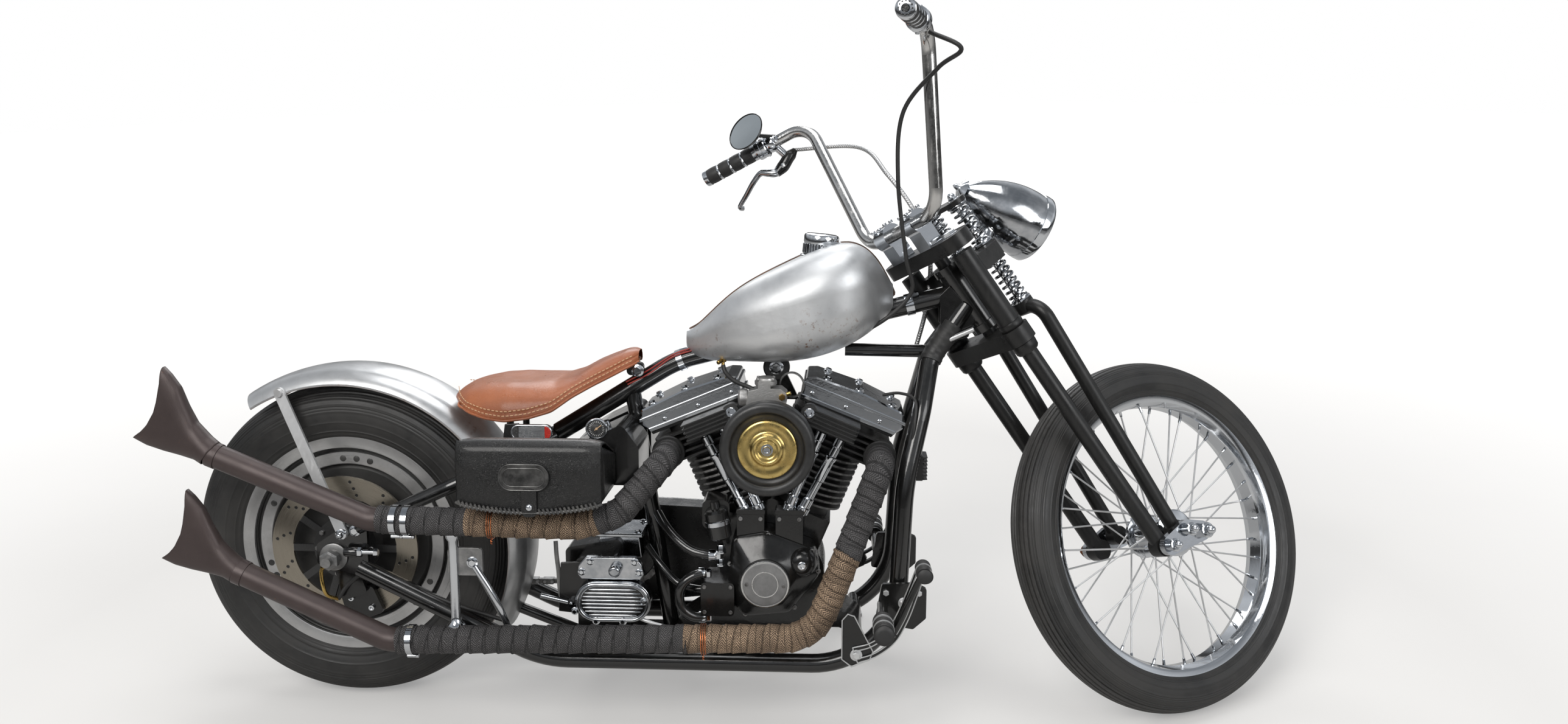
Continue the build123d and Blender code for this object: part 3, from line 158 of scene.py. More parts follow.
def spun(profile, centre, way, sides=48):
    """A profile of (along, radius) turned about an axis: centre + way x along + radius x (cos t, sin t)."""
    way, first, second = square_to(way)
    profile = np.asarray(profile, float)
    turn = np.linspace(0, 2 * pi, sides, endpoint=False)[:, None, None]
    ring = np.cos(turn) * first + np.sin(turn) * second
    points = np.asarray(centre, float) + profile[None, :, :1] * way + ring * profile[None, :, 1:]
    return grid(points, wrap_u=True)


def routed(points, bends, step=4.0):
    """Even points along straight runs joined by tangent arcs of the given radii."""
    points = [np.asarray(p, float) for p in points]
    track = [points[0][None]]
    for before, corner, after, radius in zip(points, points[1:], points[2:], bends):
        back = unit(before - corner)
        on = unit(after - corner)
        half = np.arccos(np.clip(back @ on, -1, 1)) / 2
        centre = corner + unit(back + on) * radius / sin(half)
        leave = corner + back * radius / np.tan(half)
        first = (leave - centre) / radius
        second = -back
        sweep = np.linspace(0, pi - 2 * half, 24)[:, None]
        track.append(centre + radius * (np.cos(sweep) * first + np.sin(sweep) * second))
    track.append(points[-1][None])
    track = np.concatenate(track)
    run = np.concatenate([[0], np.cumsum(np.linalg.norm(np.diff(track, axis=0), axis=1))])
    even = np.linspace(0, run[-1], max(2, int(run[-1] / step) + 1))
    return np.stack([np.interp(even, run, track[:, k]) for k in range(3)], axis=1)


def smooth_line(points, step=3.0):
    """Even points on a Catmull-Rom curve through the given places."""
    points = np.asarray(points, float)
    padded = np.vstack([2 * points[0] - points[1], points, 2 * points[-1] - points[-2]])
    t = np.linspace(0, 1, 24, endpoint=False)[None, :, None]
    a, b, c, d = (padded[k:len(padded) - 3 + k][:, None] for k in range(4))
    curve = 0.5 * (
        2 * b + (c - a) * t + (2 * a - 5 * b + 4 * c - d) * t**2 + (3 * b - a - 3 * c + d) * t**3)
    track = np.vstack([curve.reshape(-1, 3), points[-1:]])
    run = np.concatenate([[0], np.cumsum(np.linalg.norm(np.diff(track, axis=0), axis=1))])
    even = np.linspace(0, run[-1], max(2, int(run[-1] / step) + 1))
    return np.stack([np.interp(even, run, track[:, k]) for k in range(3)], axis=1)


def frames_along(path):
    """Two directions square to a path at each of its points, turning as little as they can."""
    ways = np.gradient(path, axis=0)
    ways = ways / np.linalg.norm(ways, axis=1, keepdims=True)
    firsts = np.zeros_like(ways)
    firsts[0] = square_to(ways[0])[1]
    for place in range(1, len(path)):
        level = firsts[place - 1] - ways[place] * (firsts[place - 1] @ ways[place])
        firsts[place] = unit(level)
    return firsts, np.cross(ways, firsts)


def tube(path, radius, sides=16):
    """A circle of a constant or changing radius carried along a path, with both ends closed."""
    firsts, seconds = frames_along(path)
    radius = np.broadcast_to(
        np.asarray(radius, float), (len(path),) if np.ndim(radius) < 2 else np.shape(radius))
    if radius.ndim == 1:
        radius = np.repeat(radius[:, None], sides, axis=1)
    turn = np.linspace(0, 2 * pi, sides, endpoint=False)
    ring = np.cos(turn)[None, :, None] * firsts[:, None] + np.sin(turn)[None, :, None] * seconds[:, None]
    points = path[:, None] + ring * radius[:, :, None]
    points = np.concatenate(
        [np.repeat(path[:1, None], sides, axis=1), points, np.repeat(path[-1:, None], sides, axis=1)])
    length = np.linalg.norm(np.diff(path, axis=0), axis=1).sum() / 1000
    return grid(points, wrap_v=True, size=(length, 2 * pi * float(radius.mean()) / 1000))


def rod(start, end, radius, sides=20, edge=1.0):
    """A round bar with chamfered ends between two places."""
    start, end = np.asarray(start, float), np.asarray(end, float)
    length = np.linalg.norm(end - start)
    profile = [
        (0, 0), (0, radius - edge), (edge, radius), (length - edge, radius), (length, radius - edge),
        (length, 0)]
    return spun(profile, start, end - start, sides)


def plate(outline, side, depth):
    """A flat piece with an outline in X and Z, from one distance to the left, depth mm to the right."""
    outline = np.asarray(outline, float)
    count = len(outline)
    near = np.column_stack([outline[:, 0], np.full(count, side), outline[:, 1]])
    far = near - (0, depth, 0)
    walls = np.stack(
        [np.arange(count), np.roll(np.arange(count), -1), np.roll(np.arange(count), -1) + count,
            np.arange(count) + count], axis=1).tolist()
    faces = [list(range(count))[::-1], [count + k for k in range(count)]] + walls
    return np.vstack([near, far]), faces, None


def oval(centre, half_long, half_high, corner, count=12):
    """An outline in X and Z: a rectangle with round corners."""
    turn = np.linspace(0, pi / 2, count)
    arcs = []
    for quarter, (sx, sz) in enumerate(((1, 1), (-1, 1), (-1, -1), (1, -1))):
        t = turn + quarter * pi / 2
        arcs.append(
            np.stack([sx * (half_long - corner) + corner * np.cos(t),
                sz * (half_high - corner) + corner * np.sin(t)], axis=1))
    return np.concatenate(arcs) + np.asarray(centre, float)


def bolt(centre, way, radius, height, sides=6, washer=0.0):
    """A bolt head with a worked edge, six-sided or round, on a washer."""
    parts = []
    if washer > 0:
        parts.append(
            spun([(-1.5, 0), (-1.5, washer), (1.2, washer), (1.5, washer - 0.4), (1.5, 0)], centre, way,
                20))
    parts.append(
        spun([(0, 0), (0, radius), (height * 0.8, radius), (height, radius * 0.8), (height, 0)], centre,
            way, sides))
    return parts


def socket_head(centre, way, radius, height):
    """A round cap screw with a sunk socket."""
    return spun(
        [(0, 0), (0, radius), (height * 0.85, radius), (height, radius * 0.88), (height, radius * 0.5),
            (height * 0.4, radius * 0.45), (height * 0.4, 0)], centre, way, 18)


def hoop(outline, side, radius, sides):
    """A round wire along a closed outline in X and Z, at one distance to the left."""
    loop = np.column_stack([outline[:, 0], np.full(len(outline), float(side)), outline[:, 1]])
    return tube(np.vstack([loop, loop[:1]]), radius, sides)


def closed_rings(rings, far_end=True):
    """Rings joined in order, with the first one, and the last one too for far_end, drawn to its middle."""
    middles = np.repeat(rings.mean(axis=1, keepdims=True), rings.shape[1], axis=1)
    return grid(np.concatenate([middles[:1], rings] + [middles[-1:]] * far_end), wrap_v=True)


def right_screws(spots, side, radius, height):
    """Cap screws that face right, at places ahead and up on one plane."""
    return [socket_head((ahead, side, up), to_right, radius, height) for ahead, up in spots]


def join(parts):
    """One list of points, faces and UVs from several surfaces."""
    points, faces, uvs, start = [], [], [], 0
    for places, corners, spread in parts:
        points.append(places)
        if isinstance(corners, np.ndarray):
            faces += (corners + start).tolist()
            uvs.append((spread if spread is not None else np.zeros(corners.shape + (2,))).reshape(-1, 2))
        else:
            faces += [[c + start for c in corner] for corner in corners]
            uvs.append(np.zeros((sum(len(corner) for corner in corners), 2)))
        start += len(places)
    return np.concatenate(points), faces, np.concatenate(uvs)


def piece(
        name, parts, finish, body="chassis", slot=None, stands_for=(), bevel=0.0, thick=0.0, smooth=38.0):
    """Builds one object from surfaces, welds it, turns its faces outwards, places and finishes it.

    Bevel and thick are in mm, and smooth is the sharpest rounded angle in degrees. The slot is worked out
    as the finish's usual one unless another is given, but it is not stored on the piece.
    """
    places, faces, uvs = join(parts)
    places = parked(steered(places)) if body in fork_bodies else parked(places)
    mesh = bpy.data.meshes.new(name)
    mesh.from_pydata(places.tolist(), [], faces)
    layer = mesh.uv_layers.new(name="surface")
    layer.data.foreach_set("uv", uvs.astype(np.float32).ravel())
    work = bmesh.new()
    work.from_mesh(mesh)
    bmesh.ops.remove_doubles(work, verts=work.verts, dist=2e-6)
    bmesh.ops.recalc_face_normals(work, faces=work.faces)
    work.to_mesh(mesh)
    work.free()
    mesh.shade_smooth()
    mesh.set_sharp_from_angle(angle=radians(smooth))
    mesh.materials.append(finish)
    made = bpy.data.objects.new(name, mesh)
    bpy.context.scene.collection.objects.link(made)
    if thick:
        wall = made.modifiers.new("wall", "SOLIDIFY")
        wall.thickness = thick / 1000
        wall.offset = -1
        wall.use_even_offset = True
    if bevel:
        edge = made.modifiers.new("edge", "BEVEL")
        edge.width = bevel / 1000
        edge.segments = 2
        edge.limit_method = "ANGLE"
        edge.harden_normals = True
    if body != "blend":
        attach(made, body)
    slot = slot or usual_slots[finish.name]
    if stands_for:
        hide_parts(*stands_for)
    return made


# Material tools
def put(tree, socket, value):
    """Links another node's output to a socket, or sets the socket to a value."""
    if isinstance(value, bpy.types.NodeSocket):
        tree.links.new(value, socket)
    else:
        socket.default_value = value


def add_node(kind, settings=None, **inputs):
    """A node in its inputs' own tree; an input goes by its label, or as i and its number."""
    tree = next(value.id_data for value in inputs.values() if isinstance(value, bpy.types.NodeSocket))
    made = tree.nodes.new(kind)
    for key, value in (settings or {}).items():
        setattr(made, key, value)
    for key, value in inputs.items():
        numbered = key[0] == "i" and key[1:].isdigit()
        put(tree, made.inputs[int(key[1:]) if numbered else key.replace("_", " ")], value)
    return made


def maths(operation, first, second=0.0, clamp=False):
    """The result of one sum on two values."""
    return add_node(
        "ShaderNodeMath", {"operation": operation, "use_clamp": clamp}, i0=first, i1=second).outputs[0]


def times(first, second):
    """The product of two values."""
    return maths("MULTIPLY", first, second)


def plus(first, second):
    """The sum of two values."""
    return maths("ADD", first, second)


def minus(first, second):
    """The first value less the second."""
    return maths("SUBTRACT", first, second)


def larger(first, second):
    """The larger of two values."""
    return maths("MAXIMUM", first, second)


def split(place):
    """The three coordinates of a place."""
    return add_node("ShaderNodeSeparateXYZ", None, i0=place).outputs


def blend_colour(share, first, second):
    """A colour between two colours."""
    made = add_node("ShaderNodeMix", {"data_type": "RGBA"}, i0=share, i6=first, i7=second)
    return made.outputs[2]


def between(value, low, high, first, second):
    """A value carried from one span to another and held at its ends."""
    made = add_node("ShaderNodeMapRange", {"clamp": True}, i0=value, i1=low, i2=high, i3=first, i4=second)
    return made.outputs[0]


def noise(place, scale, detail=3.0, roughness=0.55, distortion=0.0):
    """Smooth random values at a scale in steps per metre."""
    made = add_node(
        "ShaderNodeTexNoise", None, Vector=place, Scale=scale, Detail=detail, Roughness=roughness,
        Distortion=distortion)
    return made.outputs[0]


def effect(name, inputs, outputs):
    """An empty shader node group with named inputs and outputs."""
    made = bpy.data.node_groups.new(name, "ShaderNodeTree")
    for label, kind, value in inputs:
        socket = made.interface.new_socket(name=label, in_out="INPUT", socket_type=kind)
        if value is not None:
            socket.default_value = value
    for label, kind in outputs:
        made.interface.new_socket(name=label, in_out="OUTPUT", socket_type=kind)
    return made, made.nodes.new("NodeGroupInput").outputs, made.nodes.new("NodeGroupOutput").inputs


def patches_effect():
    """Uneven polish: noise stretched over a span from Low to High."""
    tree, taken, given = effect(
        "uneven_polish", (("Place", "NodeSocketVector", None), ("Scale", "NodeSocketFloat", 9.0),
            ("Low", "NodeSocketFloat", 0.1), ("High", "NodeSocketFloat", 0.3)),
        (("Value", "NodeSocketFloat"),))
    broad = noise(taken["Place"], taken["Scale"], 4)
    fine = noise(taken["Place"], times(taken["Scale"], 9.0), 2)
    both = plus(times(broad, 0.75), times(fine, 0.25))
    tree.links.new(between(both, 0.36, 0.64, taken["Low"], taken["High"]), given["Value"])
    return tree


def dust_effect():
    """Settled dust: on faces that look up, broken by noise, times Amount."""
    tree, taken, given = effect(
        "settled_dust", (("Place", "NodeSocketVector", None), ("Amount", "NodeSocketFloat", 0.3)),
        (("Mask", "NodeSocketFloat"),))
    up = split(tree.nodes.new("ShaderNodeNewGeometry").outputs["Normal"])[2]
    facing = between(up, 0.1, 0.95, 0.15, 1.0)
    broken = between(noise(taken["Place"], 28.0, 6, 0.7), 0.35, 0.7, 0.0, 1.0)
    tree.links.new(times(times(facing, broken), taken["Amount"]), given["Mask"])
    return tree


def rust_effect():
    """Rust freckles: where coarse and fine noise are both high, more with Amount."""
    tree, taken, given = effect(
        "rust_freckles", (("Place", "NodeSocketVector", None), ("Scale", "NodeSocketFloat", 60.0),
            ("Amount", "NodeSocketFloat", 0.3)), (("Mask", "NodeSocketFloat"),
            ("Colour", "NodeSocketColor")))
    coarse = between(noise(taken["Place"], times(taken["Scale"], 0.18), 3), 0.45, 0.7, 0, 1)
    fine = noise(taken["Place"], taken["Scale"], 5, 0.65)
    limit = minus(0.72, times(taken["Amount"], 0.22))
    spots = maths("MULTIPLY", minus(fine, limit), 14.0, clamp=True)
    tree.links.new(times(spots, coarse), given["Mask"])
    hue = blend_colour(noise(taken["Place"], 300.0, 2), (0.10, 0.035, 0.012, 1), (0.30, 0.12, 0.04, 1))
    tree.links.new(hue, given["Colour"])
    return tree


def scratches_effect():
    """Hairline scratches: noise drawn out along one way, thinned to its crests."""
    tree, taken, given = effect(
        "hairline_scratches", (("Place", "NodeSocketVector", None),
            ("Stretch", "NodeSocketVector", (4.0, 220.0, 220.0))), (("Value", "NodeSocketFloat"),))
    drawn = add_node(
        "ShaderNodeVectorMath", {"operation": "MULTIPLY"}, i0=taken["Place"], i1=taken["Stretch"])
    lines = noise(drawn.outputs[0], 1.0, 5, 0.7)
    tree.links.new(between(lines, 0.5, 0.72, 0.0, 1.0), given["Value"])
    return tree


def grain_effect():
    """Fine tooth: two noises of Scale and about three times Scale, as a height from 0 to 1."""
    tree, taken, given = effect(
        "fine_tooth", (("Place", "NodeSocketVector", None), ("Scale", "NodeSocketFloat", 400.0)),
        (("Height", "NodeSocketFloat"),))
    coarse = noise(taken["Place"], taken["Scale"], 2)
    fine = noise(taken["Place"], times(taken["Scale"], 3.1), 2)
    tree.links.new(plus(times(coarse, 0.65), times(fine, 0.35)), given["Height"])
    return tree


def round_effect():
    """Distance from the Z axis and angle round it, of a place already brought to that axis."""
    tree, taken, given = effect(
        "round_axis", (("Place", "NodeSocketVector", None),),
        (("Radius", "NodeSocketFloat"), ("Angle", "NodeSocketFloat"), ("Along", "NodeSocketFloat")))
    apart = split(taken["Place"])
    square = plus(times(apart[0], apart[0]), times(apart[1], apart[1]))
    tree.links.new(maths("SQRT", square), given["Radius"])
    tree.links.new(maths("ARCTAN2", apart[1], apart[0]), given["Angle"])
    tree.links.new(apart[2], given["Along"])
    return tree


uneven_polish = patches_effect()
settled_dust = dust_effect()
rust_freckles = rust_effect()
hairlines = scratches_effect()
fine_tooth = grain_effect()
round_axis = round_effect()


def use(group, **inputs):
    """A placed shader group's outputs."""
    return add_node("ShaderNodeGroup", {"node_tree": group}, **inputs).outputs


def polish_of(place, scale, low, high):
    """A roughness that drifts between two values, at a scale in steps per metre."""
    return use(uneven_polish, Place=place, Scale=scale, Low=low, High=high)["Value"]


def dust_on(place, amount):
    """A mask of settled dust."""
    return use(settled_dust, Place=place, Amount=amount)["Mask"]


def scratched(place, stretch):
    """Hairlines drawn out along the axis with the least stretch."""
    return use(hairlines, Place=place, Stretch=stretch)["Value"]


def tooth_of(place, scale):
    """The height of a fine tooth, at a scale in steps per metre."""
    return use(fine_tooth, Place=place, Scale=scale)["Height"]


def toothed(place, scale, depth):
    """A normal with a fine tooth of a depth in metres."""
    return bumped(tooth_of(place, scale), depth)


def begin(name):
    """A new material with one surface shader, and the place of each point in metres."""
    made = bpy.data.materials.new(name)
    made.use_nodes = True
    tree = made.node_tree
    tree.nodes.clear()
    shader = tree.nodes.new("ShaderNodeBsdfPrincipled")
    tree.links.new(shader.outputs[0], tree.nodes.new("ShaderNodeOutputMaterial").inputs[0])
    return made, tree.nodes.new("ShaderNodeTexCoord").outputs["Object"]


def own_uv(made):
    """The UV map of the piece that wears a material."""
    return made.node_tree.nodes.new("ShaderNodeTexCoord").outputs["UV"]


def settle(made, **inputs):
    """Sets or links the sockets of a material's shader, and gives the material back."""
    for key, value in inputs.items():
        put(made.node_tree, made.node_tree.nodes["Principled BSDF"].inputs[key.replace("_", " ")], value)
    return made


def bumped(height, distance):
    """A normal tilted by a height, whose full depth is distance in metres."""
    return add_node("ShaderNodeBump", None, Strength=1.0, Distance=distance, Height=height).outputs[0]


def brought(place, origin, turn):
    """The place measured from an origin along the columns of a turn."""
    made = add_node("ShaderNodeMapping", {"vector_type": "TEXTURE"}, Vector=place)
    made.inputs["Location"].default_value = tuple(float(v) for v in origin)
    made.inputs["Rotation"].default_value = Matrix(turn.tolist()).to_euler("XYZ")
    return made.outputs[0]


def upright_place(place):
    """The place on the upright machine, in metres from the ground below the rear axle."""
    return brought(place, parked((0.0, 0.0, 0.0)), tip)


def seen_from_right(place, centre):
    """The place measured from a centre on the upright machine, with Z along the machine's width."""
    return brought(place, parked(centre), tip @ about_x(-pi / 2))


def near_spot(place, spot, reach):
    """1 at a spot given in metres on the upright machine, falling to 0 at reach."""
    gap = add_node("ShaderNodeVectorMath", {"operation": "DISTANCE"}, i0=place, i1=spot).outputs["Value"]
    return between(gap, 0.0, reach, 1.0, 0.0)


# Tints of greys, as shares of red, green and blue
warm = (1.0, 0.99, 0.97)
sunny = (1.0, 0.98, 0.95)
dusty = (1.0, 0.96, 0.9)
scuffed = (1.0, 0.95, 0.9)
oily = (1.0, 0.93, 0.84)
steely = (0.99, 1.0, 1.01)


def grey(value, tint=(1.0, 1.0, 1.0)):
    """A colour of one brightness and a slight tint."""
    return (value * tint[0], value * tint[1], value * tint[2], 1.0)


# Finishes
def gloss_black_enamel():
    """Frame paint: deep black under a clear coat, dusty on top."""
    made, place = begin("gloss_black_enamel")
    dust = dust_on(place, 0.09)
    polish = polish_of(place, 14.0, 0.12, 0.26)
    return settle(
        made, Base_Color=blend_colour(dust, grey(0.006), grey(0.15, dusty)),
        Roughness=plus(polish, times(dust, 0.6)), Normal=toothed(place, 260.0, 0.00012), Coat_Weight=0.5,
        Coat_Roughness=0.08)


def satin_black_fork():
    """Fork legs and trees: satin black with a little dust and fine scratches."""
    made, place = begin("satin_black_fork")
    dust = dust_on(place, 0.12)
    lines = scratched(place, (160.0, 160.0, 8.0))
    base = blend_colour(times(lines, 0.12), grey(0.010), grey(0.06))
    return settle(
        made, Base_Color=blend_colour(dust, base, grey(0.15, dusty)),
        Roughness=polish_of(place, 11.0, 0.24, 0.42), Specular_IOR_Level=0.35,
        Normal=toothed(place, 700.0, 0.0001))


def bare_steel_tank():
    """Satin bare steel under clear lacquer, cloudy, with brown stains low on the side and at the tail."""
    made, place = begin("bare_steel_tank")
    spot = upright_place(place)
    cloud = between(noise(spot, 7.0, 5, 0.6, 0.4), 0.35, 0.68, 0.0, 1.0)
    steel = blend_colour(cloud, grey(0.52, (0.98, 1.0, 1.02)), grey(0.72, steely))
    rust = use(rust_freckles, Place=spot, Scale=130.0, Amount=0.75)
    stains = larger(
        near_spot(spot, (0.93, -0.13, 0.75), 0.085), larger(near_spot(spot, (0.99, -0.125, 0.765), 0.06),
            near_spot(spot, (0.735, -0.05, 0.742), 0.07)))
    mask = times(rust["Mask"], between(stains, 0.05, 0.6, 0.05, 0.9))
    lines = scratched(spot, (30.0, 260.0, 260.0))
    tooth = tooth_of(spot, 900.0)
    return settle(
        made, Base_Color=blend_colour(mask, steel, rust["Colour"]), Metallic=0.82,
        Roughness=plus(times(lines, 0.06), polish_of(spot, 6.0, 0.34, 0.46)),
        Normal=bumped(tooth, 0.00006), Coat_Weight=0.12, Coat_Roughness=0.25)


def bare_steel_fender():
    """The same satin steel on the fender, with a brown edge line and a rust smear near its front."""
    made, place = begin("bare_steel_fender")
    spot = upright_place(place)
    cloud = between(noise(spot, 9.0, 5, 0.6, 0.5), 0.35, 0.68, 0.0, 1.0)
    steel = blend_colour(cloud, grey(0.42, steely), grey(0.60, steely))
    axle = seen_from_right(place, rear_axle)
    out = use(round_axis, Place=axle)["Radius"]
    rust = use(rust_freckles, Place=spot, Scale=110.0, Amount=0.8)
    edge = between(out, 0.3262, 0.334, 0.75, 0.0)
    smear = larger(
        near_spot(spot, (0.262, -0.05, 0.57), 0.05), near_spot(spot, (-0.10, -0.02, 0.668), 0.03))
    mask = times(rust["Mask"], larger(edge, larger(smear, 0.08)))
    brown = times(between(out, 0.3262, 0.3285, 0.7, 0.0), noise(spot, 40.0))
    stained = blend_colour(larger(mask, brown), steel, rust["Colour"])
    return settle(
        made, Base_Color=stained, Metallic=0.82, Roughness=polish_of(spot, 7.0, 0.28, 0.42),
        Normal=toothed(spot, 900.0, 0.00006), Coat_Weight=0.1, Coat_Roughness=0.25)


def bright_chrome():
    """Mirror chrome with faint smears and a few freckles."""
    made, place = begin("bright_chrome_plate")
    rust = use(rust_freckles, Place=place, Scale=420.0, Amount=0.25)
    return settle(
        made, Base_Color=blend_colour(times(rust["Mask"], 0.6), grey(0.60, (0.97, 1.0, 1.04)),
            rust["Colour"]), Metallic=1.0, Roughness=polish_of(place, 18.0, 0.04, 0.13),
        Normal=toothed(place, 60.0, 0.0001))


def handled_chrome():
    """Chrome of the bars, rubbed dull in places."""
    made, place = begin("handled_chrome")
    lines = scratched(place, (200.0, 200.0, 12.0))
    polish = polish_of(place, 22.0, 0.08, 0.26)
    rust = use(rust_freckles, Place=place, Scale=260.0, Amount=0.45)
    return settle(
        made, Base_Color=blend_colour(times(rust["Mask"], 0.7), grey(0.56, warm), rust["Colour"]),
        Metallic=1.0, Roughness=plus(polish, times(lines, 0.12)), Normal=bumped(lines, 0.00004))


def polished_alloy():
    """Polished aluminium with a soft grain."""
    made, place = begin("polished_alloy")
    cloud = noise(place, 26.0, 4)
    return settle(
        made, Base_Color=blend_colour(cloud, grey(0.50, warm), grey(0.68, (1.0, 1.0, 0.99))),
        Metallic=1.0, Roughness=polish_of(place, 16.0, 0.16, 0.34), Normal=toothed(place, 500.0, 0.00015))


def cast_alloy():
    """Dull cast aluminium with a sandy skin and oily dirt in its hollows."""
    made, place = begin("sand_cast_alloy")
    dirt = between(noise(place, 34.0, 5, 0.65), 0.45, 0.7, 0.0, 0.5)
    tooth = tooth_of(place, 420.0)
    return settle(
        made, Base_Color=blend_colour(dirt, grey(0.50, warm), grey(0.09, (1.0, 0.9, 0.8))), Metallic=0.85,
        Roughness=between(dirt, 0, 0.75, 0.36, 0.62), Normal=bumped(tooth, 0.0005))


def black_case_paint():
    """Gloss black lower engine cases, smeared with a little oil and dust."""
    made, place = begin("black_case_paint")
    dust = dust_on(place, 0.12)
    return settle(
        made, Base_Color=blend_colour(dust, grey(0.007), grey(0.13, oily)),
        Roughness=polish_of(place, 20.0, 0.10, 0.30), Normal=toothed(place, 180.0, 0.0002),
        Specular_IOR_Level=0.35, Coat_Weight=0.3, Coat_Roughness=0.1)


def black_fins():
    """Wrinkle black barrels and heads, with a painted highlight on the fins' rims, stronger on the rear
    cylinder, that also stands for paint rubbed bright.
    """
    made, place = begin("black_finned_iron")
    spot = brought(place, parked((crank[0], 0.0, crank[1])), tip)
    apart = split(spot)
    front = maths("GREATER_THAN", apart[0], 0.0)
    folded = add_node(
        "ShaderNodeCombineXYZ", None, X=maths("ABSOLUTE", apart[0]), Y=apart[1], Z=apart[2]).outputs[0]
    along = add_node(
        "ShaderNodeVectorMath", {"operation": "DOT_PRODUCT"}, i0=folded,
        i1=(sin(vee_half), 0.0, cos(vee_half))).outputs["Value"]
    across = add_node(
        "ShaderNodeVectorMath", {"operation": "DOT_PRODUCT"}, i0=folded,
        i1=(cos(vee_half), 0.0, -sin(vee_half))).outputs["Value"]
    radius = maths("SQRT", plus(times(across, across), times(apart[1], apart[1])))
    # Painted highlight, partly rubbed paint: the fins' rims turn pale and metallic in patches, more on the
    # rear cylinder than on the front.
    rim = between(radius, 0.0725, 0.0738, 0.0, 1.0)
    rubbed_and_lit_patches = between(noise(place, 60.0, 4, 0.7), 0.4, 0.62, 0.15, 1.0)
    on_barrel = maths("LESS_THAN", along, 0.283)
    share = times(times(rim, rubbed_and_lit_patches), on_barrel)
    bright = times(share, plus(0.55, times(front, -0.25)))
    dust = dust_on(place, 0.16)
    dull = blend_colour(dust, grey(0.009), grey(0.12, oily))
    return settle(
        made, Base_Color=blend_colour(bright, dull, grey(0.62, warm)), Metallic=bright,
        Roughness=polish_of(place, 40.0, 0.34, 0.5), Normal=toothed(place, 900.0, 0.0003))


def brushed_wheel():
    """Silver wheel faces, turned on a lathe, with brake dust that thickens towards the hub."""
    made, place = begin("turned_wheel_silver")
    axle = seen_from_right(place, rear_axle)
    spot = use(round_axis, Place=axle)
    rings = noise(
        add_node("ShaderNodeCombineXYZ", None, X=times(spot["Radius"], 1400.0),
            Y=times(spot["Angle"], 1.5), Z=0.0).outputs[0], 1.0, 3)
    dirt = times(
        between(noise(place, 16.0, 5, 0.65), 0.4, 0.7, 0.0, 0.7),
        between(spot["Radius"], 0.06, 0.21, 1.0, 0.35))
    return settle(
        made, Base_Color=blend_colour(dirt, grey(0.50, (1.0, 1.0, 1.0)), grey(0.10, (1.0, 0.95, 0.88))),
        Metallic=0.85, Roughness=between(rings, 0.3, 0.7, 0.26, 0.42), Normal=bumped(rings, 0.00006))


def dark_wheel():
    """Dark grey paint of the wheel's recess and centre."""
    made, place = begin("dark_wheel_paint")
    dust = dust_on(place, 0.4)
    cloud = noise(place, 18.0, 5, 0.65)
    return settle(
        made, Base_Color=blend_colour(times(cloud, plus(dust, 0.5)), grey(0.018),
            grey(0.09, (1.0, 0.97, 0.92))), Roughness=polish_of(place, 12.0, 0.3, 0.5),
        Normal=toothed(place, 300.0, 0.0002))


def drilled_rotor():
    """A ground steel rotor: fine rings, a warm pad track and three rows of drilled holes, drawn as dark
    dots of painted shade with a sunk bump.
    """
    made, place = begin("drilled_rotor_steel")
    axle = seen_from_right(place, rear_axle)
    spot = use(round_axis, Place=axle)
    rings = noise(
        add_node("ShaderNodeCombineXYZ", None, X=times(spot["Radius"], 2600.0),
            Y=times(spot["Angle"], 2.5), Z=0.0).outputs[0], 1.0, 4)
    hole_shades = 0.0
    for radius, count, shift in ((0.112, 12, 0.0), (0.124, 12, 0.13), (0.136, 12, 0.26)):
        turns = plus(times(spot["Angle"], count / (2 * pi)), shift + 8.0)
        off = times(minus(maths("FRACT", turns), 0.5), 2 * pi * radius / count)
        rise = minus(spot["Radius"], radius)
        gap = maths("SQRT", plus(times(off, off), times(rise, rise)))
        # Painted shade: each drilled hole is a dark, non-metal dot on the face instead of an opening.
        hole_shade = between(gap, 0.0028, 0.0036, 1.0, 0.0)
        hole_shades = hole_shade if isinstance(hole_shades, float) else larger(hole_shades, hole_shade)
    face = blend_colour(rings, grey(0.24, (1.0, 0.90, 0.74)), grey(0.40, (1.0, 0.91, 0.76)))
    carrier = between(spot["Radius"], 0.1025, 0.1045, 1.0, 0.0)
    face = blend_colour(carrier, face, grey(0.022))
    carrier_and_hole_shade = larger(hole_shades, carrier)
    return settle(
        made, Base_Color=blend_colour(hole_shades, face, grey(0.01)), Metallic=minus(1.0, carrier_and_hole_shade),
        Roughness=between(rings, 0.3, 0.7, 0.24, 0.40), Normal=bumped(minus(times(rings, 0.06), hole_shades),
            0.0012))


def aged_brass():
    """The air cleaner's spun brass dish, with rings from spinning and brown patina."""
    made, place = begin("aged_brass")
    spot = seen_from_right(place, cleaner_middle)
    out = use(round_axis, Place=spot)["Radius"]
    rings = noise(add_node("ShaderNodeCombineXYZ", None, X=times(out, 1500.0)).outputs[0], 1.0, 3)
    patina = between(noise(place, 42.0, 6, 0.7, 0.8), 0.45, 0.68, 0.0, 0.85)
    return settle(
        made, Base_Color=blend_colour(patina, (0.60, 0.45, 0.17, 1), (0.38, 0.25, 0.08, 1)), Metallic=1.0,
        Roughness=between(patina, 0.0, 0.85, 0.20, 0.42), Normal=bumped(rings, 0.00004))


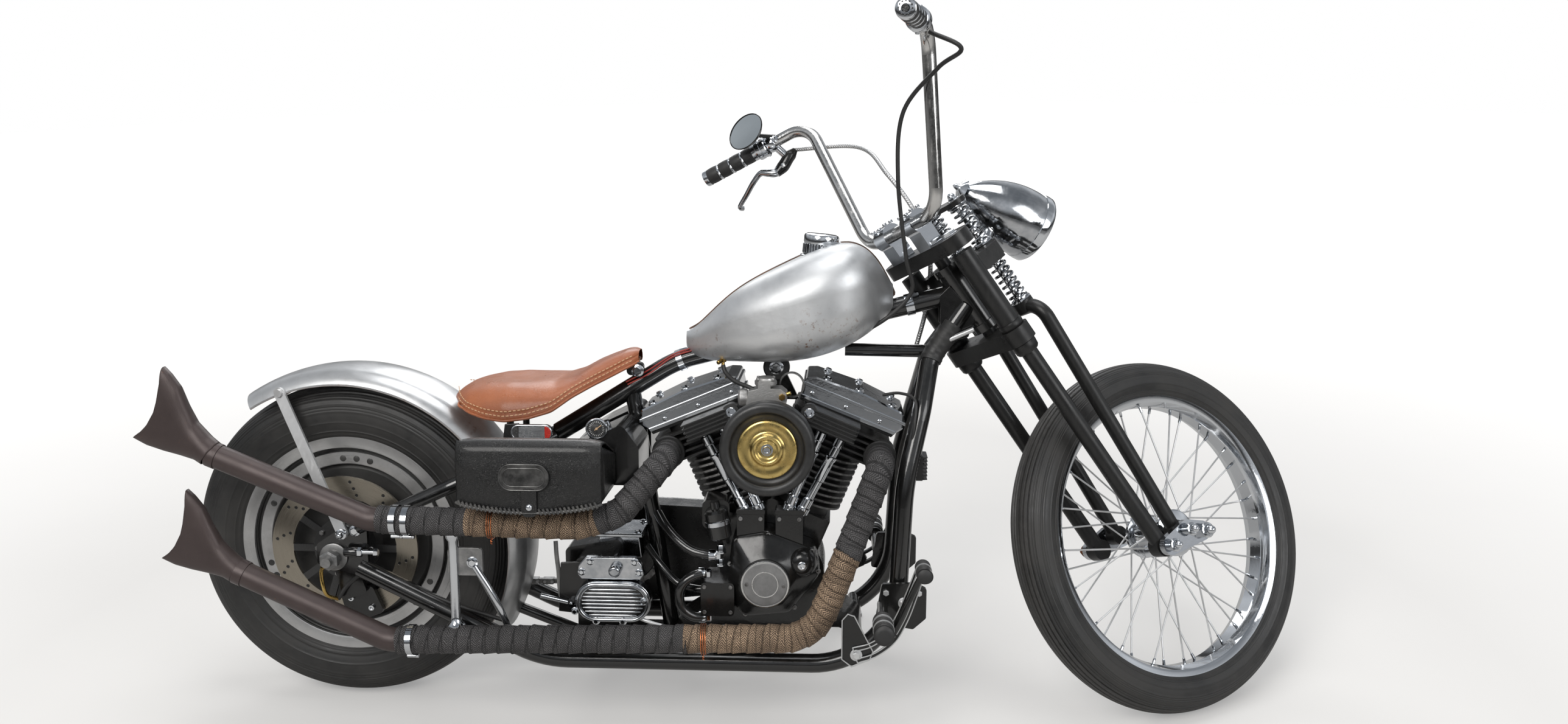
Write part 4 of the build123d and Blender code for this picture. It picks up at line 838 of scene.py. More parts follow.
def tan_leather():
    """Cognac saddle leather with a painted highlight on its top and painted shade on its sides, and fine
    creases.
    """
    made, place = begin("tan_saddle_leather")
    spot = upright_place(place)
    apart = split(spot)
    cloud = noise(spot, 13.0, 6, 0.65, 0.5)
    painted_top_highlight = near_spot(spot, (0.34, -0.03, 0.68), 0.2)
    hide = blend_colour(
        between(cloud, 0.35, 0.7, 0.0, 1.0), (0.27, 0.072, 0.022, 1), (0.37, 0.112, 0.038, 1))
    # Painted highlight: the top of the seat is made paler round one spot.
    hide = blend_colour(times(painted_top_highlight, 0.45), hide, (0.44, 0.155, 0.060, 1))
    # Painted shade: the sides darken towards the seat's widest edge.
    rim = between(maths("ABSOLUTE", apart[1]), 0.118, 0.134, 0.0, 0.5)
    hide = blend_colour(rim, hide, (0.13, 0.036, 0.013, 1))
    cells = add_node(
        "ShaderNodeTexVoronoi", {"feature": "DISTANCE_TO_EDGE"}, Vector=spot, Scale=620.0).outputs[0]
    creases = between(noise(spot, 75.0, 6, 0.75, 1.2), 0.44, 0.56, 0.0, 1.0)
    height = plus(times(between(cells, 0.0, 0.25, 0.0, 1.0), 0.5), times(creases, 0.5))
    return settle(
        made, Base_Color=hide, Roughness=polish_of(spot, 24.0, 0.27, 0.45), Normal=bumped(height, 0.0004),
        Coat_Weight=0.25, Coat_Roughness=0.22)


def black_leather():
    """Thick black harness leather, waxed, with scuffs along its folds."""
    made, place = begin("black_harness_leather")
    spot = upright_place(place)
    cells = add_node(
        "ShaderNodeTexVoronoi", {"feature": "DISTANCE_TO_EDGE"}, Vector=spot, Scale=480.0).outputs[0]
    creases = noise(spot, 55.0, 6, 0.7, 1.0)
    scuffs = between(noise(spot, 90.0, 6, 0.8, 0.6), 0.6, 0.75, 0.0, 0.5)
    dust = dust_on(spot, 0.12)
    hide = blend_colour(larger(times(scuffs, 0.4), dust), grey(0.007), grey(0.10, scuffed))
    height = plus(times(between(cells, 0.0, 0.22, 0.0, 1.0), 0.35), times(creases, 0.65))
    return settle(
        made, Base_Color=hide, Roughness=polish_of(spot, 18.0, 0.22, 0.42), Normal=bumped(height, 0.0006),
        Specular_IOR_Level=0.3, Coat_Weight=0.3, Coat_Roughness=0.18)


def woven_wrap(name, dark, light, sheen_metal):
    """Exhaust tape on a UV along and across it: herringbone threads, crossing picks and a shaded edge."""
    made, place = begin(name)
    cloth = own_uv(made)
    apart = split(cloth)
    wobble = times(noise(place, 70.0, 3), 0.009)
    fold = maths("ABSOLUTE", minus(maths("FRACT", times(apart[1], 1 / 0.0135)), 0.5))
    slant = plus(plus(apart[0], wobble), times(fold, 0.017))
    ribs = maths("PINGPONG", times(slant, 1 / 0.0024), 1.0)
    picks = maths("PINGPONG", times(plus(apart[1], times(wobble, 0.5)), 1 / 0.0021), 1.0)
    threads = times(maths("POWER", ribs, 1.4), plus(0.55, times(picks, 0.45)))
    edge = between(apart[1], 0.0, 0.0042, 0.25, 1.0)
    cloud = noise(place, 24.0, 5, 0.65)
    share = times(times(threads, edge), between(cloud, 0.3, 0.7, 0.4, 1.0))
    return settle(
        made, Base_Color=blend_colour(share, dark, light), Metallic=sheen_metal,
        Roughness=between(threads, 0, 1, 0.75, 0.42), Normal=bumped(threads, 0.0011))


def maroon_tail():
    """Satin maroon-brown heat paint of the tails, a touch greyer where it is hot."""
    made, place = begin("maroon_heat_paint")
    cloud = noise(place, 12.0, 5, 0.6)
    rust = use(rust_freckles, Place=place, Scale=150.0, Amount=0.35)
    paint = blend_colour(cloud, (0.040, 0.029, 0.028, 1), (0.076, 0.056, 0.053, 1))
    return settle(
        made, Base_Color=blend_colour(times(rust["Mask"], 0.5), paint, rust["Colour"]), Metallic=0.35,
        Roughness=polish_of(place, 15.0, 0.34, 0.46), Normal=toothed(place, 1100.0, 0.0002))


def road_rubber(name, sipes):
    """Tyre rubber: dusty walls, a scrubbed tread with short cuts across it, on the tyre's own UV."""
    made, place = begin(name)
    apart = split(own_uv(made))
    tread = times(between(apart[1], 0.30, 0.36, 0.0, 1.0), between(apart[1], 0.64, 0.70, 1.0, 0.0))
    scrub = noise(place, 70.0, 5, 0.7)
    dust = between(noise(place, 9.0, 6, 0.7), 0.38, 0.68, 0.05, 0.7)
    base = blend_colour(times(dust, 0.35), grey(0.012), grey(0.085, oily))
    base = blend_colour(times(tread, between(scrub, 0.3, 0.7, 0.1, 0.45)), base, grey(0.07, scuffed))
    slots = maths("FRACT", plus(times(apart[0], sipes), times(apart[1], 14.0)))
    cut = times(maths("LESS_THAN", slots, 0.10), tread)
    height = minus(times(scrub, 0.25), cut)
    return settle(
        made, Base_Color=base, Roughness=between(dust, 0.05, 0.7, 0.40, 0.68),
        Normal=bumped(height, 0.0009))


def grip_rubber():
    """Black rubber of grips, pegs and hoses, slightly shiny where hands rub it."""
    made, place = begin("hand_rubber")
    dust = dust_on(place, 0.3)
    return settle(
        made, Base_Color=blend_colour(dust, grey(0.014), grey(0.10, scuffed)),
        Roughness=polish_of(place, 30.0, 0.4, 0.62), Normal=toothed(place, 900.0, 0.0002))


def braided_steel():
    """A cable's braided steel jacket, crossed bands on the cable's own UV."""
    made, place = begin("braided_steel_jacket")
    cloth = own_uv(made)
    one = add_node(
        "ShaderNodeTexWave", {"bands_direction": "DIAGONAL"}, Vector=cloth, Scale=120.0).outputs[1]
    mirrored = add_node("ShaderNodeMapping", None, Vector=cloth, Scale=(1.0, -1.0, 1.0)).outputs[0]
    two = add_node(
        "ShaderNodeTexWave", {"bands_direction": "DIAGONAL"}, Vector=mirrored, Scale=120.0).outputs[1]
    braid = larger(one, two)
    return settle(
        made, Base_Color=blend_colour(braid, grey(0.18), grey(0.62)), Metallic=0.9,
        Roughness=polish_of(place, 40.0, 0.26, 0.42), Normal=bumped(braid, 0.0005))


def mirror_glass():
    """Silvered glass with a faint blue tint and a film of dust."""
    made, place = begin("silvered_glass")
    film = between(noise(place, 60.0, 5, 0.7), 0.45, 0.75, 0.02, 0.10)
    return settle(
        made, Base_Color=blend_colour(film, grey(0.80, (0.92, 0.98, 1.0)), grey(0.5)), Metallic=1.0,
        Roughness=film)


def lamp_glass():
    """Clear pressed lamp glass."""
    made, place = begin("pressed_lamp_glass")
    smear = noise(place, 90.0, 3)
    return settle(
        made, Base_Color=blend_colour(smear, grey(0.92), grey(0.98)),
        Roughness=between(smear, 0.3, 0.7, 0.02, 0.07), Transmission_Weight=1.0, IOR=1.47)


def red_lens():
    """The small marker lamp's red plastic lens with pressed rings."""
    made, place = begin("red_lamp_lens")
    cells = add_node("ShaderNodeTexVoronoi", {"feature": "F1"}, Vector=place, Scale=420.0).outputs[0]
    return settle(
        made, Base_Color=blend_colour(cells, (0.34, 0.008, 0.006, 1), (0.55, 0.03, 0.015, 1)),
        Roughness=between(noise(place, 80.0), 0.3, 0.7, 0.08, 0.2), Normal=bumped(cells, 0.0006),
        Coat_Weight=0.6)


def galvanised_strut():
    """Dull silver strips: cloudy zinc with scratches along them."""
    made, place = begin("zinc_strip")
    cloud = noise(place, 30.0, 5, 0.6)
    lines = scratched(place, (220.0, 220.0, 12.0))
    return settle(
        made, Base_Color=blend_colour(cloud, grey(0.50), grey(0.70, steely)), Metallic=0.7,
        Roughness=between(lines, 0.0, 1.0, 0.34, 0.48), Normal=bumped(lines, 0.00005))


def oiled_steel():
    """Chain and bolts: dark oiled steel with grime."""
    made, place = begin("oiled_steel")
    grime = between(noise(place, 55.0, 5, 0.7), 0.4, 0.66, 0.1, 0.9)
    return settle(
        made, Base_Color=blend_colour(grime, grey(0.36), grey(0.035, (1.0, 0.85, 0.7))), Metallic=0.9,
        Roughness=between(grime, 0.1, 0.9, 0.28, 0.5), Normal=toothed(place, 600.0, 0.0002))


def rusty_iron():
    """Iron gone brown, scaly and matt."""
    made, place = begin("rusty_iron")
    scale = noise(place, 140.0, 6, 0.7)
    return settle(
        made, Base_Color=blend_colour(between(scale, 0.35, 0.65, 0.0, 1.0), (0.10, 0.035, 0.014, 1),
            (0.34, 0.12, 0.04, 1)), Roughness=between(scale, 0.3, 0.7, 0.7, 0.9),
        Normal=bumped(scale, 0.0008))


def copper_wire():
    """Bright copper tie wire."""
    made, place = begin("copper_tie_wire")
    heat = noise(place, 80.0, 4)
    return settle(
        made, Base_Color=blend_colour(heat, (0.75, 0.28, 0.12, 1), (0.55, 0.16, 0.06, 1)), Metallic=1.0,
        Roughness=between(heat, 0.3, 0.7, 0.2, 0.4))


def pale_thread():
    """Waxed cream thread."""
    made, place = begin("waxed_thread")
    twist = noise(place, 900.0, 2)
    return settle(
        made, Base_Color=blend_colour(twist, (0.50, 0.30, 0.16, 1), (0.68, 0.47, 0.28, 1)),
        Roughness=between(twist, 0, 1, 0.55, 0.75), Normal=bumped(twist, 0.0003))


def dial_face():
    """The oil gauge's dark dial with pale ticks round its edge."""
    made, place = begin("gauge_dial")
    spot = seen_from_right(place, gauge_centre)
    around = use(round_axis, Place=spot)
    ticks = maths("LESS_THAN", maths("FRACT", times(around["Angle"], 24 / (2 * pi))), 0.22)
    ring = times(
        maths("GREATER_THAN", around["Radius"], 0.0115), maths("LESS_THAN", around["Radius"], 0.0145))
    film = noise(place, 200.0, 3)
    face = blend_colour(film, grey(0.02), grey(0.05))
    return settle(
        made, Base_Color=blend_colour(times(ticks, ring), face, grey(0.65)),
        Roughness=between(film, 0.3, 0.7, 0.2, 0.35), Coat_Weight=1.0)


def plain_coat(name, first, second, rough, metal=0.0, tooth=300.0, coat=0.0):
    """A clouded coat between two colours, with uneven polish and a fine tooth."""
    made, place = begin(name)
    cloud = noise(place, 35.0, 5, 0.65)
    return settle(
        made, Base_Color=blend_colour(between(cloud, 0.35, 0.65, 0.0, 1.0), first, second),
        Metallic=metal, Coat_Weight=coat, Roughness=polish_of(place, 30.0, rough - 0.07, rough + 0.09),
        Normal=toothed(place, tooth, 0.0002))


def primary_metal():
    """The primary cover: polished outside, black paint on its inner side."""
    made, place = begin("primary_cover_alloy")
    side = split(upright_place(place))[1]
    outside = between(side, 0.158, 0.162, 0.0, 1.0)
    cloud = noise(place, 26.0, 4)
    metal = blend_colour(cloud, grey(0.50, warm), grey(0.68, (1.0, 1.0, 0.99)))
    return settle(
        made, Base_Color=blend_colour(outside, grey(0.010), metal), Metallic=outside,
        Roughness=polish_of(place, 16.0, 0.18, 0.36), Normal=toothed(place, 500.0, 0.00015))


gauge_centre = (520.0, -142.0, 584.0)
cleaner_middle = (844.0, -206.0, 561.0)
enamel = gloss_black_enamel()
fork_black = satin_black_fork()
tank_steel = bare_steel_tank()
fender_steel = bare_steel_fender()
chrome = bright_chrome()
bar_chrome = handled_chrome()
alloy = polished_alloy()
sand_alloy = cast_alloy()
case_black = black_case_paint()
fin_black = black_fins()
wheel_silver = brushed_wheel()
wheel_dark = dark_wheel()
rotor_steel = drilled_rotor()
brass = aged_brass()
tan_hide = tan_leather()
black_hide = black_leather()
charcoal_wrap = woven_wrap("charcoal_wrap", grey(0.004), grey(0.19, (1.0, 0.95, 0.96)), 0.0)
copper_wrap = woven_wrap("copper_gold_wrap", (0.020, 0.011, 0.008, 1), (0.92, 0.66, 0.44, 1), 0.35)
tail_paint = maroon_tail()
rear_rubber = road_rubber("rear_tyre_rubber", 46.0)
front_rubber = road_rubber("front_tyre_rubber", 60.0)
rubber = grip_rubber()
braid = braided_steel()
silvered = mirror_glass()
clear_glass = lamp_glass()
red_plastic = red_lens()
zinc = galvanised_strut()
oiled = oiled_steel()
rust = rusty_iron()
copper = copper_wire()
thread = pale_thread()
dial = dial_face()
primary_alloy = primary_metal()
satin_disc = plain_coat("points_cover_satin", grey(0.22), grey(0.30), 0.38, 0.75, 700.0)
seam_brown = plain_coat("browned_seam", (0.045, 0.022, 0.013, 1), (0.12, 0.06, 0.035, 1), 0.5, 0.2, 500.0)
brass_fitting = plain_coat(
    "brass_fitting", (0.62, 0.44, 0.14, 1), (0.36, 0.22, 0.07, 1), 0.25, 1.0, 400.0)
gloss_hose = plain_coat("gloss_black_hose", grey(0.006), grey(0.02), 0.17, 0.0, 200.0, 0.4)
pale_hose = plain_coat("grey_hose", grey(0.16), grey(0.28, sunny), 0.45, 0.0, 500.0)
cleaner_black = plain_coat("air_cleaner_satin", grey(0.012), grey(0.024), 0.36, 0.0, 600.0)
lamp_bowl = plain_coat("lamp_bowl", grey(0.80), grey(0.62, (1.0, 0.86, 0.80)), 0.12, 1.0, 60.0)
red_wire = plain_coat("red_wire_sleeve", (0.22, 0.012, 0.008, 1), (0.32, 0.03, 0.018, 1), 0.5, 0.0, 500.0)
lace_hide = plain_coat("bag_lace_hide", grey(0.035), grey(0.075, dusty), 0.42, 0.0, 500.0)
pewter = plain_coat("dark_pewter", grey(0.035), grey(0.13, warm), 0.42, 0.85, 220.0)
hanger_satin = plain_coat("hanger_satin_steel", grey(0.20), grey(0.34, warm), 0.42, 0.9, 500.0)
box_chrome = plain_coat(
    "gearbox_chrome", grey(0.36, (0.95, 1.0, 1.06)), grey(0.52, (0.98, 1.0, 1.03)), 0.12, 1.0, 60.0)

# Each finish's usual slot in the record
slot_finishes = {
    "bright_chrome": (chrome, box_chrome, alloy, brass, brass_fitting, copper, dial, clear_glass, lamp_bowl,
                      red_plastic, silvered, rust),
    "black_enamel": (enamel, case_black, cleaner_black, fork_black),
    "brushed_steel": (oiled, zinc, braid, hanger_satin),
    "cast_alloy": (sand_alloy, wheel_silver, wheel_dark, pewter),
    "rubber": (rubber, gloss_hose, pale_hose, red_wire),
    "exhaust_wrap": (charcoal_wrap, copper_wrap, tail_paint),
    "black_leather": (black_hide, lace_hide),
    "tan_leather": (tan_hide, thread),
    "tyre": (rear_rubber, front_rubber),
    "cast_iron": (fin_black,),
    "silver_paint": (seam_brown,),
}
usual_slots = {finish.name: slot for slot, finishes in slot_finishes.items() for finish in finishes}
node_finishes = {
    "air_cleaner": case_black, "axle_plates": enamel, "backbone": enamel, "bar_clamps": chrome,
    "barrels": fin_black, "cam_cover": case_black, "carburettor": sand_alloy, "clutch_lever": chrome,
    "crankcase": case_black, "cross_members": enamel, "cylinder_heads": fin_black,
    "downtube_left": enamel, "downtube_right": enamel, "drive_chain": oiled, "engine_mount": enamel,
    "exhaust_hanger": chrome, "fender_mount": enamel, "fender_struts": zinc, "foot_controls": case_black,
    "fork_trees": fork_black, "frame_neck": enamel, "front_legs": fork_black, "front_tyre": front_rubber,
    "front_wheel": chrome, "fuel_cap": chrome, "fuel_tank": tank_steel, "gearbox": case_black,
    "gearbox_cover": chrome, "grips": rubber, "handlebar": bar_chrome, "headlamp": box_chrome,
    "lifter_blocks": case_black, "lower_exhaust": tail_paint, "mirror": chrome, "oil_cap": chrome,
    "oil_tank": enamel, "points_cover": satin_disc, "primary_cover": primary_alloy,
    "pushrod_tubes": chrome, "rear_axle": hanger_satin, "rear_caliper": case_black,
    "rear_fender": fender_steel, "rear_legs": fork_black, "rear_rotor": rotor_steel,
    "rear_sprocket": oiled, "rear_stays": enamel, "rear_tyre": rear_rubber, "rear_wheel": wheel_dark,
    "rocker_covers": chrome, "rockers": chrome, "seat": tan_hide, "seat_mount": enamel,
    "seat_post": enamel, "side_stand": enamel, "spring_perch": fork_black, "springs": box_chrome,
    "stand_bracket": enamel, "tool_bag": black_hide, "upper_exhaust": tail_paint}
for name, node in nodes.items():
    for place in range(len(node.data.materials)):
        node.data.materials[place] = node_finishes[name]
    if not len(node.data.materials):
        node.data.materials.append(node_finishes[name])


# Wheels
def arc_through(start, middle, end, count):
    """Points on the circle through three places of a plane."""
    (ax, ay), (bx, by), (cx, cy) = start, middle, end
    d = 2 * (ax * (by - cy) + bx * (cy - ay) + cx * (ay - by))
    ux = ((ax**2 + ay**2) * (by - cy) + (bx**2 + by**2) * (cy - ay) + (cx**2 + cy**2) * (ay - by)) / d
    uy = ((ax**2 + ay**2) * (cx - bx) + (bx**2 + by**2) * (ax - cx) + (cx**2 + cy**2) * (bx - ax)) / d
    angles = np.unwrap([atan2(ay - uy, ax - ux), atan2(by - uy, bx - ux), atan2(cy - uy, cx - ux)])
    t = np.linspace(angles[0], angles[2], count)
    radius = np.hypot(ax - ux, ay - uy)
    return np.stack([ux + radius * np.cos(t), uy + radius * np.sin(t)], axis=1)


def tyre_surface(axle, radius, width, crown, rim_radius, rim_width, grooves, wall_lines):
    """The tyre's section turned about its axle, with a grooved tread and fine lines on its walls."""
    lip = rim_width / 2 - 1
    shoulder = radians(50)
    edge = (crown * sin(shoulder), radius - crown + crown * cos(shoulder))
    tread = arc_through((-edge[0], edge[1]), (0, radius), edge, 90)
    wall = arc_through(edge, (width / 2, (rim_radius + radius) / 2), (lip, rim_radius - 6), 44)[1:]
    cut = np.zeros(len(tread))
    for place, half, depth in grooves:
        cut = np.maximum(cut, depth * np.clip(1.6 - np.abs(tread[:, 0] - place) / half, 0, 1))
    outwards = np.stack([tread[:, 0] / crown, (tread[:, 1] - radius + crown) / crown], axis=1)
    tread = tread - outwards * cut[:, None]
    rise = np.zeros(len(wall))
    for share, depth in wall_lines:
        rise += depth * np.exp(-((np.linspace(0, 1, len(wall)) - share) / 0.018) ** 2)
    wall = wall + np.stack([rise, rise * 0.3], axis=1)
    foot = [(lip - 4, rim_radius - 8), (4 - lip, rim_radius - 8)]
    section = np.concatenate([wall[::-1] * np.array([-1, 1]), tread, wall, foot])
    turn = np.linspace(0, 2 * pi, 220, endpoint=False)[:, None]
    across = np.broadcast_to(section[:, 0], (220, len(section)))
    points = np.stack([section[:, 1] * np.cos(turn), across, section[:, 1] * np.sin(turn)], axis=2) + axle
    return grid(points, wrap_u=True, wrap_v=True, size=(2 * pi * radius / 1000, 1.0))


def tyres():
    """Both tyres: a ribbed front tread, and a rear one with broad ribs and shoulder lines."""
    rear_grooves = [(s, 1.6, 4.5) for s in (-38, -19, 0, 19, 38)]
    rear_grooves += [(s, 1.0, 2.2) for s in (-57, -51.5, -46, 46, 51.5, 57)]
    front_grooves = [(s, 1.1, 3.2) for s in (-27, -18, -9, 0, 9, 18, 27)]
    front_grooves += [(s, 0.6, 1.2) for s in (-36, -32.5, 32.5, 36)]
    lines = [(0.06, 1.0), (0.12, 1.0), (0.18, 1.0), (0.25, 1.2), (0.52, 0.8), (0.76, 1.6), (0.87, 1.4)]
    rear = tyre_surface(rear_axle, rear_radius, 130, 78, 221, 100, rear_grooves, lines)
    front = tyre_surface(front_axle, front_radius, 90, 50, 281, 70, front_grooves, lines)
    piece("rear_tyre_tread", [rear], rear_rubber, "rear_wheel_body", stands_for=("rear_tyre",), smooth=30)
    piece(
        "front_tyre_tread", [front], front_rubber, "front_wheel_body", stands_for=("front_tyre",),
        smooth=30)


def front_wheel_pieces():
    """Rim section and hub section turned about the axle, and forty laced spokes with their nipples."""
    side = np.array([0.0, 1.0, 0.0])
    rim = [
        (-35, 281.5), (-31.5, 281.5), (-31, 270), (-16, 264), (16, 264), (31, 270), (31.5, 281.5),
        (35, 281.5), (36.2, 278), (34.5, 269), (31.5, 264.5), (20, 260.5), (14, 257), (-14, 257),
        (-20, 260.5), (-31.5, 264.5), (-34.5, 269), (-36.2, 278), (-35, 281.5)]
    hub = [
        (-52, 12), (-52, 24), (-49.5, 26.5), (-48, 43), (-46.5, 46), (-42, 46), (-40.5, 43), (-39, 30),
        (-30, 25.5), (0, 24.5), (30, 25.5), (39, 30), (40.5, 43), (42, 46), (46.5, 46), (48, 43),
        (49.5, 26.5), (52, 24), (52, 12)]
    parts = [spun(rim, front_axle, side, 192), spun(hub, front_axle, side, 96)]
    for way in (-1, 1):
        parts.append(
            spun([(way * 52, 9.6), (way * 52, 18), (way * 50, 22), (way * 49, 22)], front_axle, side, 48))
    piece("front_rim_and_hub", parts, chrome, "front_wheel_body", stands_for=("front_wheel",), smooth=28)
    wires, nipples = [], []
    for spoke in range(40):
        flange = 44.0 * (1 if spoke % 2 else -1)
        at_rim = 2 * pi * (spoke + 0.5) / 40
        at_hub = at_rim + radians(38) * (1 if spoke % 4 < 2 else -1)
        hub_end = front_axle + np.array([42 * cos(at_hub), flange, 42 * sin(at_hub)])
        rim_end = front_axle + np.array([262 * cos(at_rim), flange * 0.15, 262 * sin(at_rim)])
        way = unit(rim_end - hub_end)
        wires.append(rod(hub_end - way * 3, rim_end, 1.75, 8, 0.4))
        nipples.append(
            spun([(-15, 1.8), (-14, 2.7), (-4, 3.0), (-3, 3.4), (0, 3.4), (1, 0)], rim_end - way * 2, way,
                8))
    piece("front_spokes", wires, zinc, "front_wheel_body")
    piece("spoke_nipples", nipples, chrome, "front_wheel_body")


def rear_wheel_pieces():
    """Stepped wheel section with a bright lip, a dark recess, a drilled ring whose holes are dark discs of
    painted shade, and a dark centre.
    """
    side = np.array([0.0, 1.0, 0.0])
    lips, rings, centre = [], [], []
    for way in (-1, 1):
        lips.append(
            spun([(way * 44, 221), (way * 50, 222), (way * 52, 220), (way * 52, 200), (way * 51, 197),
                (way * 46, 196), (way * 44, 200)], rear_axle, side, 160))
        rings.append(
            spun([(way * 30, 187), (way * 44, 187), (way * 45, 186), (way * 45, 164), (way * 44, 162.5),
                (way * 30, 160)], rear_axle, side, 160))
        centre.append(
            spun([(way * 40, 199), (way * 33, 196), (way * 30, 188), (way * 30, 160), (way * 36, 152),
                (way * 36, 60), (way * 60, 44), (way * 74, 34), (way * 74, 12)], rear_axle, side, 120))
    tunnel = [(-44, 221), (-44, 206), (-20, 200), (20, 200), (44, 206), (44, 221)]
    hole_shades, buttons = [], []
    for group in range(6):
        for step in (-9, 0, 9):
            turn = radians(group * 60 + step + 24)
            for way in (-1, 1):
                spot = rear_axle + np.array([174 * cos(turn), way * 45.2, 174 * sin(turn)])
                # Painted shade: each hole in the ring is a thin dark disc laid on the ring's face.
                hole_shades.append(
                    spun([(0.4, 0), (0.4, 5.6), (0.0, 6.4), (-0.6, 6.4), (-0.6, 0)], spot, (0, way, 0),
                        20))
    for turn in np.linspace(0, 2 * pi, 10, endpoint=False):
        buttons += bolt(rear_axle + np.array([54 * cos(turn), -81.8, 54 * sin(turn)]), to_right, 5.5, 5)
    piece("rear_wheel_lips", lips, wheel_silver, "rear_wheel_body", stands_for=("rear_wheel",), smooth=28)
    piece("drilled_wheel_rings", rings, wheel_silver, "rear_wheel_body", smooth=28)
    piece("wheel_ring_hole_shades", hole_shades, wheel_dark, "rear_wheel_body")
    piece(
        "rear_wheel_centre", centre + [spun(tunnel, rear_axle, side, 120)], wheel_dark, "rear_wheel_body",
        smooth=28, thick=2.0)
    piece("rotor_bolts", buttons, oiled, "rear_wheel_body")


# Exhausts: the corners and bends of each route are the part's own
exhaust_side = -212.0
rear_port = on_cylinder(-1, 312, 84)
front_port = on_cylinder(1, 312, 96)
upper_route = [
    rear_port + (0, -96, 0), rear_port + (0, -168, 0), (572, exhaust_side, 440), (500, exhaust_side, 416),
    (104, exhaust_side, 422), (-188, exhaust_side, 543)]
lower_route = [
    front_port + (0, -96, 0), front_port + (0, -164, 0), (988, exhaust_side, 356),
    (930, exhaust_side, 206), (130, exhaust_side, 187), (-152, exhaust_side, 317)]
path_step = 2.0
upper_path = routed(upper_route, [34, 60, 130, 60], path_step)
lower_path = routed(lower_route, [36, 120, 84, 60], path_step)

# The tape's width in mm, and its length for one turn of the pipe in metres
tape_width = 27.0
turn_length = 0.165


def wrapped(path, start, end, phase=0.0):
    """Overlapping turns of tape on a pipe: radius = 25 + 2 x the share of a turn, plus a raised edge."""
    part = path[start:end + 1]
    sides = 60
    run = np.arange(start, end + 1) * path_step
    turn = np.linspace(0, 1, sides, endpoint=False)
    wander = 0.04 * np.sin(2 * pi * turn[None] * 2 + run[:, None] / 40)
    share = np.mod(run[:, None] / tape_width + turn[None] + phase + wander, 1)
    raised_edge = 0.7 * np.exp(-((share - 0.93) / 0.06) ** 2)
    radius = 25.0 + 2.0 * share + raised_edge + 0.35 * np.sin(run[:, None] / 9 + 5 * turn[None])
    places, faces, _ = tube(part, radius, sides)
    across = tape_width / 1000 * np.vstack([share[:1], share, share[-1:]]).ravel()
    whole_turns = np.floor(np.repeat(np.arange(len(part) + 2), sides) * path_step / tape_width)
    along = np.tile(turn_length * turn, len(part) + 2) + turn_length * whole_turns
    return places, faces, np.stack([along[faces], across[faces]], axis=2)


def spot_at(path, ahead, after=0):
    """Index of the first point of a path, past a start, that lies behind a place."""
    return after + int(np.argmax(path[after:, 0] < ahead))


def band(path, place, radius, half):
    """A flat strap round a pipe at one point of its path."""
    way = path[place + 1] - path[place - 1]
    return spun(
        [(-half, radius - 1.5), (-half, radius), (half, radius), (half, radius - 1.5)], path[place], way)


def exhaust_wraps():
    """Wraps, clamps and ties of both pipes; gives the point of each path where its bare tail starts."""
    up = [0, spot_at(upper_path, 535, 60), spot_at(upper_path, 296, 60), spot_at(upper_path, 124, 60)]
    low = [0, spot_at(lower_path, 992, 40), spot_at(lower_path, 697, 40), spot_at(lower_path, 150, 40)]
    piece(
        "upper_charcoal_wrap", [wrapped(upper_path, up[0], up[1]), wrapped(upper_path, up[2], up[3])],
        charcoal_wrap, stands_for=("upper_exhaust",), smooth=60)
    piece("upper_copper_wrap", [wrapped(upper_path, up[1] - 3, up[2] + 3, 0.3)], copper_wrap, smooth=60)
    piece(
        "lower_charcoal_wrap", [wrapped(lower_path, low[0], low[1]), wrapped(lower_path, low[2], low[3])],
        charcoal_wrap, stands_for=("lower_exhaust",), smooth=60)
    piece("lower_copper_wrap", [wrapped(lower_path, low[1] - 3, low[2] + 3, 0.3)], copper_wrap, smooth=60)
    straps, ties = [], []
    for path, places in ((upper_path, (156, 178)), (lower_path, (176,))):
        for ahead in places:
            at = spot_at(path, ahead, 60)
            straps.append(band(path, at, 28.6, 5.5))
            straps.append(rod(path[at] + (-9, -4, -30), path[at] + (9, -4, -30), 4.0, 12))
            straps += bolt(path[at] + (9, -4, -30), (1, 0, 0), 4.6, 4)
    for path, ahead in ((upper_path, 336), (lower_path, 728)):
        at = spot_at(path, ahead, 60)
        for step in (-2, 0, 2):
            way, first, second = square_to(path[at + 1] - path[at - 1])
            turn = np.linspace(0, 2 * pi, 49)[:, None]
            ring = np.cos(turn) * first + np.sin(turn) * second
            loop = path[at + step] + 28.2 * ring + way * np.sin(turn) * 1.5
            ties.append(tube(loop, 0.9, 8))
        turn = np.linspace(0, 12, 40)
        coil = np.stack([1.6 * np.cos(turn), 1.6 * np.sin(turn), -0.75 * turn], axis=1)
        twist = path[at] + np.array([0, -6, -29]) + coil
        ties.append(tube(twist, 0.9, 8))
    piece("wrap_clamps", straps, chrome)
    piece("wrap_wire_ties", ties, copper)
    return up[3] - 4, low[3] - 4


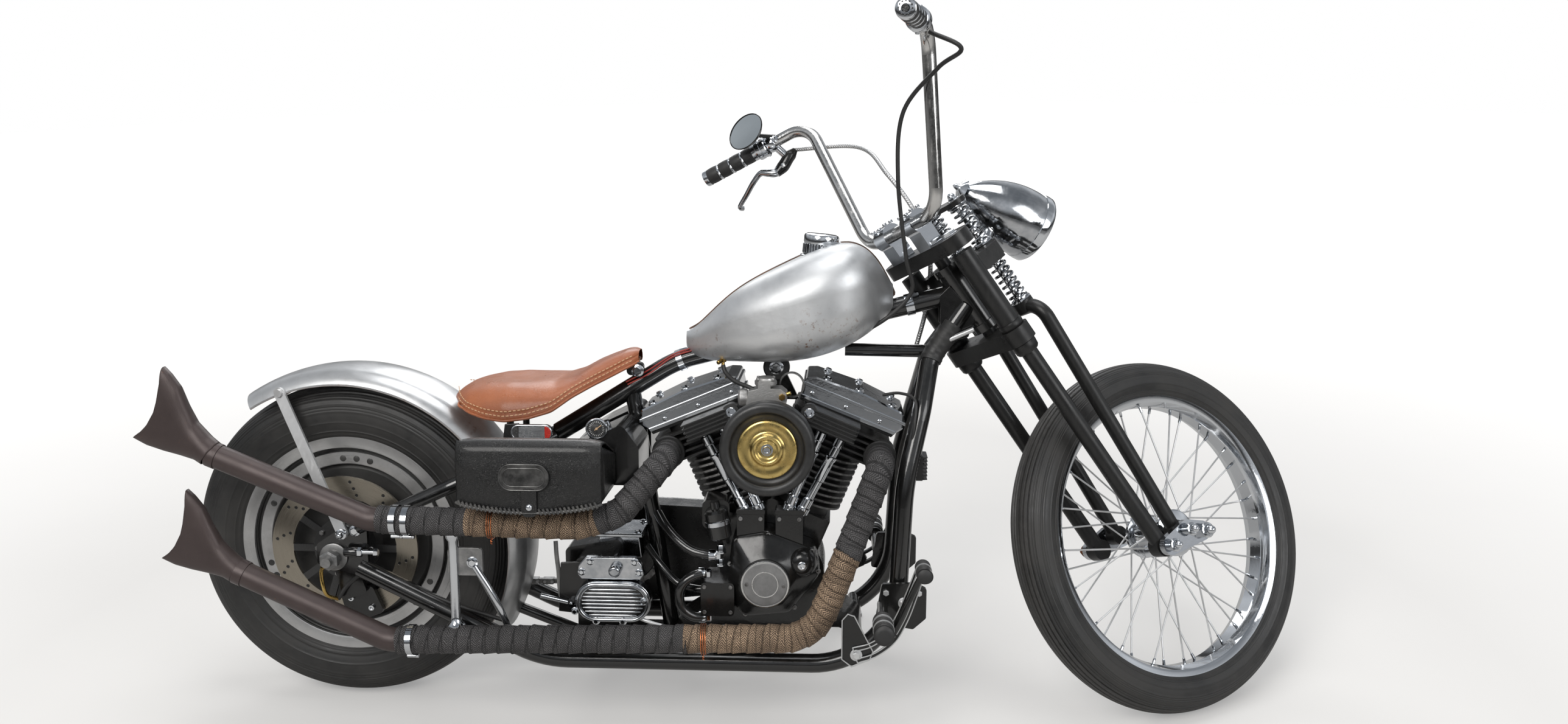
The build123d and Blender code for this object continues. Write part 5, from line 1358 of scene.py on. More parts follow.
def fishtail(base, tilt):
    """A pipe opened to a hollow-cut fan: its half heights and depth run between shares of its length."""
    way = np.array([cos(tilt), 0, sin(tilt)])
    rise = np.array([sin(tilt), 0, -cos(tilt)])
    side = np.array([0.0, 1.0, 0.0])
    share = np.linspace(0, 1, 48)[:, None]
    turn = np.linspace(0, 2 * pi, 72, endpoint=False)[None]
    top = np.interp(share, (0, 0.12, 0.34, 0.54, 0.725, 0.9, 1), (23.5, 24, 30, 46, 64, 72, 74))
    low = np.interp(share, (0, 0.12, 0.32, 0.55, 0.79, 1), (23.5, 25, 36, 50, 62, 67))
    deep = np.interp(share, (0, 0.15, 0.5, 1), (23.5, 22.5, 18, 14))
    power = np.interp(share, (0, 0.4, 1), (1.0, 0.85, 0.55))
    height = np.where(np.sin(turn) > 0, top, low) * np.sign(np.sin(turn)) * np.abs(np.sin(turn)) ** power
    depth = deep * np.sign(np.cos(turn)) * np.abs(np.cos(turn)) ** power
    last = height[-1:]
    reach = np.interp(last, (-67, -45, -28, 0, 21, 50, 74), (128, 121, 119, 123, 131, 146, 163))
    points = base + share[..., None] * reach[..., None] * way
    points = points + height[..., None] * rise + depth[..., None] * side
    return grid(points, wrap_v=True)


def exhaust_tails(upper_start, lower_start):
    """The painted tails beyond the wraps, with a joint ring, and their fishtails."""
    tails, fans = [], []
    for path, start, tilt in ((upper_path, upper_start, 140.0), (lower_path, lower_start, 143.0)):
        part = path[start:]
        tails.append(tube(part, 22.6, 48))
        way = part[-1] - part[-3]
        tails.append(
            spun([(-16, 22.4), (-16, 24.2), (-1, 24.4), (1.5, 24.0), (1.5, 22)], part[-1], way, 64))
        fans.append(fishtail(part[-1], radians(tilt)))
    piece("exhaust_tail_pipes", tails, tail_paint)
    piece("exhaust_fishtails", fans, tail_paint, thick=2.0, smooth=50)


tyres()
front_wheel_pieces()
rear_wheel_pieces()
exhaust_tails(*exhaust_wraps())


# Seat and bag
# Columns: distance ahead, half width, top and skirt's edge
seat_table = np.array(
    [(228, 58, 634, 625), (240, 80, 645, 617), (262, 107, 653, 607), (300, 125, 663, 598),
        (340, 134, 666, 594), (385, 134, 663, 600), (430, 128, 661, 613), (465, 105, 672, 637),
        (500, 79, 692, 655), (530, 62, 705, 669), (560, 48, 716, 684), (575, 38, 717, 690),
        (582, 26, 714, 694)], float)


def resampled(table, count):
    """Rows of a table at even values of its first column, eased by a short running mean."""
    first = np.linspace(table[0, 0], table[-1, 0], count)
    weights = np.hanning(9)[1:-1] / np.hanning(9).sum()
    columns = [first]
    for column in table.T[1:]:
        even = np.interp(first, table[:, 0], column)
        ends = np.concatenate([2 * even[0] - even[3:0:-1], even, 2 * even[-1] - even[-2:-5:-1]])
        columns.append(np.convolve(ends, weights, "valid"))
    return np.stack(columns, axis=1)


def seat_pieces():
    """Leather over foam: across = half width x |cos t|^0.6, up = edge + rise x sin(t)^0.8, less a dish."""
    rows = resampled(seat_table, 120)
    ahead, half, top, edge = (rows[:, k:k + 1] for k in range(4))
    t = np.linspace(0, pi, 72)[None]
    rise = (top - edge) * np.clip(np.sin(t), 0, 1) ** 0.8
    across = half * np.sign(np.cos(t)) * np.abs(np.cos(t)) ** 0.6
    dish = 10 * np.exp(-(across / 75) ** 2) * np.exp(-((ahead - 335) / 62) ** 2)
    seam = 2.2 * np.exp(-((rise - 13) / 1.6) ** 2)
    puckers = 0.5 * np.sin(ahead / 1.7) * np.exp(-((rise - 10) / 6) ** 2)
    over = np.stack([ahead + 0 * t, across * (1 - (seam + puckers) / half), edge + rise - dish], axis=2)
    spread = np.linspace(-1, 1, 18)[None]
    under = np.stack([ahead + 0 * spread, (half - 7) * spread, edge - 4 + 9 * (1 - spread ** 2)], axis=2)
    skin = np.concatenate([over, under], axis=1)
    leather = piece(
        "saddle_leather", [closed_rings(skin, False)], tan_hide, stands_for=("seat",), smooth=70)
    right = np.column_stack([rows[:, 0], -rows[:, 1], rows[:, 3]])
    welt = smooth_line(np.concatenate([right[::-5], (right * (1, -1, 1))[::5]]), 3.0)
    piece("saddle_welt", [tube(welt, 2.6, 10)], tan_hide)
    stitches = []
    for height in (9.0, 17.5):
        share = np.clip(height / (rows[:, 2] - rows[:, 3]), 0, 0.9) ** 1.25
        out = rows[:, 1] * np.cos(np.arcsin(share)) ** 0.6 + 0.5
        for way in (-1, 1):
            line = smooth_line(np.column_stack([rows[:, 0], way * out, rows[:, 3] + height])[::4], 8.5)
            for start, end in zip(line, line[1:]):
                stitches.append(rod(start, start + (end - start) * 0.62, 0.85, 6, 0.3))
    piece("saddle_stitches", stitches, thread)
    piece("saddle_nose_bracket", [plate(oval((576, 680), 17, 13, 9), -20, 12)], enamel, bevel=1.0)
    piece("saddle_nose_bolt", bolt((581, -33, 677), to_right, 9.0, 7, 6, 12.5), chrome)


def bag_pieces():
    """A pouch of rounded layers whose top falls away to the back, a laced flap, a tab and a bare plate."""
    middle = np.array([421.0, 520.0])
    half_long, half_high = 133, 64
    outline = oval(middle, half_long, half_high, 26, count=20)
    turn = np.linspace(0, pi / 2, 10)
    depths = np.concatenate(
        [[-139, -139.5, -143, -165, -190, -220, -246], -250 - 22 * np.sin(turn[1:]),
            [-273.5, -275, -276, -276.5]])
    insets = np.concatenate([[6, 2, 0, 0, 0, 0, 0], 22 * (1 - np.cos(turn[1:])), [30, 42, 56, 66]])
    layers = []
    for depth, inset in zip(depths, insets):
        flat = (outline - middle) * np.array([1 - inset / half_long, 1 - inset / half_high])
        fall = 1 - 0.62 * np.clip((depth + 250) / 110, 0, 1)
        sag = 1 - 0.12 * (flat[:, 0] / half_long) ** 4
        flat[:, 1] *= np.where(flat[:, 1] > 0, fall, sag)
        swell = 1.5 * np.sin(flat[:, 0] / 31 + 1.0) * np.sin(flat[:, 1] / 27) * (inset > 1) * (inset < 60)
        layers.append(np.column_stack([flat[:, 0] + middle[0], depth + swell, flat[:, 1] + middle[1]]))
    skin = np.stack(layers)
    pouch = piece(
        "bag_pouch", [closed_rings(skin, False)], black_hide, stands_for=("tool_bag",), smooth=70)
    ahead = np.linspace(289, 553, 90)
    reach = (ahead - middle[0]) / 132
    droop = np.abs(reach) ** 10
    hem = 458 + 15 * reach ** 2
    back = [(-141, 549), (-170, 561), (-200, 574), (-225, 584), (-245, 588)]
    corner = [(-250 - 25 * sin(a), 563 + 25 * cos(a)) for a in turn[1:]]
    top = np.array(back + corner + [(-277, 553), (-279, 540)])
    columns = []
    for side, height in top:
        inwards = side + 7 * droop * (side < -250)
        columns.append(np.column_stack([ahead, inwards, height - 7 * droop * (side > -262)]))
    for share in np.linspace(0.06, 1, 18):
        sag = 1.2 * np.sin(ahead / 23 + share * 5)
        columns.append(
            np.column_stack([ahead, -279.5 + sag * share + 9 * droop, 540 + (hem - 540) * share]))
    piece("bag_flap", [grid(np.stack(columns, axis=1))], black_hide, thick=3.0, smooth=70)
    front = -282.5 + 9 * droop
    cord = [tube(np.column_stack([ahead, front, hem + 1.5]), 2.8, 8)]
    for place in np.linspace(298, 544, 33):
        if abs(place - 424) > 18:
            low = np.interp(place, ahead, hem)
            side = np.interp(place, ahead, front)
            cord.append(
                rod((place - 3.5, side - 1.2, low + 9), (place + 2.5, side - 2.2, low - 2), 2.3, 8, 0.6))
    piece("bag_lacing", cord, lace_hide)
    piece("bag_tab", [plate(oval((424, 479), 14, 27, 10), -281.5, 3.5)], black_hide, bevel=0.8)
    dome = [(0, 0), (0, 6.5), (1.6, 6.2), (3.4, 4.4), (4.2, 2.0), (4.4, 0)]
    piece("bag_stud", [spun(dome, (424, -284.6, 470), to_right, 24)], chrome)
    badge = [plate(oval((415.5, 525), 45, 24, 22.5), -281.0, 3.8)]
    for shrink in (0, 7):
        edge = oval((415.5, 525), 44.5 - shrink, 23.5 - shrink, 22 - shrink)
        badge.append(hoop(edge, -284.8, 1.3, 8))
    piece("bag_bare_plate", badge, pewter, bevel=0.8)


def marker_lamp():
    """A small oval lamp below the seat: chrome rim, a clear half drawn dark as painted shade and a red
    half, on a black bracket.
    """
    shape = oval((400, 578), 37, 13.5, 12)
    piece("marker_lamp_body", [plate(shape, -141, 15)], chrome, bevel=1.5)
    piece("marker_lamp_rim", [hoop(shape, -157.0, 2.0, 10)], chrome)
    lens = shape * (1, 0.98) + (0, 11.6)
    # Painted shade: the clear half is an opaque dark plate in the dial's finish, for the lamp's dim inside
    # seen through the glass.
    piece("marker_lamp_clear", [plate(lens[lens[:, 0] < 397], -155.5, 3)], dial, bevel=1.0)
    piece("marker_lamp_red", [plate(lens[lens[:, 0] > 401], -155.5, 4)], red_plastic, bevel=1.2)
    bracket = ((340, 556), (372, 560), (372, 592), (345, 590))
    piece("marker_lamp_bracket", [plate(bracket, -136, 5)], enamel, bevel=1.0)


seat_pieces()
bag_pieces()
marker_lamp()


# Tank
def ray_on(node, place, way):
    """Where a ray from an upright place first meets a solid, in upright millimetres."""
    mesh = nodes[node].data
    tree = BVHTree.FromPolygons([v.co for v in mesh.vertices], [list(p.vertices) for p in mesh.polygons])
    starts = np.atleast_2d(np.asarray(place, float))
    found = [
        tree.ray_cast(Vector(parked(start).tolist()), Vector((tip @ way).tolist()))[0]
        for start in starts]
    spots = np.array([spot for spot in found if spot is not None])
    return (spots - axle_rest) @ tip * 1000 + rear_axle


def tank_pieces():
    """A rolled seam along the tank's middle, laid on by rays, a knurled cap, a petcock and its hose."""
    ahead = np.linspace(680, 1066, 60)
    over = ray_on(
        "fuel_tank", np.column_stack([ahead, 0 * ahead, 0 * ahead + 1100]), np.array([0.0, 0.0, -1.0]))
    over = over[np.abs(over[:, 0] - 938) > 34]
    front = ray_on(
        "fuel_tank", np.column_stack([np.full(8, 1140), np.zeros(8), np.linspace(838, 806, 8)]),
        np.array([-1.0, 0.0, 0.0]))
    rear = over[over[:, 0] < 938]
    ahead_part = np.vstack([over[over[:, 0] > 938], front])
    piece(
        "tank_seam", [tube(smooth_line(rear[::3], 4.0), 2.4, 10),
            tube(smooth_line(ahead_part[::3], 4.0), 2.4, 10)], seam_brown)
    way = np.array([4.0, 0.0, 42.0]) / 42.2
    base = np.array([934.0, 0.0, 897.0])
    parts = [
        spun([(-4, 30), (-4, 37), (0, 38.5), (4, 38), (6, 34)], base, way, 64),
        spun([(30, 33.2), (33, 34), (44, 34), (47, 32.5), (49, 28), (50, 0)], base - way * 3, way, 64)]
    _, first, second = square_to(way)
    for turn in np.linspace(0, 2 * pi, 36, endpoint=False):
        edge = base + 33.6 * (cos(turn) * first + sin(turn) * second)
        parts.append(rod(edge + way * 8, edge + way * 26, 1.3, 8, 0.4))
    piece("fuel_cap_trim", parts, chrome)
    stub = (751, -58, 700)
    tap = [rod((751, -58, 722), stub, 6.5, 16)] + bolt((751, -58, 716), (0, 0, -1), 10, 7)
    tap += [rod((751, -58, 705), (742, -72, 700), 4.0, 12), rod(stub, (751, -60, 690), 3.4, 12)]
    piece("tank_petcock", tap, brass_fitting)
    hose = smooth_line(
        [(751, -60, 694), (757, -66, 680), (776, -84, 667), (806, -100, 658), (822, -104, 650)])
    piece("fuel_hose", [tube(hose, 4.2, 12)], rubber)


# Engine
def cylinder_way(way):
    """The direction of a cylinder's axis."""
    return np.array([way * sin(vee_half), 0.0, cos(vee_half)])


def cylinder_outline(way, corners):
    """An outline in X and Z from corners along and across a cylinder."""
    return [tuple(on_cylinder(way, along, across)[[0, 2]]) for along, across in corners]


def head_pieces():
    """Ledges, gaskets, bolts and port flanges of both heads, with a round boss and block fins on each."""
    ledges, gaskets, bolts, bosses, flanges, fins = [], [], [], [], [], []
    for way, port in ((-1, rear_port), (1, front_port)):
        up = cylinder_way(way)
        ledges.append(
            plate(cylinder_outline(way, ((356, -88.5), (364, -90.5), (366, 108), (357, 106))), 68, 136))
        ledges.append(
            plate(cylinder_outline(way, ((381, -93), (387, -94), (389, -90), (389, 117), (382, 119.5))),
                67.6, 135.2))
        gaskets.append(
            plate(cylinder_outline(way, ((352, -87), (356.5, -87.5), (356.5, 105), (352, 103))), 67, 134))
        for spot in (-52, 14, 84):
            height = 404 + 5.6 * (1 - abs(spot - 20) / 100)
            for side in (-48, 48):
                bolts += bolt(on_cylinder(way, height, spot, side), up, 6.0, 6.5, 6, 9.0)
        for spot in (-70, 0, 70):
            bolts += bolt(on_cylinder(way, 372, spot, -66.5), to_right, 4.2, 3, 12)
        centre = np.array([crank[0] + way * 74.0, -117.0, 613.5])
        bosses.append(
            spun([(-52, 0), (-52, 16.5), (-3, 17), (0, 15.5), (0, 0)], centre, (0, -1, 0.12), 40))
        bolts.append(socket_head(centre, (0, -1, 0.12), 9.5, 6.0))
        for height in (321, 328.5, 336, 343.5, 351):
            slab = cylinder_outline(
                way, ((height, -59.5), (height + 3.6, -60.5), (height + 3.6, 38), (height, 37)))
            fins.append(plate(slab, -62, 58.5))
        flanges.append(
            spun([(0, 27), (0, 31), (2, 32), (7, 32), (9, 30), (9, 27)], port + (0, -86, 0), to_right,
                48))
    piece("rocker_cover_ledges", ledges, chrome, bevel=1.6)
    piece("rocker_cover_gaskets", gaskets, case_black, slot="cast_iron")
    piece("head_bolts", bolts, chrome)
    piece("head_bolt_bosses", bosses, fin_black)
    piece("port_flanges", flanges, fin_black)
    piece("head_block_fins", fins, fin_black, bevel=0.8)


def pushrod_trim():
    """Collars at the foot, the middle and the top of each pushrod tube: profiles turned about it."""
    parts = []
    for foot, top in (
            ((798, 414), (716, 574)), ((826, 418), (752, 586)), ((878, 418), (948, 586)),
            ((903, 414), (984, 572))):
        start = np.array([foot[0], -104.0, foot[1]])
        end = np.array([top[0], -104.0, top[1]])
        way = unit(end - start)
        length = np.linalg.norm(end - start)
        middle = length * 0.56
        for profile in (
                [(4, 8), (4, 13), (15, 13), (17, 11), (34, 11), (37, 8.3)],
                [(middle - 26, 8.4), (middle - 24, 10.2), (middle + 20, 10.2), (middle + 22, 11.6),
                    (middle + 28, 11.6), (middle + 30, 8.4)], [(length - 30, 8.4), (length - 28, 11),
                    (length - 12, 11), (length - 10, 8.4)]):
            parts.append(spun(profile, start, way, 28))
    piece("pushrod_collars", parts, chrome)


def reach_of(corners, centre, turn):
    """Distance from a centre to a polygon's edge in each direction, softened by averaging neighbours."""
    start = np.asarray(corners, float) - np.asarray(centre, float)
    edge = np.roll(start, -1, axis=0) - start
    way = np.stack([np.cos(turn), np.sin(turn)], axis=1)[:, None]
    square = way[..., 0] * edge[:, 1] - way[..., 1] * edge[:, 0]
    far = (start[:, 0] * edge[:, 1] - start[:, 1] * edge[:, 0]) / square
    along = (start[:, 0] * way[..., 1] - start[:, 1] * way[..., 0]) / square
    reach = np.where((along >= 0) & (along <= 1) & (far > 0), far, 1e6).min(axis=1)
    for _ in range(3):
        reach = (np.roll(reach, 1) + reach + np.roll(reach, -1)) / 3
    return reach


def crankcase_trim():
    """The cam cover: rings blend from its outline's reach to a circle, with a bulge, screws and rings."""
    corners = ((773, 372), (840, 384), (930, 350), (942, 300), (884, 222), (792, 212), (760, 260))
    turn = np.linspace(0, 2 * pi, 144, endpoint=False)
    reach = reach_of(corners, (838, 290), turn)
    rows = []
    for share, side in (
            (1.0, -64), (0.0, -64), (0.0, -116), (0.015, -120), (0.05, -123), (0.10, -125),
            (0.22, -128.5), (0.4, -133), (0.6, -138.5), (0.8, -144.5), (0.93, -148.5), (1.0, -150),
            (1.0, -151)):
        radius = reach * (1 - share) + 47.5 * share
        rows.append(
            np.column_stack([838 + radius * np.cos(turn), np.full(144, float(side)),
                290 + radius * np.sin(turn)]))
    piece(
        "cam_cover_dome", [closed_rings(np.stack(rows))], case_black, stands_for=("cam_cover",),
        smooth=50)
    cover_spots = (
        (781, 364), (842, 377), (926, 346), (938, 306), (893, 233), (798, 218), (766, 262), (768, 318))
    block_spots = [(crank[0] + across, up) for across in (-56, -18, 18, 56) for up in (352, 408)]
    screws = right_screws(cover_spots, -120.5, 4.6, 4.5) + right_screws(block_spots, -121.5, 4.2, 3.5)
    piece("case_screws", screws, oiled)
    bulge = [(-24, 29), (-8, 28), (1, 25.5), (7, 21), (10, 15), (11, 9), (11, 0), (-24, 0)]
    piece("cam_cover_bulge", [spun(bulge, (908, -138, 325), to_right, 48)], case_black, smooth=60)
    piece("cam_cover_nose_screw", [socket_head((908, -148, 325), to_right, 8.5, 5.0)], chrome)
    ring = [(0, 23), (0.9, 23.6), (0.9, 25.4), (0, 26)]
    rim = [(-2, 46.4), (0.6, 45.8), (1.2, 44), (0.8, 42.6), (-0.5, 42)]
    piece(
        "points_cover_rings", [spun(ring, (838, -160, 290), to_right, 64),
            spun(rim, (838, -159.6, 290), to_right, 72)], alloy)
    piece(
        "points_cover_screws", [socket_head((838 + step, -159.5, 289 - step * 0.03), to_right, 3.6,
            2.6) for step in (-35, 35)], oiled)
    folds = []
    for low, high, wide, centre in (
            (338, 346, 30, -37), (338, 346, 30, 37), (417, 425, 28, -37), (417, 425, 28, 37)):
        folds.append(plate(oval((crank[0] + centre, (low + high) / 2), wide, 5, 4.5), -86, 37.5))
    piece("lifter_block_flanges", folds, case_black, bevel=1.0)


def oil_lines():
    """The oil switch's banded can, three hoses with chrome ends, pump screws and a thin clutch rod."""
    can = [
        (0, 0), (0, 19), (3, 22), (26, 22), (27, 23.5), (37, 23.5), (38, 22), (52, 22), (57, 18), (59, 9),
        (72, 8), (72, 0)]
    piece("oil_switch_can", [spun(can, (752, -132, 372), (-0.18, 0, 1), 44)], enamel)
    piece(
        "oil_switch_band", [spun([(27, 23.6), (28, 24.4), (36, 24.4), (37, 23.6)], (752, -132, 372),
            (-0.18, 0, 1), 44)], chrome)
    upper = smooth_line(
        [(622, -70, 402), (640, -92, 382), (662, -108, 362), (690, -122, 345), (716, -128, 338),
            (742, -128, 336)])
    loop = smooth_line(
        [(722, -128, 300), (702, -134, 297), (681, -138, 283), (672, -138, 258), (678, -138, 232),
            (698, -134, 215), (722, -128, 212)])
    back = smooth_line(
        [(600, -60, 330), (628, -80, 300), (664, -94, 268), (700, -108, 262), (716, -110, 262)])
    piece("oil_hoses", [tube(upper, 9.0, 18), tube(loop, 9.5, 18), tube(back, 7.0, 16)], gloss_hose)
    ends = []
    for place, way in (
            ((742, -128, 336), (1, 0, 0)), ((722, -128, 300), (1, 0, 0)), ((722, -128, 212), (1, 0, 0))):
        ends.append(spun([(-14, 9.2), (-13, 11), (-2, 11), (0, 9.5), (2, 8)], place, way, 28))
        ends += bolt(np.array(place) + np.array(way) * 2.0, way, 9.0, 9)
    ends += bolt((752, -130, 344), (0, 0, 1), 8.0, 14, 6, 10.0)
    ends += bolt((752, -130, 318), (0, 0, 1), 6.0, 12, 6, 8.0)
    piece("oil_fittings", ends, chrome)
    corners = ((721, 278), (771, 278), (721, 228), (771, 228))
    piece("oil_pump_screws", right_screws(corners, -143.5, 3.8, 3.0), oiled)
    thin = smooth_line(
        [(566, -130, 226), (590, -136, 212), (626, -140, 200), (668, -136, 190), (700, -120, 186)])
    piece("clutch_arm_rod", [tube(thin, 3.6, 10)], zinc)


def carburettor_pieces():
    """Stepped castings, brass jets and a throttle wheel above the air cleaner, and the engine's mount."""
    shapes = [
        plate(((800, 628), (812, 622), (868, 622), (876, 634), (876, 652), (866, 660), (846, 661),
            (846, 676), (824, 676), (822, 660), (804, 656)), -84, 44),
        spun([(0, 0), (0, 19), (3, 21), (9, 21), (11, 18), (15, 17), (17, 12), (17, 0)], (836, -106, 664),
            (0, 0, 1), 36), spun([(0, 0), (0, 15), (4, 17), (14, 17), (18, 12), (18, 0)],
            (802, -106, 640), (-1, 0, 0), 30)]
    for ahead, side in ((822, -96), (850, -96), (822, -118), (850, -118)):
        shapes.append(socket_head((ahead, side, 676), (0, 0, 1), 3.4, 4))
    piece("carburettor_body", shapes, sand_alloy, bevel=1.4)
    jets = bolt((868, -128, 646), to_right, 6.5, 8) + bolt((858, -128, 632), to_right, 5, 5, 6)
    jets.append(rod((872, -118, 648), (884, -118, 652), 4.2, 14))
    piece("carburettor_jets", jets, brass_fitting)
    rings = []
    for side in (-60, -66):
        rings.append(
            spun([(-1.2, 22), (-1.2, 25), (1.2, 25), (1.2, 22)], (884, side, 658), (0.25, 1, 0), 40))
    piece("throttle_wheel", rings, oiled)
    mount = [
        spun([(0, 0), (0, 24), (3, 26), (11, 26), (14, 23), (15, 13), (15, 0)], (852, -13, 685), to_right,
            48)]
    piece("engine_mount_rubber", mount, rubber)
    piece("engine_mount_bolt", bolt((852, -27, 685), to_right, 10.5, 8, 6, 14.0), chrome)


def air_cleaner_pieces():
    """A rounded black ring round a spun brass dish: both are profiles turned about the cleaner's axis."""
    centre = (844.0, -160.0, 561.0)
    turn = np.linspace(0, pi, 14)
    rounded = [(38 + 7.5 * sin(a), 78 + 10 * cos(a)) for a in turn]
    body = [(0, 0), (0, 44), (3, 46), (5, 80), (8, 87), (14, 88), (30, 88)] + rounded
    body += [(36, 67), (33, 64), (31, 58), (31, 0)]
    piece(
        "air_cleaner_ring", [spun(body, centre, to_right, 128)], cleaner_black,
        stands_for=("air_cleaner",), smooth=40)
    dish = [
        (30, 55), (38, 55), (39.5, 54), (40.5, 50), (40, 42), (39, 35), (40, 31.5), (43.5, 29),
        (46, 26.5), (46.4, 23.5), (44, 20), (41, 18), (40, 15), (40, 0)]
    piece("air_cleaner_dish", [spun(dish, centre, to_right, 128)], brass, smooth=50)
    screw = [(39, 0), (39, 11), (41, 11), (41, 8), (46, 8), (48, 6.5), (48, 4), (44.5, 3.6), (44.5, 0)]
    piece("air_cleaner_screw", [spun(screw, centre, to_right, 36)], chrome)


def gearbox_pieces():
    """Chrome boxes and flanges, and an oval cover with level ribs inside its rim."""
    oval_middle = (544, 243)
    slabs = [
        plate(((500, 308), (590, 308), (584, 356), (506, 356)), 24, 92),
        plate(((497, 350), (593, 350), (591, 358), (500, 358)), 28, 100),
        plate(((482, 284), (596, 284), (604, 296), (598, 316), (588, 329), (490, 329), (476, 312),
            (474, 294)), -117, 15), plate(oval(oval_middle, 73, 40, 38.5), -117, 25)]
    slabs.append(spun([(0, 0), (0, 12), (16, 12), (20, 8), (20, 0)], (549, -132, 306), to_right, 30))
    piece("gearbox_chrome_covers", slabs, box_chrome, stands_for=("gearbox_cover",), bevel=2.6)
    piece(
        "gearbox_backing_plate", [plate(((434, 216), (492, 210), (494, 318), (440, 314)), -117, 7)],
        case_black, bevel=1.5)
    inner = oval(oval_middle, 62, 30, 29)
    piece("gearbox_oval_inside", [plate(inner, -141, 1.6)], case_black)
    bars = [hoop(oval(oval_middle, 67.5, 35, 33.5), -143.0, 4.0, 12)]
    for height in np.linspace(-25.5, 25.5, 8):
        half = 32 + np.sqrt(max(0.0, 30.0 ** 2 - height ** 2)) - 2
        line = np.column_stack(
            [np.linspace(-half, half, 12) + oval_middle[0], np.full(12, -143.5),
                np.full(12, oval_middle[1] + height)])
        bars.append(
            tube(line, np.interp(np.linspace(0, 1, 12), (0, 0.06, 0.94, 1), (1.0, 2.4, 2.4, 1.0)), 10))
    piece("gearbox_level_ribs", bars, box_chrome)
    bolts = []
    for ahead, height, side in (
            (511, 205, -142), (563, 205, -142), (604, 246, -142), (470, 224, -142), (500, 321, -132),
            (586, 321, -132), (594, 300, -132), (483, 300, -132)):
        bolts += bolt((ahead, side, height), to_right, 5.0, 6, 6, 7.5)
    for ahead, side in ((512, -56), (580, -56), (512, 12), (580, 12)):
        bolts += bolt((ahead, side, 358), (0, 0, 1), 5.0, 5, 6, 8.0)
    lever = [
        rod((462, -126, 234), (404, -146, 256), 4.6, 14),
        spun([(-5, 5), (-5, 10), (5, 10), (5, 5)], (462, -128, 234), to_right, 28)]
    piece("gearbox_bolts", bolts + lever, chrome)
    breather = smooth_line(
        [(417, -62, 338), (420, -70, 312), (424, -74, 280), (425, -72, 245), (430, -66, 210),
            (444, -60, 196)])
    piece("gearbox_grey_hose", [tube(breather, 4.5, 12)], pale_hose)


def oil_gauge():
    """A round gauge on the oil tank's filler: chrome bezel, dark dial and a pale pointer."""
    centre = np.array(gauge_centre)
    stem = [rod(centre + (0, 6, -2), centre + (0, 26, -14), 12, 28)]
    bezel = [(-8, 0), (-8, 17), (-4, 20), (1, 21), (3, 20), (3.5, 18), (2, 17.2), (1, 17)]
    piece("oil_gauge_bezel", [spun(bezel, centre, to_right, 56)] + stem, chrome)
    piece("oil_gauge_dial", [spun([(0.4, 17.2), (0.8, 16), (0.8, 0)], centre, to_right, 48)], dial)
    piece(
        "oil_gauge_pointer", [rod(centre + (-4, -1.8, -3), centre + (9, -1.8, 7), 0.8, 8, 0.3),
            spun([(0.8, 0), (0.8, 2.4), (2.4, 2.0), (2.6, 0)], centre, to_right, 20)], thread,
        slot="bright_chrome")


tank_pieces()
head_pieces()
pushrod_trim()
crankcase_trim()
oil_lines()
carburettor_pieces()
air_cleaner_pieces()
gearbox_pieces()
oil_gauge()


# Fork and bars
def fork_line(stations):
    """Upright places on the unturned fork from rows of up, ahead and side."""
    rows = np.asarray(stations, float)
    return steer_foot + rows[:, :1] * steer_up + rows[:, 1:2] * steer_ahead + rows[:, 2:] * np.array(
        [0.0, 1.0, 0.0])


def spring_pieces():
    """Coil springs: centre + radius x (cos, sin), rising evenly, with end cups and a tube inside."""
    wires, cups = [], []
    for low, high in ((558.0, 656.0), (690.0, 784.0)):
        for side in (-44.0, 44.0):
            turn = np.linspace(0, 2 * pi * 8.5, 230)
            rise = low + 4 + (high - low - 8) * np.clip((turn - 4) / (turn[-1] - 8), 0, 1)
            coil = fork_line(np.column_stack([rise, 71 + 16 * np.cos(turn), side + 16 * np.sin(turn)]))
            wires.append(tube(coil, 2.9, 8))
            for spot, way in ((low, 1), (high, -1)):
                cups.append(
                    spun([(0, 9), (0, 20), (2, 21), (4, 20.5), (5, 13), (9, 11.5), (9, 9)],
                        on_fork(spot, 71, side), steer_up * way, 36))
            cups.append(spun([(0, 7.5), (high - low, 7.5)], on_fork(low, 71, side), steer_up, 20))
    piece("fork_spring_coils", wires, box_chrome, "fork", stands_for=("springs",))
    piece("fork_spring_cups", cups, chrome, "fork")


def acorn(centre, way, radius):
    """A domed nut: a six-sided foot under a rounded cap."""
    cap = [(0.5, 0), (0.5, 0.86), (0.95, 0.82), (1.35, 0.6), (1.6, 0.28), (1.66, 0)]
    foot = bolt(centre, way, radius, radius * 0.7, 6, radius * 1.35)
    return foot + [spun(np.array(cap) * radius, centre, way, 28)]


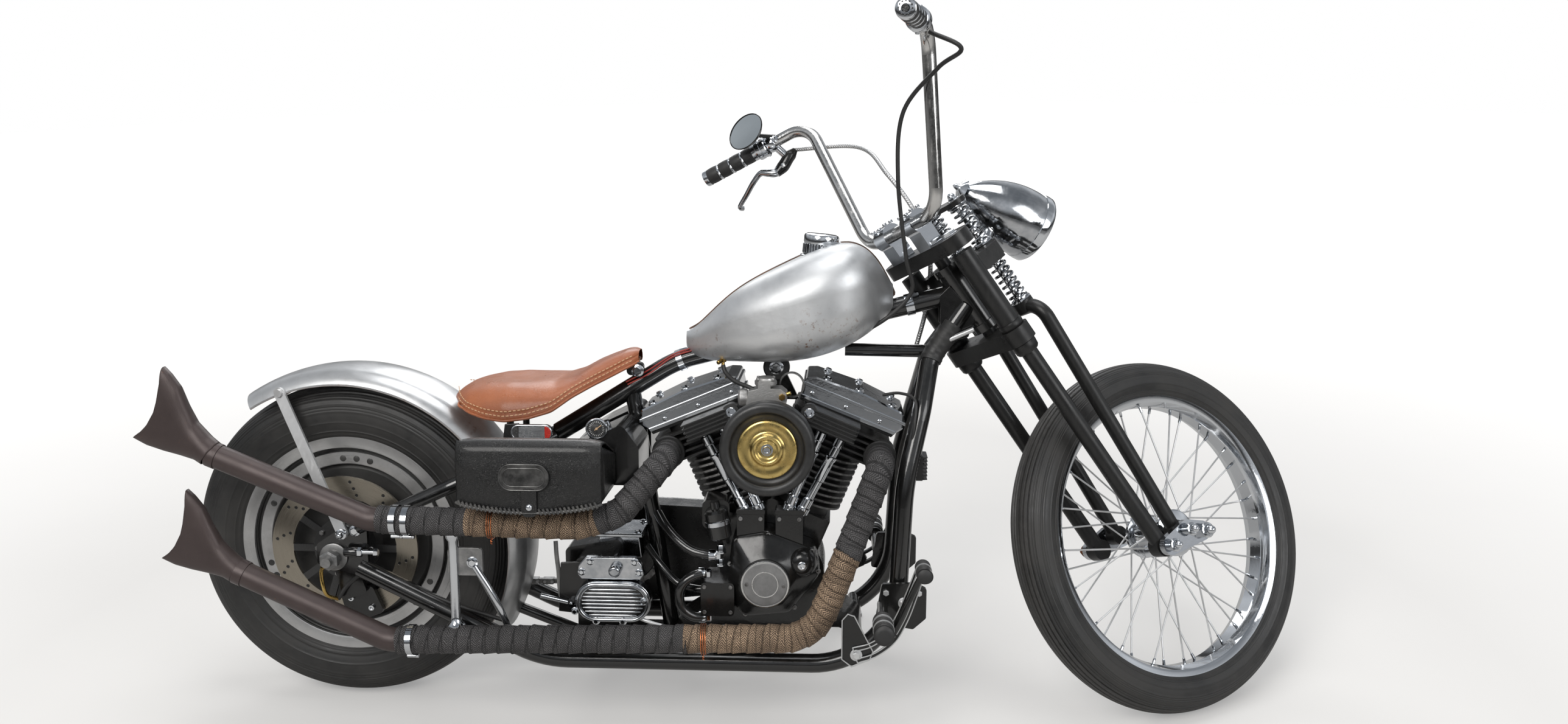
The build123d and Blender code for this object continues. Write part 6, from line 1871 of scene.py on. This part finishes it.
def fork_trim():
    """Nuts and bolts of the trees, perch and rockers, collars on the legs and clamp screws."""
    bright, rusty, dark = [], [], []
    for side in (-44, 44):
        bright += acorn(on_fork(793, 71, side), steer_up, 9.5)
    bright += bolt(on_fork(751, 0, 0), steer_up, 19, 14, 6, 23) + acorn(on_fork(764, 0, 0), steer_up, 11)
    for side in (-92, 92):
        bright += bolt(on_fork(750, -17, side), steer_up, 13, 8, 6, 17)
        dark.append(
            spun([(0, 16), (0, 20), (4, 23), (14, 24), (20, 24), (22, 21)], on_fork(486, -17, side),
                steer_up, 40))
        dark.append(
            spun([(0, 20.8), (0, 23), (3, 24), (9, 24), (12, 23), (12, 20.8)], on_fork(541, -17, side),
                steer_up, 40))
    for side in (-50, 50):
        for along in (-13, 13):
            for ahead in (-16, 16):
                bright.append(
                    socket_head(on_fork(803 + 21, -36 + ahead, side + along * 0.9), steer_up, 4.6, 6))
    for side in (-30, 30):
        bright += bolt(on_fork(673, 91, side), steer_ahead, 6.5, 5, 6, 9)
    for way in (-1, 1):
        for up, ahead in ((27, -17), (24, 36)):
            (rusty if way > 0 else bright).extend(
                acorn(on_fork(up, ahead, way * 132.5), (0, way, 0), 9.5))
        bright += acorn(front_axle + (0, way * 134, 0), (0, way, 0), 11)
    piece("fork_nuts", bright, chrome, "fork")
    piece("fork_rusty_nuts", rusty, rust, "fork")
    piece("fork_collars", dark, fork_black, "fork")


def bar_end(way):
    """A bar's end on the unturned fork, left for 1 and right for -1, and the way inwards along the bar."""
    end = on_fork(1112.6, -87, way * 422)
    return end, unit(on_fork(1081, 86, way * 239) - end)


def grip_pieces():
    """Ribbed grips, ringed housings and a pierced end ring whose holes are dark discs of painted shade, all
    turned about each bar end.
    """
    ribbed, shiny, hole_shade_dots = [], [], []
    for way in (-1, 1):
        end, inward = bar_end(way)
        along = np.linspace(5, 122, 235)
        ridge = 15.4 + 2.0 * np.sqrt(np.abs(np.sin(pi * (along - 5) / 29.25)))
        for spot in (34.25, 63.5, 92.75):
            shiny.append(
                spun([(spot - 2.6, 14), (spot - 2.6, 16.8), (spot - 1.2, 17.9), (spot + 1.2, 17.9),
                    (spot + 2.6, 16.8), (spot + 2.6, 14)], end, inward, 48))
        ribbed.append(spun([(5, 12)] + list(zip(along, ridge)) + [(122, 12)], end, inward, 40))
        shiny.append(
            spun([(-3, 0), (-3, 6), (-4, 7), (-4, 15), (-2.5, 17), (4, 17.6), (7, 17.4), (8, 15)], end,
                inward, 48))
        shiny.append(
            spun([(119, 15), (119, 17.6), (127, 17.8), (128, 18), (129, 21), (131, 21.6), (139, 21.6),
                (140, 20.6), (142, 20.6), (143, 21.6), (151, 21.6), (153, 20), (154, 13)], end, inward,
                48))
        _, first, second = square_to(inward)
        # Painted shade: the end ring's middle and its twelve holes are dark discs on its face.
        hole_shade_dots.append(spun([(-4.1, 0), (-4.1, 5.4), (-3.0, 6.2), (-3.0, 0)], end, inward, 24))
        for turn in np.linspace(0, 2 * pi, 12, endpoint=False):
            spot = end + 11.2 * (cos(turn) * first + sin(turn) * second)
            hole_shade_dots.append(spun([(-4.3, 0), (-4.3, 1.5), (-3.8, 1.7), (-3.8, 0)], spot, inward, 10))
        for turn in (0.6, 3.7):
            spot = end + inward * 147 + 20 * (cos(turn) * first + sin(turn) * second)
            shiny.append(socket_head(spot, cos(turn) * first + sin(turn) * second, 3.6, 4))
    piece("grip_rubber", ribbed, rubber, "fork", stands_for=("grips",), smooth=50)
    piece("grip_bands", shiny, chrome, "fork")
    piece("grip_end_hole_shades", hole_shade_dots, case_black, "fork", slot="rubber")


def lever_pieces():
    """The clutch lever: a clamp round the bar, then perch and hooked lever as tubes along curves."""
    end, inward = bar_end(1)
    ring = [(156, 13), (156, 17), (158, 18.5), (172, 18.5), (174, 17), (174, 13)]
    bright = [spun(ring, end, inward, 40), rod(end + inward * 165, on_fork(1047, 32, 292), 8.5, 20)]
    bright += bolt(end + inward * 165 + (0, -18, 4), (0, -1, 0.2), 5.5, 5, 6, 8.0)
    block = smooth_line(
        [on_fork(1053, 52, 285), on_fork(1047, 32, 292), on_fork(1039, 15, 300), on_fork(1034, -6, 306)],
        3.0)
    width = np.interp(np.linspace(0, 1, len(block)), (0, 0.2, 0.7, 1), (6.5, 12.5, 13.5, 9.0))
    piece("lever_perch", [tube(block, width, 24)], case_black, "fork", stands_for=("clutch_lever",))
    bends = [
        (1040, 6, 303), (1036, -6, 306), (1045.4, -16.4, 316), (1054, -25, 328), (1047.4, -39.2, 350),
        (1035, -52.6, 380), (1025.3, -65.8, 402), (1020, -69, 408), (1015.9, -62.6, 410)]
    blade = smooth_line([on_fork(*spot) for spot in bends], 3.0)
    width = np.interp(np.linspace(0, 1, len(blade)), (0, 0.15, 0.35, 0.9, 1), (9.0, 9.0, 6.2, 5.2, 5.8))
    piece("lever_blade", [tube(blade, width, 20)], box_chrome, "fork")
    piece("lever_clamp", bright + bolt(on_fork(1040, 6, 288), (0, -1, 0.2), 5.5, 5), chrome, "fork")


def mirror_pieces():
    """A round mirror: a domed black back and a slightly bulging glass, turned about the way it faces."""
    centre = on_fork(1141.4, -12.8, 300)
    facing = np.array([-0.56, -0.68, 0.47]) @ steer_turn
    shell = [
        (-15, 0), (-14.4, 12), (-11.5, 26), (-6, 37), (0, 42.4), (2, 43.4), (3.4, 42.8), (3.4, 41.4),
        (0, 41.2), (0, 0)]
    stem = smooth_line([on_fork(1089, 44, 283), on_fork(1104, 26, 290), centre - facing * 13], 3.0)
    piece(
        "mirror_shell", [spun(shell, centre, facing, 72), tube(stem, 4.4, 16)], case_black, "fork",
        slot="bright_chrome", stands_for=("mirror",))
    glass = [(0.4, 0), (0.4, 41.0), (2.0, 41.0), (2.5, 28), (2.8, 14), (2.9, 0)]
    piece("mirror_silvering", [spun(glass, centre, facing, 72)], silvered, "fork", smooth=60)


def headlamp_pieces():
    """The lamp's rim, its domed lens and bowl, a tail finial and the bracket's bolts."""
    tail = np.array([1224.0, 0.0, 1044.0])
    front = np.array([1392.0, 0.0, 972.0])
    way = unit(front - tail)
    rim = [(-16, 68), (-15, 69.6), (-4, 70.4), (3, 70), (6, 67.5), (6, 64), (3, 62)]
    finial = [(-13, 0), (-12, 3), (-8, 5.5), (-3, 6.5), (0, 9), (5, 17), (9, 22.5)]
    piece("headlamp_rim", [spun(rim, front, way, 96), spun(finial, tail, way, 40)], chrome, "fork")
    radius = np.linspace(64, 0, 24)
    dome = 4 + 5 * (1 - (radius / 64) ** 2)
    lens = [(2.5, 64)] + list(zip(dome, radius))
    inside = list(zip(dome[::-1] - 2.2, radius[::-1] * 0.985))
    piece("headlamp_lens", [spun(lens + inside, front, way, 96)], clear_glass, "fork", smooth=60)
    reflector = [(6.2 - 5.2 * (r / 63) ** 2 * 0.4 - 4.4, r) for r in np.linspace(63, 0, 16)]
    piece("headlamp_bowl", [spun(reflector, front, way, 96)], lamp_bowl, "fork", smooth=60)
    side = bolt(on_fork(700, 138, -13), to_right, 8, 6, 6, 11) + bolt(
        on_fork(700, 138, 13), (0, 1, 0), 8, 6, 6, 11)
    piece("headlamp_bracket_bolts", side, chrome, "fork")


def cable_pieces():
    """Clutch and throttle cables on smooth curves, held by the frame and by the bars."""
    lever = steered(on_fork(1056, 52, 292))
    clutch = smooth_line(
        [(1122, 46, 700), (1146, 52, 800), (1150, 56, 900), (1118, 66, 985), (1066, 104, 1056),
            (1010, 196, 1110), lever], 4.0)
    jacket = piece("clutch_cable", [tube(clutch, 4.6, 12)], braid, "blend")
    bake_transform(jacket)
    end, inward = bar_end(-1)
    leave = steered(end + inward * 146)
    throttle = smooth_line(
        [(952, -40, 742), (1040, -56, 772), (1108, -60, 836), (1096, -78, 908), (1078, -100, 1050),
            (1084, -120, 1168), (1138, -196, 1240), (1172, -262, 1268), leave + (18, 12, -18)], 4.0)
    jacket = piece("throttle_cable", [tube(throttle, 4.0, 12)], rubber, "blend")
    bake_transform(jacket)


def neck_trim():
    """Gussets, the stop bar, tube clamps, a ribbed pad, wires and a finned box in front of the engine."""
    corners = ((1184, 846), (1206, 822), (1234, 782), (1222, 748), (1184, 736), (1168, 772), (1166, 828))
    piece("neck_gussets", [plate(corners, -19, 5), plate(corners, 24, 5)], enamel, bevel=1.0)
    piece("steering_stop_bar", [rod((1170, -36, 738), (1231, -36, 765), 5.0, 16)], zinc)
    top = routed([on_fork(640, -8, 0), (655, 0, 694), (415, 0, 545)], [240], 4.0)
    straps = []
    for ahead, half in ((1108, 8), (663, 6)):
        at = int(np.argmin(np.abs(top[:, 0] - ahead)))
        straps.append(band(top, at, 21.2, half))
        straps += bolt(top[at] + (0, -15, 19), (1, 0, 0.3), 5.0, 16)
    piece("top_tube_clamps", straps, chrome)
    right = routed(
        [on_fork(612, -8, -12), on_fork(570, -122, -28), (1131, -88, 613), (1100, -124, 480),
            (1084, -140, 127)], [70, 120, 300], 3.0)
    pad = right[(right[:, 2] < 772) & (right[:, 2] > 700)]
    ridge = 20.6 + 0.9 * np.clip(np.sin(np.arange(len(pad)) * 1.3), 0, 1)
    piece("downtube_pad", [tube(pad, ridge, 28)], rubber)
    loom = smooth_line(
        [(1058, -64, 640), (1090, -76, 646), (1118, -98, 636), (1116, -116, 590), (1112, -110, 540),
            (1138, -92, 520)])
    piece("front_wire", [tube(loom, 3.0, 10)], rubber)
    fins = [plate(((1112, 484), (1134, 484), (1134, 532), (1112, 532)), -60, 52)]
    for step in range(7):
        low = 485 + step * 7.0
        fins.append(
            plate(((1132, low), (1143, low + 0.8), (1143, low + 2.6), (1132, low + 3.4)), -61, 50))
    piece("voltage_box", fins, case_black, bevel=0.8)
    wires = [
        smooth_line([(556, -22, 652), (600, -24, 676), (650, -24, 708), (690, -20, 722)]),
        smooth_line([(560, -27, 648), (604, -28, 671), (648, -28, 703), (692, -24, 718)])]
    piece("red_wires", [tube(wire, 1.5, 8) for wire in wires], red_wire)


# Rear end
def rear_trim():
    """Axle nuts and washers, chain adjusters, the hanger and its plate, brake line, hose and screws."""
    bright, dark, dull = [], [], []
    for way in (-1, 1):
        dull.append(
            spun([(0, 9), (0, 26), (1, 27), (4, 27), (5, 25), (5, 9)], (0, way * 133.5, 322), (0, way, 0),
                48))
        dull += bolt((0, way * 150, 322), (0, way, 0), 19.5, 15, 6)
        dark.append(
            spun([(0, 0), (0, 8), (3, 9.5), (24, 9.5), (27, 8), (27, 0)], (26, way * 146, 336), (1, 0, 0),
                28))
        bright += bolt((53, way * 146, 336), (1, 0, 0), 9.5, 8)
        bright.append(rod((58, way * 146, 336), (88, way * 146, 336), 4.6, 14))
        bright += bolt((84, way * 146, 336), (1, 0, 0), 8, 8)
        bright += bolt((43, way * 133, 374), (0, way, 0), 8, 6, 6, 11)
        bright += acorn(np.array([20.0, way * 145.0, 370.0]), (0, way, 0), 8.0)
    bright += right_screws(((14, 225), (54, 206), (34, 180)), -95, 6.0, 6)
    bright += bolt((292, -201, 338), to_right, 7.5, 6, 6, 11)
    post = [
        (0, 0), (0, 17), (4, 17), (10, 11), (20, 9), (150, 9), (168, 10), (176, 15), (186, 15), (186, 0)]
    bright.append(spun(post, (257, -202, 212), (0, 0, 1), 32))
    strap = smooth_line([(297, -205, 332), (322, -205, 290), (342, -200, 246), (352, -186, 204)])
    bright.append(tube(strap, 6.2, 16))
    piece("rear_bright_trim", bright, chrome)
    piece("rear_axle_nuts", dull, hanger_satin)
    piece("chain_adjusters", dark, enamel)
    sheet = plate(oval((278, 339), 33, 27, 9), -193, 8)
    arms = [
        rod((288, -190, 336), (360, -140, 148), 5.5, 16), rod((330, -209, 190), (330, -140, 158), 7, 16)]
    piece(
        "hanger_plate", [sheet] + arms, hanger_satin, slot="bright_chrome",
        stands_for=("exhaust_hanger",), bevel=1.5)
    line = smooth_line(
        [(-16, -150, 308), (-20, -150, 296), (-19, -149, 270), (-16, -140, 246), (-4, -118, 230)])
    piece(
        "brass_brake_line", [tube(line, 3.6, 12)] + bolt((-16, -150, 312), (0.1, 0, -1), 6.5, 9),
        brass_fitting)
    hose = smooth_line(
        [(-4, -118, 230), (20, -112, 262), (70, -122, 292), (140, -134, 268), (230, -136, 232),
            (330, -128, 196)])
    piece("brake_hose", [tube(hose, 4.2, 12)], rubber)


def foot_trim():
    """Ribbed pegs and pedals with silver rings, and slotted arms and heel plates with bright edges."""
    ribbed, rings, slots, edges = [], [], [], []
    for way in (-1, 1):
        start = np.array([1057.0, way * 262.0, 262.3])
        run = unit(np.array([0.0, way * 88.0, 5.7]))
        along = np.linspace(4, 84, 161)
        ridge = 17.6 + 0.9 * np.clip(1.5 * np.sin(2 * pi * along / 10) + 0.3, -1, 1)
        ribbed.append(spun([(4, 14)] + list(zip(along, ridge)) + [(84, 14)], start, run, 32))
        for spot in (24, 56):
            rings.append(
                spun([(spot - 2.5, 17), (spot - 2.5, 19.2), (spot + 2.5, 19.2), (spot + 2.5, 17)], start,
                    run, 40))
        ribbed.append(spun([(84, 0), (84, 17), (87, 18), (90, 16), (91, 10), (91, 0)], start, run, 36))
        pad = np.array([1126.1, way * 270.0, 368.1])
        way_pad = unit(np.array([0.0, way * 60.0, 2.0]))
        along = np.linspace(0, 58, 117)
        ridge = 13.4 + 0.8 * np.clip(1.5 * np.sin(2 * pi * along / 8) + 0.3, -1, 1)
        ribbed.append(spun([(0, 10)] + list(zip(along, ridge)) + [(58, 10)], pad, way_pad, 28))
        ribbed.append(spun([(58, 0), (58, 12.5), (61, 13), (63, 11), (63.5, 0)], pad, way_pad, 32))
        rings.append(spun([(26, 12), (26, 14.8), (30, 14.8), (30, 12)], pad, way_pad, 32))
        rings += bolt((1100, way * 168, 262), (0, way, 0), 8, 6, 6, 11) + bolt(
            (1066, way * 168, 282), (0, way, 0), 6, 5)
        rings += bolt((1128, way * 168, 282), (0, way, 0), 6, 5)
        bends = smooth_line(
            [(1008, 0, 198), (1040, 0, 209), (1070, 0, 233), (1092, 0, 272), (1109, 0, 318),
                (1125, 0, 366)], 3.0)
        line = bends[:, [0, 2]]
        ahead = np.gradient(line, axis=0)
        ahead = ahead / np.linalg.norm(ahead, axis=1)[:, None]
        across = np.column_stack([-ahead[:, 1], ahead[:, 0]])
        half = np.interp(np.linspace(0, 1, len(line)), (0, 0.25, 0.8, 1), (15.0, 13.0, 10.0, 9.0))
        across = across * half[:, None]
        for low, high in ((-1.0, -0.55), (0.55, 1.0)):
            slots.append(
                plate(np.vstack([line + across * low, (line + across * high)[::-1]]), way * 264 + 3.5, 7))
        count = len(line)
        for start in (0.0, 0.30, 0.52, 0.74, 0.94):
            part = slice(int(start * count), max(int(start * count) + 3, int((start + 0.06) * count)))
            rung = np.vstack([(line - across * 0.7)[part], (line + across * 0.7)[part][::-1]])
            slots.append(plate(rung, way * 264 + 3.4, 6.8))
        heel = np.array(
            [(1002, 176), (1034, 190), (1040, 206), (1006, 272), (994, 276), (984, 264), (984, 190)],
            float)
        slots.append(plate(heel, way * 262 + 2.5, 5))
        rounds = [
            np.vstack([line + across * share, (line - across * share)[::-1]]) for share in (1.0, 0.5)]
        edges += [hoop(outline, way * 268.0, 1.2, 6) for outline in [heel] + rounds]
        edges += bolt((1010, way * 266, 198), (0, way, 0), 7.0, 6, 6, 11)
    piece("peg_rubbers", ribbed, rubber, smooth=50)
    piece("peg_rings", rings, zinc)
    piece("pedal_arms", slots, case_black, bevel=1.2)
    piece("pedal_arm_edges", edges, zinc)


def chain_rollers():
    """Pins along the chain's two straight runs: short rods across it, about a pitch apart."""
    chain_pitch = 15.875
    pins = []
    for top in (1, -1):
        start = np.array([0.0, 92.0, 322 + top * 126.0])
        end = np.array([540.0, 92.0, 262 + top * 58.0])
        count = int(np.linalg.norm(end - start) / chain_pitch)
        for share in np.linspace(0.02, 0.98, count):
            spot = start + (end - start) * share
            pins.append(rod(spot + (0, 9.5, 0), spot - (0, 9.5, 0), 3.4, 10, 0.6))
    piece("chain_pins", pins, zinc)


spring_pieces()
fork_trim()
grip_pieces()
lever_pieces()
mirror_pieces()
headlamp_pieces()
cable_pieces()
neck_trim()
rear_trim()
foot_trim()
chain_rollers()


# Stage, light and camera
def stage():
    """A pale floor that the camera sees lit, and a world that is paler for the camera than for metal."""
    size = 14.0
    turn = np.linspace(0, 2 * pi, 96, endpoint=False)[:, None]
    reach = np.array([0.0, 0.2, 0.5, 1.0])[None] * size
    disc = np.stack([reach * np.cos(turn), reach * np.sin(turn), np.zeros((96, 4)) - 0.0005], axis=2)
    places, faces, _ = grid(disc, wrap_u=True)
    mesh = bpy.data.meshes.new("studio_floor")
    mesh.from_pydata(places.tolist(), [], faces.tolist())
    floor = bpy.data.objects.new("studio_floor", mesh)
    bpy.context.scene.collection.objects.link(floor)
    made, place = begin("pale_floor")
    cloud = noise(place, 1.5, 3)
    out = use(round_axis, Place=place)["Radius"]
    glow = blend_colour(between(out, 1.6, 5.0, 0.0, 1.0), grey(0.26), grey(1.0))
    seen = made.node_tree.nodes.new("ShaderNodeLightPath").outputs["Is Camera Ray"]
    settle(
        made, Base_Color=blend_colour(cloud, grey(0.50, sunny), grey(0.54, sunny)), Roughness=0.85,
        Specular_IOR_Level=0.1, Emission_Color=blend_colour(seen, grey(0.0), glow), Emission_Strength=1.0)
    mesh.materials.append(made)
    world = bpy.data.worlds.new("studio_world")
    bpy.context.scene.world = world
    world.use_nodes = True
    tree = world.node_tree
    tree.nodes.clear()
    path = tree.nodes.new("ShaderNodeLightPath").outputs
    around = tree.nodes.new("ShaderNodeTexCoord").outputs["Generated"]
    up = split(around)[2]
    low_sky = between(up, 0.05, 0.30, 0.0, 1.0)
    high_sky = between(up, 0.38, 0.95, 0.0, 1.0)
    clouds = between(noise(around, 1.7, 2), 0.35, 0.65, 0.35, 1.0)
    bright = blend_colour(clouds, grey(0.16, (0.94, 1.0, 1.08)), grey(0.82, (0.97, 1.0, 1.04)))
    sky = blend_colour(low_sky, grey(0.06), blend_colour(high_sky, bright, grey(0.22, (0.92, 1.0, 1.10))))
    shade = blend_colour(path["Is Glossy Ray"], grey(0.40, (0.98, 1.0, 1.03)), sky)
    clear = larger(path["Is Camera Ray"], path["Is Transmission Ray"])
    shade = blend_colour(clear, shade, grey(1.0))
    ground = add_node("ShaderNodeBackground", None, Color=shade, Strength=1.0)
    tree.links.new(ground.outputs[0], tree.nodes.new("ShaderNodeOutputWorld").inputs[0])


def lamp(name, place, target, size, power, tint=(1.0, 1.0, 1.0)):
    """A soft square lamp at a place, facing a target."""
    data = bpy.data.lights.new(name, "AREA")
    data.shape = "SQUARE"
    data.size = size
    data.energy = power
    data.color = tint
    made = bpy.data.objects.new(name, data)
    bpy.context.scene.collection.objects.link(made)
    way = np.asarray(place, float) - np.asarray(target, float)
    way, first, second = square_to(way)
    made.matrix_world = Matrix(
        np.vstack([np.column_stack([first, second, way, place]), (0, 0, 0, 1)]).tolist())


def camera():
    """The photograph's camera, from its fitted place and turn on the parked machine's ground."""
    turn = about_y(pitch) @ about_z(0.0466) @ about_x(-0.2935) @ about_y(0.0032)
    place = parked((0.0, 0.0, 0.0)) + about_y(pitch) @ np.array([0.9731, -2.2158, 1.3834])
    data = bpy.data.cameras.new("photo_camera")
    data.sensor_fit = "HORIZONTAL"
    data.sensor_width = 36.0
    data.lens = 28.172
    data.clip_end = 60.0
    made = bpy.data.objects.new("photo_camera", data)
    bpy.context.scene.collection.objects.link(made)
    columns = np.column_stack([turn[:, 0], turn[:, 2], -turn[:, 1], place])
    made.matrix_world = Matrix(np.vstack([columns, (0, 0, 0, 1)]).tolist())
    bpy.context.scene.camera = made


stage()
lamp("key_lamp", (-1.6, -3.4, 3.4), (0.0, 0.0, 0.5), 2.2, 120.0, (1.0, 0.98, 0.95))
lamp("fill_lamp", (3.0, -2.4, 2.2), (0.3, 0.0, 0.6), 2.0, 45.0)
lamp("top_lamp", (0.2, 0.4, 4.2), (0.0, 0.0, 0.5), 2.6, 70.0)
lamp("back_lamp", (-0.5, 3.4, 2.6), (0.0, 0.0, 0.6), 2.2, 50.0)
camera()
bpy.context.scene.view_settings.view_transform = "Standard"
